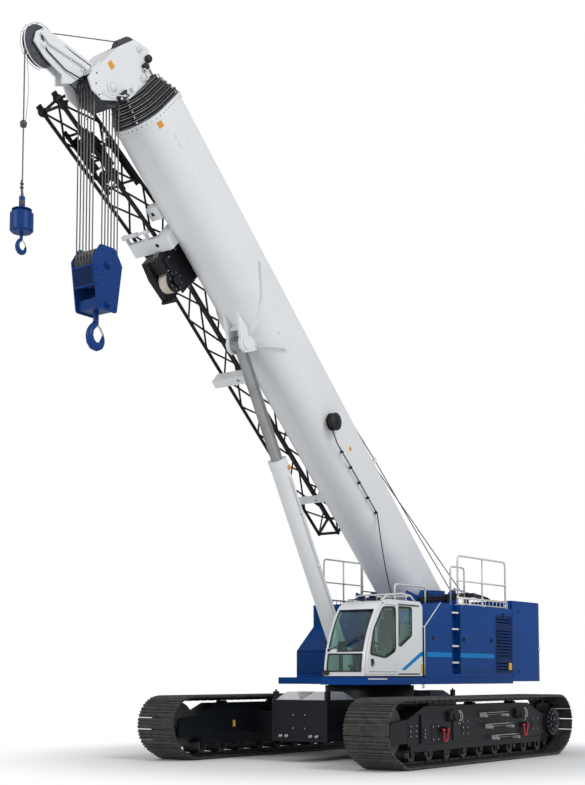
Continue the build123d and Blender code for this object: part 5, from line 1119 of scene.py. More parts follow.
# %% Driver's seat
SEAT_LOW, SEAT_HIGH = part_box("cab_seat")
SQUARENESS = 0.42           # 1 gives an ellipse, less a squarer cushion
CHANNEL_DEPTH, CHANNEL_WIDTH = 0.10, 0.035
seat_middle = (SEAT_LOW[1] + SEAT_HIGH[1]) / 2
seat_width = SEAT_HIGH[1] - SEAT_LOW[1]


def cushion(shape, centre, size, axes, crown=0.012, seam=0.30, across=28, around=40):
    """A padded block: superellipse rings from side to side, pressed in along two seams."""
    centre = Vector(centre)
    wide, deep, high = (Vector(axis) for axis in axes)
    rings = []
    for i in range(across + 1):
        u = -1 + 2 * i / across
        edge = (1 - abs(u) ** 7) ** (1 / 7) if abs(u) < 1 else 0.05
        pinch = 1 - CHANNEL_DEPTH * math.exp(-((abs(u) - 2 * seam) / CHANNEL_WIDTH) ** 2)
        swell = 1 + crown / size[2] * (1 - u * u)
        ring = []
        for k in range(around):
            t = math.tau * k / around
            c, s = math.cos(t), math.sin(t)
            p = math.copysign(abs(c) ** SQUARENESS, c) * size[1] / 2 * max(edge, 0.05)
            q = math.copysign(abs(s) ** SQUARENESS, s) * size[2] / 2 * max(edge, 0.05) * swell * pinch
            ring.append(centre + wide * (u * size[0] / 2) + deep * p + high * q)
        rings.append(ring)
    shape.rings(rings)


pads, base = Shape(), Shape()
x_back = SEAT_LOW[0] + 0.10
top = SEAT_LOW[2] + 0.42
lean = math.radians(10)
back_axes = ((0, 1, 0), (math.cos(lean), 0, math.sin(lean)), (-math.sin(lean), 0, math.cos(lean)))
flat_axes = ((0, 1, 0), (1, 0, 0), (0, 0, 1))
depth = min(0.50, SEAT_HIGH[0] - SEAT_LOW[0] - 0.08)
back_height = SEAT_HIGH[2] - top - 0.16
cushion(pads, (SEAT_HIGH[0] - depth / 2 - 0.01, seat_middle, top - 0.07),
        (seat_width * 0.94, depth, 0.13), flat_axes)
cushion(pads, (x_back + 0.02, seat_middle, top + back_height / 2),
        (seat_width * 0.92, 0.12, back_height), back_axes)
cushion(pads, (x_back - 0.02, seat_middle, SEAT_HIGH[2] - 0.09),
        (seat_width * 0.55, 0.10, 0.15), back_axes, seam=0.6)
foot = [(x_back - 0.02, SEAT_LOW[2]), (SEAT_HIGH[0] - 0.08, SEAT_LOW[2]), (SEAT_HIGH[0] - 0.14, top - 0.14),
        (x_back + 0.02, top - 0.14)]
base.plate(soft_corners(foot, 0.05), seat_middle - seat_width * 0.36, seat_middle + seat_width * 0.36)
for side in (1, -1):
    y = seat_middle + side * seat_width * 0.47
    cushion(base, (x_back + 0.24, y, top + 0.16), (0.05, 0.30, 0.05), flat_axes, 0.0, 2.0, 8, 16)
    base.box((x_back + 0.02, y - 0.012, top + 0.02), (x_back + 0.06, y + 0.012, top + 0.15))
seat = pads.piece("seat_cushions", "seat_cloth", "upper", "seat_cloth")
base.piece("seat_base", "cab_plastic", "upper", "cab_plastic", bevel=0.004)
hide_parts("cab_seat")
print("seat between", [round(v, 2) for v in SEAT_LOW], [round(v, 2) for v in SEAT_HIGH])

# %% [markdown]
# Handrails are bent tube with small clamps and foot plates. The solids stand them up as straight bars, so
# this piece replaces those with one bent tube round each frame, its bars between, and a bolted foot under
# each post.

# %% Handrails
RAILS = ((-2.92, -0.85, 1.585, 3.05, 4.05, (3.20, 3.54)), (-2.58, -1.98, 0.775, 3.05, 3.95, (3.45,)),
         (-2.09, -0.59, -1.545, 3.12, 4.13, (3.25, 3.63)),
         (-1.76, -0.89, -0.775, 3.12, 4.25, (3.42,)))          # x0, x1, y, foot, top, heights of the bars
KICK_FRAMES = ((-2.95, -0.82, 1.585, 3.05), (-2.12, -0.56, -1.545, 3.12))      # x0, x1, y, foot
KICK_BARS, KICK_PITCH = (0.022, 0.135), 0.16
rails, feet, frames = Shape(), Shape(), Shape()
for x0, x1, y, foot, top, bars in RAILS:
    rails.tube(rounded([(x0, y, foot), (x0, y, top), (x1, y, top), (x1, y, foot)], 0.10), 0.019, 12)
    posts = (x0, (x0 + x1) / 2, x1) if x1 - x0 > 1.2 else (x0, x1)
    if len(posts) == 3:
        rails.tube([(posts[1], y, foot), (posts[1], y, top)], 0.018, 12)
    for z in bars:
        rails.tube([(x0, y, z), (x1, y, z)], 0.015, 10)
        for x in posts:
            sleeve(rails, (x, y, z), (0, 0, 1), 0.028, 0.027, 0.002, 0.006, 12)
    for x in posts:
        feet.box((x - 0.055, y - 0.04, foot - 0.001), (x + 0.055, y + 0.04, foot + 0.008))
        feet.turned([(0.0, 0.024), (0.08, 0.024), (0.084, 0.02)], (x, y, foot + 0.006), (0, 0, 1), 12)
        for shift in (-0.038, 0.038):
            bolt(feet, (x + shift, y, foot + 0.008), (0, 0, 1), 0.009, 0.009)
for x0, x1, y, foot in KICK_FRAMES:
    low, high = (foot + z for z in KICK_BARS)
    for z in (low, high):
        frames.tube([(x0, y + 0.03, z), (x1, y + 0.03, z)], 0.014, 10)
    count = round((x1 - x0) / KICK_PITCH)
    for i in range(count + 1):
        x = x0 + (x1 - x0) * i / count
        frames.tube([(x, y + 0.03, low), (x, y + 0.03, high)], 0.009, 8)
grab = [(-0.25, 1.18, 3.05), (-0.25, 1.18, 3.39), (0.90, 1.18, 3.39), (0.90, 1.18, 3.045)]
rails.tube(rounded(grab, 0.08), 0.018, 12)
whole = rails.piece("handrail_tubes", "bright_coat", "upper", "galvanised")
feet.piece("handrail_feet", "bright_coat", "upper", "galvanised")
frames.piece("handrail_frames", "bright_coat", "upper", "galvanised")
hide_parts("handrails")

# %% [markdown]
# The boom's section is an egg stood on its narrow end: broad round lower corners and tight upper ones. The
# same outline, made smaller by one step for each telescoping section, gives the bright edges of the collars
# and the slots of the wear pads round the base section's mouth.

# %% The boom's section
BOOM_WIDTH, BOOM_HEIGHT, BOOM_SINK = 1.0, 1.14, 0.08
LOW_CORNER, HIGH_CORNER = 0.46, 0.17            # radii of the corners, as shares of the width
MOUTH_START, MOUTH_END = 12.27, 12.38
SECTION_STEP, COLLAR_PITCH, COLLAR_THICK, COLLAR_RIM = 0.036, 0.084, 0.076, 0.03
SECTIONS = range(2, 7)


def boom_outline(grow, corner_steps=8):
    """Points round the boom's section as (across, up), larger or smaller by grow than the base section."""
    half_w, half_h = BOOM_WIDTH / 2 + grow, BOOM_HEIGHT / 2 + grow
    low, high = LOW_CORNER * BOOM_WIDTH + grow, HIGH_CORNER * BOOM_WIDTH + grow
    corners = ((half_w - low, -half_h + low, low, -90), (half_w - high, half_h - high, high, 0),
               (-half_w + high, half_h - high, high, 90), (-half_w + low, -half_h + low, low, 180))
    points = []
    for y, z, radius, start in corners:
        for i in range(corner_steps + 1):
            turn = math.radians(start + 90 * i / corner_steps)
            points.append((y + radius * math.cos(turn), z + radius * math.sin(turn) - BOOM_SINK))
    return points


def hoop(shape, along, grow, thick, long):
    """A band round the boom's section."""
    corners = ((along, grow), (along, grow + thick), (along + long, grow + thick), (along + long, grow))
    loops = [[(at, *p) for p in boom_outline(size)] for at, size in corners]
    shape.rings(loops + loops[:1], smooth=False, ends=False)


def collar_start(number):
    """How far along the boom a section's collar starts. The base is section 1."""
    return MOUTH_END + COLLAR_PITCH * (number - 2)


print("section outline:", len(boom_outline(0.0)), "points")


# %% [markdown]
# Only the collars are black. The tube behind each one is white like the base, and is hidden until the boom
# runs out. Both belong to one solid, so the finish changes where a point's distance along the boom passes the
# collar.

# %% Two-tone sections
def section_finish(name, start):
    """White along the tube, and black from where the collar starts."""
    shader, wire = new_finish(name)
    x, z = (wire.node("ShaderNodeSeparateXYZ", {}, {"Vector": place(wire)}, output) for output in (0, 2))
    along = (x - BOOM_FOOT.x) * ALONG.x + (z - BOOM_FOOT.z) * ALONG.z
    tube = along < start - 0.01
    drift = noise(wire, 1.2, 4.0)
    white = ramp(wire, drift, (0.3, (0.74, 0.76, 0.78)), (0.7, (0.80, 0.82, 0.84)))
    tone = blend_colours(wire, tube, (0.008, 0.009, 0.012), white)
    feed(shader, wire, Base_Color=tone, Roughness=0.4 - tube * 0.06 + drift * 0.05)
    feed(shader, wire, Coat_Weight=0.05, Specular_IOR_Level=0.25)


for number in SECTIONS:
    name = "section_" + str(number) + "_paint"
    section_finish(name, collar_start(number))
    nodes["boom_section_" + str(number)].material_slots[0].material = finishes[name]
print("two-tone sections:", len(SECTIONS))

# %% [markdown]
# Each collar gets two bright lines and a few studs, and the mouth a thin bead, a black disc in the slot of
# every wear pad as painted shade in the slot, the round bosses of the pads' adjusters along the base section
# and two hatches on either side.

# %% Collar edges and mouth
SLOT_SPACING, WIDE_GAP = 0.09, 0.2              # flat stretches wider than this hold more than one slot
SIDE_BOSSES = ((8.61, -0.18), (8.32, -0.03), (7.95, -0.28), (7.60, -0.22), (6.25, 0.02), (11.2, -0.1),
               (4.4, -0.1))                     # along, up
HATCHES = ((11.65, 11.95), (1.2, 1.5))          # from and to, along

for number in SECTIONS:
    edge = Shape(on_boom)
    start, grow = collar_start(number), COLLAR_RIM - SECTION_STEP * (number - 1)
    hoop(edge, start + COLLAR_THICK - 0.008, grow - 0.002, 0.0045, 0.006)
    hoop(edge, start + 0.012, grow - 0.002, 0.004, 0.004)
    for across, up in boom_outline(grow)[2::7]:
        at = (start + COLLAR_THICK / 2, across, up)
        boss(edge, at, (0, across, up + BOOM_SINK), 0.017, 0.010, 0.004, 0.007, sunk=0.01, sides=12)
    edge.piece("collar_edges_" + str(number), "bright_steel", "section_" + str(number), "galvanised")

mouth, pads = Shape(on_boom), Shape(on_boom)
hoop(mouth, MOUTH_START - 0.012, -0.004, 0.012, 0.012)
outline = boom_outline(0.018)
# A black disc in each wear pad's slot is painted shade in the slot.
for (y0, z0), (y1, z1) in zip(outline, outline[1:] + outline[:1]):
    gap = math.hypot(y1 - y0, z1 - z0)
    count = 1 if gap < WIDE_GAP else round(gap / SLOT_SPACING)
    for k in range(count):
        y, z = y0 + (y1 - y0) * (k + 0.5) / count, z0 + (z1 - z0) * (k + 0.5) / count
        out = Vector((0, y, z + BOOM_SINK)).normalized()
        boss(pads, (MOUTH_START + 0.055, y, z), out, 0.011, 0.003, sunk=0.008, sides=10)
for side in (1, -1):
    face = side * BOOM_WIDTH / 2
    for along, up in SIDE_BOSSES:
        boss(mouth, (along, face, up), (0, side, 0), 0.02, 0.008, 0.004, 0.007, sunk=0.004, sides=16)
    for low, high in HATCHES:
        frame_round(mouth, rectangle(low, high, -0.25, 0.05), 0.02, face - 0.002, face + 0.003, 0.05)
mouth.piece("boom_mouth", "white_paint", "boom", "white_paint")
pads.piece("boom_pad_slots", "black_paint", "boom", "black_paint")

# %% [markdown]
# Two hoist ropes run from the winches over the guides on the boom's back to the head, and over the sheaves
# there. They are taut, so they are straight tubes between the places that hold them. The stretch between the
# winch and the first guide spans two bodies, so it is a free piece that is attached to neither. Each
# telescoping section carries its own length of rope on the same line, so that no gap opens when the boom runs
# out.

# %% Hoist ropes
ROPE, ROPE_STEP = 0.011, 0.0003                 # a rope's radius, and how much thinner each inner stretch is
GUIDE_PLACES = ((4.12, 0.745), (6.24, 0.685), (9.17, 0.625), (13.22, 0.505))       # along, up
GUIDE_HALVES = (0.28, 0.12, 0.12)
NARROWING, HEAD_SHARE = (1.0, 0.6, 0.35), 0.3   # the ropes draw together towards the head
WINCH_LEAVES = (("main", -3.42, 2.77, 0.225, 0.26),
                ("aux", -4.08, 2.90, 0.205, 0.16))     # name, x, z, radius to the rope's line, y
FREE_STEPS = 24                                 # rings along the winch's free stretch of rope
STRETCH_BACK = 2.4                              # how far a section's rope reaches back into the boom
COIL_HALF, COIL_PITCH, COIL_CORE = 0.43, 0.0287, 0.15
COIL_RIDGE = ((0.05, -0.008), (0.5, 0.010), (0.95, -0.008))


def rope_up(along):
    """How far the rope's line lies above the foot pin's line."""
    for (a0, u0), (a1, u1) in zip(GUIDE_PLACES, GUIDE_PLACES[1:]):
        if along <= a1:
            return u0 + (u1 - u0) * (along - a0) / (a1 - a0)
    return GUIDE_PLACES[-1][1]


for name, x, z, radius, y in WINCH_LEAVES:
    guide, centre = on_boom((GUIDE_PLACES[0][0], y, GUIDE_PLACES[0][1])), Vector((x, y, z))
    reach = guide - centre
    lean = math.atan2(reach.z, reach.x) + math.acos(radius / reach.length)
    leave = centre + Vector((math.cos(lean), 0, math.sin(lean))) * radius
    free = Shape()
    free.tube([leave + (guide - leave) * (i / FREE_STEPS) for i in range(FREE_STEPS + 1)], ROPE, 8)
    rope = free.piece("hoist_rope_" + name, "wire_rope", None, "wire_rope")
    tuple(leave + (guide - leave) * 0.3)
    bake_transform(rope)
    lie = Shape(on_boom)
    run = [(along, y * share, up) for (along, up), share in zip(GUIDE_PLACES, NARROWING)]
    lie.tube(run + [(MOUTH_END, y * HEAD_SHARE, rope_up(MOUTH_END))], ROPE, 8)
    lie.piece("hoist_rope_back_" + name, "wire_rope", "boom", "wire_rope")
    for number in SECTIONS:
        start = collar_start(number) - STRETCH_BACK
        end = collar_start(number + 1) if number < SECTIONS[-1] else GUIDE_PLACES[-1][0]
        held = Shape(on_boom)
        held.tube([(start, y * HEAD_SHARE, rope_up(start) + 0.0002 * number),
                   (end, y * HEAD_SHARE, rope_up(end))], ROPE - ROPE_STEP * number, 8)
        held.piece("hoist_rope_" + name + "_" + str(number), "wire_rope", "section_" + str(number),
                   "wire_rope")
for name, x, z, radius, y in WINCH_LEAVES:
    wound = Shape()
    ridges = [(COIL_PITCH * (i + share) - COIL_HALF, radius - ROPE + rise)
              for i in range(round(2 * COIL_HALF / COIL_PITCH)) for share, rise in COIL_RIDGE]
    coil = [(-COIL_HALF, COIL_CORE)] + ridges + [(COIL_HALF, COIL_CORE)]
    wound.turned(coil, (x, 0.0, z), (0, 1, 0), 32)
    wound.piece("wound_rope_" + name, "wire_rope", name + "_winch", "wire_rope")
guides = Shape(on_boom)
for (along, up), half in zip(GUIDE_PLACES, GUIDE_HALVES):
    sleeve(guides, (along, 0, up - 0.045), (0, 1, 0), half, 0.032, 0.01, 0.012)
guides.piece("rope_rollers", "sheave_grey", "boom", "sheave_grey")

# %% [markdown]
# The cable to the head's sensors is paid out by a sprung reel. From the reel it runs down the boom's side in
# clips and then hangs to the slewing frame, so its last stretch is a free piece that is attached to no body.

# %% Reel, its cable and the labels
REEL_AT = (5.83, 0.65, -0.237)                  # along, across, up
CABLE, CABLE_STEPS, CABLE_SAG = 0.011, 16, 0.25
CABLE_RUN = [(5.80, 0.60, -0.39), (5.45, 0.56, -0.42), (4.9, 0.53, -0.36), (3.57, 0.53, -0.33)]
DECK_END = Vector((-0.05, 0.60, 3.02))
LABEL_ALONG, LABEL_UPS = (12.15, 12.255), (-0.43, -0.40, -0.37, -0.34)

reel, cable, clips = (Shape(on_boom) for _ in range(3))
for radius, depth in ((0.172, 0.006), (0.12, 0.010), (0.05, 0.022)):
    reel.turned([(-0.002, radius), (depth, radius - 0.004), (depth, 0.0)], REEL_AT, (0, 1, 0), 36)
along, y, up = REEL_AT
for i in range(8):
    turn = math.tau * i / 8
    spoke = [(along + r * math.cos(turn), y + out, up + r * math.sin(turn))
             for r, out in ((0.05, 0.012), (0.155, 0.010))]
    reel.tube(spoke, 0.006, 6)
drum = [(-0.12, 0.13), (-0.115, 0.146), (-0.10, 0.15), (-0.02, 0.15), (-0.005, 0.146), (0.0, 0.13)]
reel.turned(drum, (along, y - 0.005, up), (0, 1, 0), 36)
cable.tube(rounded(CABLE_RUN, 0.2), CABLE, 8)
for along in (5.2, 4.8, 4.4, 4.0, 3.6):
    up = -0.36 + (4.9 - along) * 0.022
    clips.box((along - 0.02, 0.49, up - 0.02), (along + 0.02, 0.545, up + 0.02))
reel.piece("reel_dress", "rubber", "boom", "black_paint")
cable.piece("reel_cable", "rubber", "boom", "black_paint")
clips.piece("cable_clips", "black_paint", "boom", "black_paint")

hang, start = Shape(), on_boom(CABLE_RUN[-1])
drop = [start + (DECK_END - start) * (i / CABLE_STEPS)
        - Vector((0, 0, CABLE_SAG * math.sin(math.pi * i / CABLE_STEPS))) for i in range(CABLE_STEPS + 1)]
hang.tube(drop, CABLE, 8)
free = hang.piece("reel_cable_low", "rubber", None, "black_paint")
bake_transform(free)

labels_boom, labels_head = Shape(on_boom), Shape(on_boom)
strips = []
for up in LABEL_UPS:
    y = 0.04 + math.sqrt(0.46 ** 2 - (up + 0.19) ** 2)     # on the round of the lower corner
    strips.append([(along, y + out, up) for along, out in zip(LABEL_ALONG + LABEL_ALONG[::-1],
                                                              (FILM, FILM, -0.004, -0.004))])
labels_boom.rings(strips, smooth=False)
labels_boom.box((5.0, 0.4985, -0.12), (5.08, 0.5015, -0.03))
labels_head.box((13.33, 0.2905, -0.62), (13.45, 0.2935, -0.50))
labels_boom.piece("labels_orange_boom", "label_orange", "boom", "white_paint")
labels_head.piece("labels_orange_head", "label_orange", "section_6", "white_paint")

# %% [markdown]
# At the head the ropes go round the sheaves. An arc helper draws each wrap from one tangent to the other in
# the groove's plane. Keeper bars stop a slack rope from jumping out of its groove, and a thin hoop guards the
# single sheave of the auxiliary arm.

# %% Head
HEAD, AUX = Vector((7.85, 0.0, 10.97)), Vector((9.13, 0.0, 11.22))      # axles of the sheaves
TOP = on_boom((13.29, 0.0, 0.26))
GROOVES = [0.07 * (i - 2.5) for i in range(6)]
WRAP = 0.275                                    # radius of the rope's line in the main sheaves
AUX_ROPE_X = 9.42
HEAD_FACE = 0.314
GUARD = 0.345


def arc(centre, radius, first, last, y, steps=14):
    """Points round a centre in the plane of a sheave, angles in degrees from the machine's front, upwards."""
    turns = [math.radians(first + (last - first) * i / steps) for i in range(steps + 1)]
    return [Vector((centre.x + radius * math.cos(t), y, centre.z + radius * math.sin(t))) for t in turns]


def cross_bars(shape, centre, ring, turns, half, radius, sides):
    """Bars across a sheave's rim, at some turns round its axle."""
    for turn in turns:
        at = arc(centre, ring, turn, turn, 0.0, 1)[0]
        shape.tube([(at.x, y, at.z) for y in (-half, half)], radius, sides)


wraps, fittings, black, keepers = (Shape() for _ in range(4))
for y in GROOVES:
    wraps.tube(arc(HEAD, WRAP, 0, 180, y), ROPE, 8)
aux_line = [Vector((AUX_ROPE_X, 0.0, 11.20))] + arc(AUX, 0.29, 0, 112, 0.0) + [on_boom((13.42, 0.0, 0.36))]
wraps.tube(aux_line, 0.009, 8)
for y in (-0.07, 0.0, 0.07):
    wrap = arc(TOP, 0.212, 20, 150, y)
    wraps.tube(wrap, 0.010, 8)
    wraps.tube([wrap[0], Vector((8.05, y, 11.18))], 0.010, 8)
for side in (1, -1):
    for centre, radius in ((HEAD, 0.055), (TOP, 0.042)):
        nut = [(-0.002, radius * 1.5), (0.010, radius * 1.5), (0.014, radius), (0.03, radius * 0.9),
               (0.03, 0.0)]
        fittings.turned(nut, (centre.x, side * HEAD_FACE, centre.z), (0, side, 0), 24)
        bolts_at = (centre.x, side * (HEAD_FACE + 0.008), centre.z)
        bolt_circle(fittings, bolts_at, (0, side, 0), radius * 1.2, 6, 0.0, 0.008, 0.010)
    # Black discs round the sheaves' axle on each plate: painted shade in the plate's holes.
    for i in range(7):
        turn = math.radians(-150 + 28 * i)
        at = (HEAD.x + 0.36 * math.cos(turn), side * 0.292, HEAD.z + 0.36 * math.sin(turn))
        boss(black, at, (0, side, 0), 0.013, 0.006, sides=12)
    fittings.tube(arc(AUX, GUARD, -100, 160, side * 0.045, 30), 0.008, 8)
    nut = [(-0.002, 0.05), (0.014, 0.05), (0.018, 0.035), (0.04, 0.03), (0.04, 0.0)]
    fittings.turned(nut, (AUX.x, side * 0.097, AUX.z), (0, side, 0), 20)
cross_bars(fittings, AUX, GUARD, (-40, 20, 80, 140), 0.05, 0.008, 8)
cross_bars(keepers, HEAD, 0.318, (45, 90, 135), 0.262, 0.012, 10)
wraps.piece("head_rope_wraps", "wire_rope", "section_6", "wire_rope")
fittings.piece("head_fittings", "white_paint", "section_6", "white_paint")
black.piece("head_holes", "black_paint", "section_6", "black_paint")
keepers.piece("head_keepers", "sheave_grey", "section_6", "sheave_grey")

# %% [markdown]
# Behind the near plate sit a limit switch, a round sensor and a split ring that leads the cable, and hoses
# run along the arm's underside. They are small, but they break up the head's outline as they do on the real
# one.

# %% Head's small gear
SENSOR = ((0.0, 0.05), (0.02, 0.062), (0.07, 0.062), (0.085, 0.05), (0.085, 0.0))
RING_AT, RING_RADIUS_SMALL = (12.93, 0.02), 0.085       # along and up

gear, steel = Shape(on_boom), Shape(on_boom)
gear.turned(SENSOR, (13.07, 0.29, 0.30), (0, 1, 0), 24)
gear.box((12.96, 0.28, 0.10), (13.06, 0.36, 0.20))
gear.box((12.86, 0.285, -0.84), (12.97, 0.36, -0.60))
for up in (-0.82, -0.72, -0.62):
    boss(steel, (12.915, 0.358, up), (0, 1, 0), 0.022, 0.02, sunk=0.0, sides=12)
split_ring = [(RING_AT[0] + RING_RADIUS_SMALL * math.cos(math.radians(t)), 0.345,
               RING_AT[1] + RING_RADIUS_SMALL * math.sin(math.radians(t))) for t in range(20, 300, 20)]
steel.tube(split_ring, 0.012, 8)
steel.tube([(RING_AT[0], 0.29, RING_AT[1]), (RING_AT[0], 0.345, RING_AT[1] - RING_RADIUS_SMALL)], 0.010, 8)
steel.box((12.86, 0.285, -0.45), (12.93, 0.36, -0.36))
lead = [(12.84, 0.33, -0.55), (12.92, 0.38, -0.75), (13.05, 0.36, -0.95), (13.2, 0.33, -1.08)]
steel.tube(rounded(lead, 0.1), 0.010, 8)
for y in (0.145, -0.145):
    run = [(13.10, y * 1.9, -0.95), (13.42, y, -1.12), (13.75, y * 0.75, -1.36), (14.15, y * 0.7, -1.50),
           (14.36, y * 0.72, -1.44)]
    gear.tube(rounded(run, 0.15), 0.011, 8)
    run = [(13.52, y * 0.9, -0.80), (13.85, y * 0.9, -1.02), (14.2, y * 0.8, -1.22)]
    gear.tube(rounded(run, 0.2), 0.009, 8)
for along, up in ((13.58, -1.0), (13.82, -1.12), (14.08, -1.26)):
    sleeve(steel, (along, 0.0, up), (0, 1, 0), 0.105, 0.03, 0.005, 0.008, 14)
gear.piece("head_gear", "rubber", "section_6", "black_paint")
steel.piece("head_steel", "white_paint", "section_6", "white_paint")

# %% [markdown]
# The hook block hangs in its falls. The ropes pass round its sheaves too, comb bars keep them apart, and the
# cheeks carry axle nuts, edge bolts and a pair of slots, which are black plates that paint the shade in them.
# The windows in the block's front and rear faces get a sheet of darker blue, painted shade in the recess.
# Each hook has a sprung latch across its mouth.

# %% Hook block
BLOCK_AXLE, BLOCK_FACE = Vector((7.85, 0.0, 8.08)), 0.248
BLOCK_X, COMB_REACH = BLOCK_AXLE.x, 0.245
AXLE_NUTS = ((8.08, 0.05), (7.447, 0.042))      # z, radius
CHEEK_BOLTS = ((-0.22, 7.72), (0.22, 7.72), (-0.23, 7.97), (0.23, 7.97), (-0.17, 7.42), (0.17, 7.42),
               (-0.11, 8.30), (0.11, 8.30))     # x from the middle, z
CHEEK_SLOTS = ((0.14, 7.88), (-0.19, 7.60))
WINDOW_LOW, WINDOW_HIGH = 7.715, 8.015


def block_face(z):
    """How far the block's front and rear faces lie from its middle."""
    return 0.212 + (0.325 - 0.212) * (z - 7.34) / 0.79


under, comb, studs, holes, recess = (Shape() for _ in range(5))
for y in GROOVES:
    under.tube(arc(BLOCK_AXLE, WRAP, 180, 360, y), ROPE, 8)
for x in (BLOCK_X - COMB_REACH, BLOCK_X + COMB_REACH):
    comb.tube([(x, -0.222, 8.20), (x, 0.222, 8.20)], 0.014, 10)
    for i in range(7):
        y = 0.07 * (i - 3)
        comb.box((x - 0.03, y - 0.005, 8.10), (x + 0.03, y + 0.005, 8.215))
for side in (1, -1):
    for z, radius in AXLE_NUTS:
        at = (BLOCK_X, side * (BLOCK_FACE + 0.02), z)
        washer = [(-0.002, radius * 1.35), (0.010, radius * 1.35), (0.014, radius * 1.1)]
        studs.turned(washer, at, (0, side, 0), 24)
        nut = [(0.010, radius), (0.040, radius), (0.044, radius * 0.85), (0.044, 0.0)]
        studs.turned(nut, at, (0, side, 0), 6)
    for shift, z in CHEEK_BOLTS:
        bolt(studs, (BLOCK_X + shift, side * BLOCK_FACE, z), (0, side, 0), 0.013, 0.014)
    # The slots are black plates on the cheeks: painted shade in the slots.
    for shift, z in CHEEK_SLOTS:
        x = BLOCK_X + shift
        slot = soft_corners(rectangle(x - 0.035, x + 0.035, z - 0.009, z + 0.009), 0.009)
        holes.plate(slot, side * BLOCK_FACE - 0.001, side * BLOCK_FACE + 0.001)
for way in (1, -1):
    for z in (WINDOW_LOW, WINDOW_HIGH):
        x = BLOCK_X + way * (block_face(z) + 0.004)
        studs.tube([(x, -0.225, z), (x, 0.225, z)], 0.017, 10)
    for y in (-0.215, 0.215):
        post = [(BLOCK_X + way * (block_face(z) + 0.003), y, z) for z in (WINDOW_LOW, WINDOW_HIGH)]
        studs.tube(post, 0.012, 8)
    # A sheet of darker blue between the window's bars: painted shade in the recess.
    sheet = [(BLOCK_X + way * (block_face(z) + out), z)
             for z, out in ((7.735, 0.001), (7.995, 0.001), (7.995, 0.003), (7.735, 0.003))]
    recess.plate(sheet, -0.20, 0.20)
    for y in (-0.12, 0.12):
        bolt(studs, (BLOCK_X + way * (block_face(7.90) + 0.003), y, 7.90), (way, 0, 0), 0.012, 0.012)
recess.piece("block_recess", "painted_shade_blue", "hook_block", "hook_blue")
under.piece("block_rope_wraps", "wire_rope", "hook_block", "wire_rope")
comb.piece("block_comb", "sheave_grey", "hook_block", "sheave_grey")
studs.piece("block_studs", "hook_blue", "hook_block", "hook_blue", bevel=0.001)
holes.piece("block_slots", "black_paint", "hook_block", "black_paint")

# %% [markdown]
# A latch is a strip of sheet bent over the hook's mouth. All its sizes are shares of the hook's throat
# radius, so one function makes both. The light hook also has a weight above it, which pulls the single rope
# straight.

# %% Latches, weight and rope socket
MAIN_HOOK = (BLOCK_X, 6.945, 0.095)             # x, height of the throat's middle, throat radius
AUX_HOOK = (AUX_ROPE_X, 7.985, 0.052)
LATCH_LINE = ((-0.30, 2.30), (-1.00, 1.75), (-1.60, 0.95), (-1.72, 0.60))    # out and up, in throat radii
LATCH_HALF, LATCH_THICK = 0.22, 0.045
WEIGHT_LID = 8.560


def latch(name, hook, body):
    """A bent plate from the hook's neck to its tip, with the roll of its spring."""
    x, centre, throat = hook
    strip = Shape()
    bent = rounded([(x + a * throat, 0.0, centre + b * throat) for a, b in LATCH_LINE], 0.5 * throat, 3)
    across = Vector((0, LATCH_HALF * throat, 0))
    loops = []
    for i, p in enumerate(bent):
        ahead = (bent[min(i + 1, len(bent) - 1)] - bent[max(i - 1, 0)]).normalized()
        out = Vector((-ahead.z, 0, ahead.x)) * LATCH_THICK * throat
        loops.append([p + out + across, p + out - across, p - out - across, p - out + across])
    strip.rings(loops, smooth=False)
    roll = [(-0.34 * throat, 0.10 * throat), (0.34 * throat, 0.10 * throat)]
    strip.turned(roll, (x - 0.34 * throat, 0.0, centre + 2.28 * throat), (0, 1, 0), 14)
    strip.piece(name, "bright_steel", body, "galvanised")


latch("main_latch", MAIN_HOOK, "main_hook")
latch("aux_latch", AUX_HOOK, "aux_hook")

x = AUX_ROPE_X
rings, socket, stop = Shape(), Shape(), Shape()
for radius, height in ((0.150, 0.004), (0.085, 0.013)):
    lid = [(-0.012, radius), (height, radius), (height + 0.002, radius - 0.003), (height + 0.002, 0.05)]
    rings.turned(lid, (x, 0.0, WEIGHT_LID), (0, 0, 1), 40)
bolt_circle(rings, (x, 0.0, 8.545), (0, 0, 1), 0.13, 6, 0.0, 0.010, 0.012)
cone = [(0.0, 0.030), (0.02, 0.046), (0.10, 0.046), (0.12, 0.03), (0.16, 0.028), (0.24, 0.016), (0.26, 0.011)]
socket.turned(cone, (x, 0.0, 8.60), (0, 0, 1), 20)
for z in (8.66, 8.74):
    socket.tube([(x - 0.052, 0.0, z), (x + 0.052, 0.0, z)], 0.012, 10)
socket.tube([(x + 0.015, 0.0, 8.84), (x + 0.02, 0.0, 8.93), (x + 0.016, 0.0, 9.02)], 0.009, 8)
for z in (8.90, 8.96):
    socket.box((x - 0.015, -0.018, z - 0.012), (x + 0.032, 0.018, z + 0.012))
bob = [(-0.05, 0.02), (-0.045, 0.045), (0.02, 0.055), (0.05, 0.035), (0.055, 0.013)]
stop.turned(bob, (x, 0.0, 9.89), (0, 0, 1), 20)
stop.tube(rounded([(x, 0.05, 9.93), (x, 0.10, 10.4), (x, 0.06, 10.95)], 0.3), 0.004, 6)
rings.piece("weight_bands", "hook_blue", "aux_weight", "hook_blue")
socket.piece("rope_socket", "sheave_grey", "aux_weight", "sheave_grey")
stop.piece("stop_weight", "sheave_grey", "aux_hang", "sheave_grey")

# %% [markdown]
# A crane hook is forged: its bar is round, thick where the load bends it most, and thin at the neck and the
# tip. The solid has the hook's outline as a thick plate, which is right for its size and weight. Here a bar
# is drawn along the middle of that outline with a radius of its own at every point, and it replaces the
# plate.

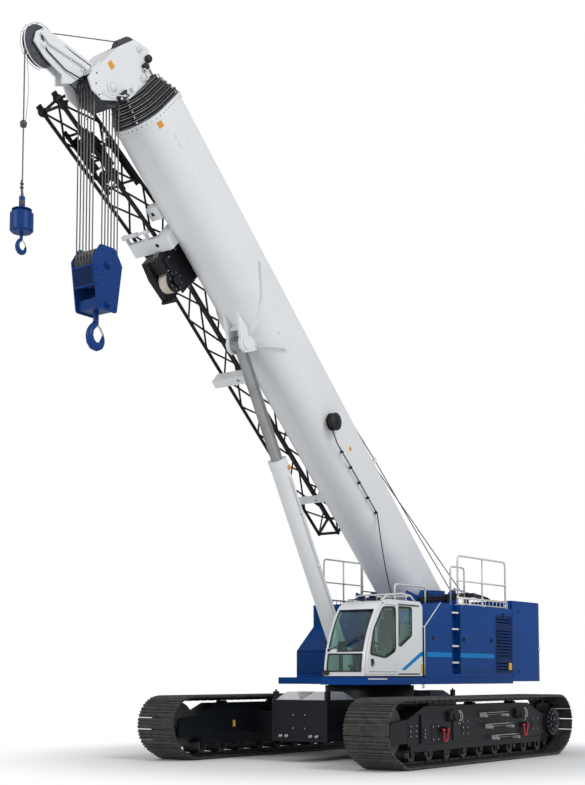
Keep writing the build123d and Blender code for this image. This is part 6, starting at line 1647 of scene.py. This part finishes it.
# %% Forged hooks
HOOK_LINE = ((0.0, 3.1, 0.47), (0.04, 2.6, 0.49), (0.32, 2.15, 0.53), (0.92, 1.6, 0.55), (1.32, 0.95, 0.60),
             (1.46, 0.1, 0.66), (1.22, -0.75, 0.72), (0.60, -1.36, 0.76), (-0.20, -1.50, 0.74),
             (-0.95, -1.22, 0.64), (-1.42, -0.62, 0.50), (-1.60, 0.05, 0.36), (-1.63, 0.50, 0.22),
             (-1.62, 0.68, 0.10))               # out, up and radius, in throat radii
NECK = 0.47


def forged(name, hook, top, body):
    """A hook in the X-Z plane whose mouth opens to the rear, with its shank and nut."""
    x, centre, throat = hook
    bar = Shape()
    line = [(0.0, (top - centre) / throat, NECK)] + list(HOOK_LINE)
    bends = [[p + (q - p) * i / 3 for p, q in zip(here, after)] for here, after in zip(line, line[1:])
             for i in range(3)] + [line[-1]]
    path = [(x + throat * a, 0.0, centre + throat * b) for a, b, _ in bends]
    bar.tube(path, [throat * r for _, _, r in bends], 20)
    bar.turned([(-0.62 * throat, 0.8 * throat), (0.0, 0.8 * throat)], (x, 0.0, top), (0, 0, 1), 6)
    piece = bar.piece(name + "_forged", "hook_blue", body, "hook_blue")
    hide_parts(name)


forged("main_hook", MAIN_HOOK, 7.61, "main_hook")
forged("aux_hook", AUX_HOOK, 8.25, "aux_hook")

# %% [markdown]
# When a hook is hoisted, its falls get shorter. A rigid rope would poke through the block instead. Each
# fall is drawn with many rings, as a free piece that is attached to neither the head nor the hook.

# %% Falls that shorten
FALL_STEPS = 24


def falls(name, places, top, foot, radius, node):
    """Upright ropes between two heights, in one free piece that is attached to no body."""
    shape = Shape()
    for x, y in places:
        shape.tube([(x, y, top + (foot - top) * i / FALL_STEPS) for i in range(FALL_STEPS + 1)], radius, 8)
    piece = shape.piece(name, "wire_rope", None, "wire_rope")
    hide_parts(node)
    x, y = places[0]
    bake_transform(piece)


main_places = [(BLOCK_X + way * WRAP, y) for way in (1, -1) for y in GROOVES]
falls("main_falls", main_places, HEAD.z, BLOCK_AXLE.z, ROPE, "main_ropes")
falls("aux_fall", [(AUX_ROPE_X, 0.0)], AUX.z, 8.80, ROPE, "aux_rope")

# %% [markdown]
# A short winch beside the boom carries a pale fibre rope for rigging the jib. Its turns lie side by side, so
# the wound drum is one turned shape with a ridge for each turn. The mounts get black discs at their pin
# holes, painted shade in the holes, and the folded stays, sheave and pins lie between the jib's chords near
# its tip.

# %% Jib winch and mounts
DRUM_AT = (9.72, -0.9475)                       # along, up
WOUND_Y, TURNS = (-0.715, -0.527), 9
DRUM_CORE, TURN_RIDGE = 0.15, ((0.05, 0.184), (0.3, 0.193), (0.7, 0.193), (0.95, 0.184))
CHEEK_Y = -0.470
PIN_HOLES = ((10.38, -0.556, -0.815), (10.86, -0.47, -0.6115), (7.38, -0.556, -0.68))     # along, across, up
MOUNT_BOLTS = ((10.38, 0.091, -0.60, -0.823), (10.86, 0.084, -0.40, -0.610))    # along, spread, across, up
BAR_AT = (10.66, -0.79)                         # along, up

coil, cheek, pins, holes, white = (Shape(on_boom) for _ in range(5))
turn_width = (WOUND_Y[1] - WOUND_Y[0]) / TURNS
ridges = [(turn_width * (i + share), radius) for i in range(TURNS) for share, radius in TURN_RIDGE]
coil.turned([(0.0, DRUM_CORE)] + ridges + [(turn_width * TURNS, DRUM_CORE)],
            (DRUM_AT[0], WOUND_Y[0], DRUM_AT[1]), (0, 1, 0), 48)
bolt_circle(pins, (DRUM_AT[0], CHEEK_Y, DRUM_AT[1]), (0, 1, 0), 0.15, 8, 0.0, 0.010, 0.010)
for along, up in ((9.45, -0.72), (9.45, -0.52), (10.12, -0.55), (10.12, -0.80)):
    bolt(pins, (along, CHEEK_Y, up), (0, 1, 0), 0.016, 0.012)
for y in (-0.62, -0.56):
    clip = [(10.24, y, -1.0), (10.27, y, -0.95), (10.27, y, -0.80), (10.23, y, -0.76)]
    pins.tube(rounded(clip, 0.03), 0.008, 6)
boss(cheek, (DRUM_AT[0], -0.452, DRUM_AT[1]), (0, 1, 0), 0.085, 0.018, 0.006, 0.015, sides=24)
cheek.box((9.42, -0.86, -1.155), (9.47, -0.50, -1.12))
coil.piece("winch_rope", "cream_rope", "boom", "wire_rope")
pins.piece("jib_winch_bolts", "bolt_steel", "boom", "black_paint")
cheek.piece("jib_winch_cap", "black_paint", "boom", "black_paint")

# Black discs at the pin holes: painted shade in the holes.
for at in PIN_HOLES:
    boss(holes, at, (0, 0, 1), 0.039, 0.006, sunk=0.001)
eye = [(0.004, 0.040), (-0.012, 0.040), (-0.012, 0.060), (0.004, 0.060)]
white.turned(eye, (10.86, -0.47, -0.612), (0, 0, 1), 24)
along, up = BAR_AT
white.tube([(along, -1.17, up), (along, -0.86, up)], 0.040, 16)
white.tube([(along, -0.87, up), (along, -0.64, up)], 0.022, 12)
for y in (-1.18, -0.65):
    white.turned([(-0.03, 0.03), (-0.03, 0.05), (0.03, 0.05), (0.03, 0.03)], (along, y, up), (1, 0, 0), 16)
for y in (-1.14, -0.69):
    white.box((10.50, y - 0.012, -0.83), (10.68, y + 0.012, -0.75))
for along, spread, across, up in MOUNT_BOLTS:
    for shift in (-spread, spread):
        bolt(white, (along + shift, across, up), (0, 0, -1), 0.014, 0.012)
white.piece("mount_fittings", "white_paint", "boom", "white_paint")
holes.piece("mount_holes", "black_paint", "boom", "black_paint")

# %% [markdown]
# Near the jib's tip its rigging is folded away: flat stays lie beside the chords, joined by cross pins, with
# two sheaves between them. They follow the lower chords, so a line gives the chords' height along the boom.

# %% Folded stays
CHORD_START, CHORD_END = (9.40, -0.52), (13.23, -1.04)      # along, up
STAY_SIDES = (-0.67, -1.03)
STRAPS = ((11.45, 12.75, 0.045, 0.085), (11.90, 12.55, 0.10, 0.16), (11.35, 12.30, 0.40, 0.09))
STRAP_THICK = 0.02
CROSS_PINS = ((11.55, 0.09), (12.10, 0.09), (12.65, 0.09), (11.45, 0.44), (12.2, 0.44))     # along, lift
TIP_SHEAVES = ((12.35, 0.20, 0.15), (11.75, 0.16, 0.11))    # along, lift, radius


def jib_line(along):
    """The height of the jib's lower chords over the foot pin's line, near the tip."""
    (a0, u0), (a1, u1) = CHORD_START, CHORD_END
    return u0 + (u1 - u0) * (along - a0) / (a1 - a0)


def strap(y, first, last, lift, wide):
    """A flat bar beside a chord, along the jib."""
    low = [(along, jib_line(along) + lift) for along in (first, last)]
    outline = low + [(a, u + wide) for a, u in reversed(low)]
    stays.plate(outline, y - STRAP_THICK / 2, y + STRAP_THICK / 2)


stays = Shape(on_boom)
for y in STAY_SIDES:
    for sizes in STRAPS:
        strap(y, *sizes)
    for along in (11.55, 12.1, 12.65):
        sleeve(stays, (along, y, jib_line(along) + 0.09), (0, 1, 0), 0.03, 0.042, 0.004, 0.007, 14)
for along, lift in CROSS_PINS:
    stays.tube([(along, y, jib_line(along) + lift) for y in STAY_SIDES[::-1]], 0.022, 10)
for along, lift, radius in TIP_SHEAVES:
    up, groove = jib_line(along) + lift, radius * 0.86
    rim = [(-0.028, radius), (-0.016, radius), (-0.006, groove), (0.006, groove), (0.016, radius),
           (0.028, radius)]
    for y in (-0.95, -0.75):
        stays.turned(rim, (along, y, up), (0, 1, 0), 28)
    stays.tube([(along, -1.05, up), (along, -0.65, up)], 0.03, 12)
stays.tube([(12.0, -0.72, jib_line(12.0) - 0.02), (12.02, -0.72, -1.05), (11.85, -0.72, -1.08)], 0.014, 8)
stays.tube([(11.68, -0.66, -0.76), (11.64, -0.66, -1.03)], 0.012, 8)
stays.box((12.50, -0.72, -0.95), (12.66, -0.62, -0.80))
for y in (-0.61, -1.09):
    for lift in (0.0, 0.48):
        sleeve(stays, (13.20, y, jib_line(13.18) + lift), (0, 1, 0), 0.06, 0.06, 0.005, 0.01)
stays.piece("jib_stays", "black_paint", "boom", "black_paint")

# %% [markdown]
# The luffing cylinder has an oil pipe along its barrel, held by clips, and a small label. All are placed
# along the line from its foot to its upper pin, so they stay with the barrel when it swings.

# %% Luffing cylinder
CYLINDER_FOOT, CYLINDER_PIN = Vector((0.9, 0.0, 1.8)), on_boom((8.187, 0.0, -0.841))
PIPE_SIDE = 0.195
cylinder_way = (CYLINDER_PIN - CYLINDER_FOOT).normalized()
cylinder_out = Vector((cylinder_way.z, 0.0, -cylinder_way.x))


def on_cylinder(point):
    """Along the barrel from its foot pin, across to the left, and out towards the front."""
    along, across, out = point
    return CYLINDER_FOOT + cylinder_way * along + Vector((0, 1, 0)) * across + cylinder_out * out


barrel_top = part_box("luff_barrel")[1][2]
barrel_long = (barrel_top - CYLINDER_FOOT.z) / cylinder_way.z - 0.06
label, piping, clamps = (Shape(on_cylinder) for _ in range(3))
pipe = [(0.45, 0.16, 0.02), (0.6, PIPE_SIDE, 0.02), (barrel_long - 0.45, PIPE_SIDE, 0.02),
        (barrel_long - 0.3, 0.15, 0.02)]
piping.tube(rounded(pipe, 0.08), 0.014, 8)
for share in (0.25, 0.5, 0.75):
    middle = barrel_long * share
    clamps.box((middle - 0.02, 0.15, -0.01), (middle + 0.02, 0.212, 0.05))
label.box((4.19, 0.1775, -0.10), (4.28, 0.1815, -0.02))
label.piece("cylinder_label", "label_orange", "luff_barrel", "white_paint")
piping.piece("cylinder_pipe", "white_paint", "luff_barrel", "white_paint")
clamps.piece("cylinder_clamps", "white_paint", "luff_barrel", "white_paint")
print("barrel's length:", round(barrel_long, 2))

# %% [markdown]
# Between the boom and the housings stand the plates that carry the boom's foot and the winches. Hydraulic
# hoses lie in a bundle along them. A dark sheet behind the intake's perforated panels makes the holes read
# as holes, because behind the real ones there is only the radiator's shade.

# %% Foot plates, hoses and small deck parts
FOOT_PROFILE = [(-0.45, 3.04), (-0.45, 3.36), (-0.92, 3.27), (-1.04, 3.40), (-1.99, 3.43), (-2.03, 3.24),
                (-2.20, 3.42), (-2.46, 3.52), (-2.56, 3.04)]
FOOT_INNER, FOOT_OUTER = 0.60, 0.63
BACK, SHADE = 0.0015, 0.001             # how far the dark sheet lies behind the panels, and its thickness
DECK_EYE_AT, DECK_EYE_RADIUS = (0.389, 1.5, 1.415), 0.032

brackets, bundle, shade, strip, eye = (Shape() for _ in range(5))
for side in (1, -1):
    brackets.plate(FOOT_PROFILE, *sorted((side * FOOT_INNER, side * FOOT_OUTER)))
    for x, z in ((-0.70, 3.18), (-1.5, 3.30), (-2.30, 3.30)):
        boss(brackets, (x, side * FOOT_OUTER, z), (0, side, 0), 0.05, 0.028, 0.008, 0.015, sunk=0.004)
    for number in range(4):
        y, lift = side * (0.655 + 0.022 * (number % 2)), 0.03 * number
        run = [(-0.85, y, 3.14 + lift), (-1.6, y, 3.20 + lift), (-2.5, y, 3.30 + lift),
               (-3.2, y, 3.36 + lift * 0.8), (-3.9, y, 3.30 + lift * 0.6), (-4.3, y, 3.10)]
        bundle.tube(rounded(run, 0.5), 0.014, 8)
    y0, y1 = sorted((side * FOOT_OUTER, side * 0.70))
    for x, top in ((-1.2, 3.36), (-2.0, 3.36), (-2.9, 3.44)):
        bundle.box((x - 0.02, y0, 3.12), (x + 0.02, y1, top))
brackets.piece("foot_plates", "blue_paint", "upper", "blue_paint", bevel=0.003)
bundle.piece("winch_hoses", "rubber", "upper", "black_paint")

for x, low, high in ((FRONT_X, 1.70, 2.12), (BACK_X, 2.70, 3.04)):
    shade.box((x - BACK - SHADE, INTAKE_Y[0], low), (x - BACK, INTAKE_Y[1], high))
out = Vector((slope.z, 0, -slope.x)).normalized()
front, rear = low_edge - out * BACK, low_edge - out * BACK + slope
shade.plate([(p.x, p.z) for p in (front, rear, rear - out * SHADE, front - out * SHADE)], *INTAKE_Y)
shade.piece("intake_shade", "black_paint", "upper", "black_paint")

strip.box((1.914, 1.634, 1.548), (2.549, 1.645, 1.572))
strip.piece("deck_strip", "white_paint", "upper", "white_paint", bevel=0.002)
x, y, z = DECK_EYE_AT
turns = [math.radians(turn) for turn in range(90, 451, 24)]
eye.tube([(x + DECK_EYE_RADIUS * math.cos(t), y, z + DECK_EYE_RADIUS * math.sin(t)) for t in turns], 0.008, 8)
eye.piece("deck_eye", "bolt_steel", "upper", "black_paint")
print("intake's slope:", [round(v, 2) for v in slope])

# %% [markdown]
# Last come the edges of the solids themselves. A bevel of a few millimetres is far too small to see as a
# shape, but it catches a thin light along each plate's edge, and without it every corner looks cut from
# paper.

# %% Edges that catch the light
for name, width in BEVELLED.items():
    soften_edges(nodes[name], width)
print("softened", len(BEVELLED), "solids")

# %% [markdown]
# The camera stands where the photographer stood: low, ahead of the machine and to its left, about
# twenty-eight metres off. A lens near sixty millimetres gives the same perspective. Part of the upward look
# is lens shift, which keeps the uprights nearly parallel, and the rest is tilt.

# %% Camera
CAMERA_PLACE = Vector((22.132, 14.477, 1.603))
CAMERA_HEADING = math.radians(-143.42)
CAMERA_TILT = math.radians(4.92)
PHOTO_SIZE = (585, 785)
PHOTO_FOCUS = 1294.0      # focal length in the photo's pixels
SENSOR = 36.0
LENS_SHIFT = 0.22         # share of the photo's height

level = Vector((math.cos(CAMERA_HEADING), math.sin(CAMERA_HEADING), 0.0))
look = level * math.cos(CAMERA_TILT) + Vector((0.0, 0.0, math.sin(CAMERA_TILT)))
camera_data = bpy.data.cameras.new("camera")
camera_data.sensor_width = SENSOR
camera_data.lens = PHOTO_FOCUS * SENSOR / PHOTO_SIZE[1]
camera_data.shift_y = LENS_SHIFT
camera = bpy.data.objects.new("camera", camera_data)
camera.location = CAMERA_PLACE
camera.rotation_mode = "QUATERNION"
camera.rotation_quaternion = look.to_track_quat("-Z", "Y")
bpy.context.scene.collection.objects.link(camera)
bpy.context.scene.camera = camera
print("lens", round(camera_data.lens, 1), "mm")

# %% [markdown]
# A studio for a crane is a white cyclorama under a big soft sky. The world is that sky: the camera, gloss and
# glass see it pure white, and what it sheds on the paint is held down so that white paint keeps its shading.
# Two broad area lamps give the near side its modelling.

# %% Sky, lamps and floor
SKY_LIGHT = 0.5
FLOOR_SIZE = 400.0
SHADOW_REACH = (4.2, 8.5)   # the floor's own shading fades to white between these distances

bpy.context.scene.view_settings.view_transform = "Standard"
world = bpy.data.worlds.new("sky")
world.use_nodes = True
bpy.context.scene.world = world
sky = Wire(world.node_tree)
outputs = (("camera", 0), ("glossy", 3), ("through", 6))
path = {name: sky.node("ShaderNodeLightPath", output=number) for name, number in outputs}
seen = sky.math("MAXIMUM", path["camera"], path["through"])
background = next(n for n in world.node_tree.nodes if n.type == "BACKGROUND")
background.inputs["Color"].default_value = colour(1.0)
strength = seen * (1 - SKY_LIGHT) + SKY_LIGHT
world.node_tree.links.new(strength.socket, background.inputs["Strength"])


def lamp(name, at, target, size, power, tone=(1.0, 1.0, 1.0)):
    """A large square area lamp that faces a point."""
    data = bpy.data.lights.new(name, "AREA")
    data.shape = "SQUARE"
    data.size = size
    data.energy = power
    data.color = tone
    made = bpy.data.objects.new(name, data)
    made.location = at
    made.rotation_mode = "QUATERNION"
    made.rotation_quaternion = (Vector(target) - Vector(at)).to_track_quat("-Z", "Y")
    bpy.context.scene.collection.objects.link(made)
    return made


lamp("key_lamp", (9.0, 26.0, 24.0), (0.0, 0.0, 4.0), 12.0, 4200.0)
lamp("front_lamp", (30.0, -6.0, 16.0), (0.0, 0.0, 4.0), 12.0, 1800.0)

floor_mesh = bpy.data.meshes.new("floor")
half = FLOOR_SIZE / 2
floor_mesh.from_pydata([(x, y, 0) for x, y in rectangle(-half, half, -half, half)], [], [(0, 1, 2, 3)])
floor = bpy.data.objects.new("floor", floor_mesh)
bpy.context.scene.collection.objects.link(floor)
floor_shader, wire = new_finish("floor_white")
feed(floor_shader, wire, Base_Color=colour((0.86, 0.865, 0.87)), Roughness=0.9)
far = wire.node("ShaderNodeVectorMath", {"operation": "LENGTH"}, {0: place(wire)}, 1)
fade = wire.node("ShaderNodeMapRange", {"interpolation_type": "SMOOTHSTEP"},
                 {"Value": far, "From Min": SHADOW_REACH[0], "From Max": SHADOW_REACH[1]})
seen_white = wire.node("ShaderNodeLightPath", output=0)
glow = wire.node("ShaderNodeEmission", {}, {"Color": colour(1.0), "Strength": 1.0})
sockets = {0: fade * seen_white, 1: Wire(wire.tree, floor_shader.outputs[0]), 2: glow}
mixed = wire.node("ShaderNodeMixShader", {}, sockets)
floor_output = next(n for n in wire.tree.nodes if n.type == "OUTPUT_MATERIAL")
wire.tree.links.new(mixed.socket, floor_output.inputs["Surface"])
floor_mesh.materials.append(finishes["floor_white"])
floor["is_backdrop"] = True
print("sky, two lamps and the floor")

# %% [markdown]
# The last cell measures the dressed crane beside the size of the solids, and counts the pieces made.

# %% Measure and finish
dressed_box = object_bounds()
sizes = {"cad": [list(corner) for corner in cad_box], "visual": [list(corner) for corner in dressed_box]}
print("pieces made:", len(made_pieces))
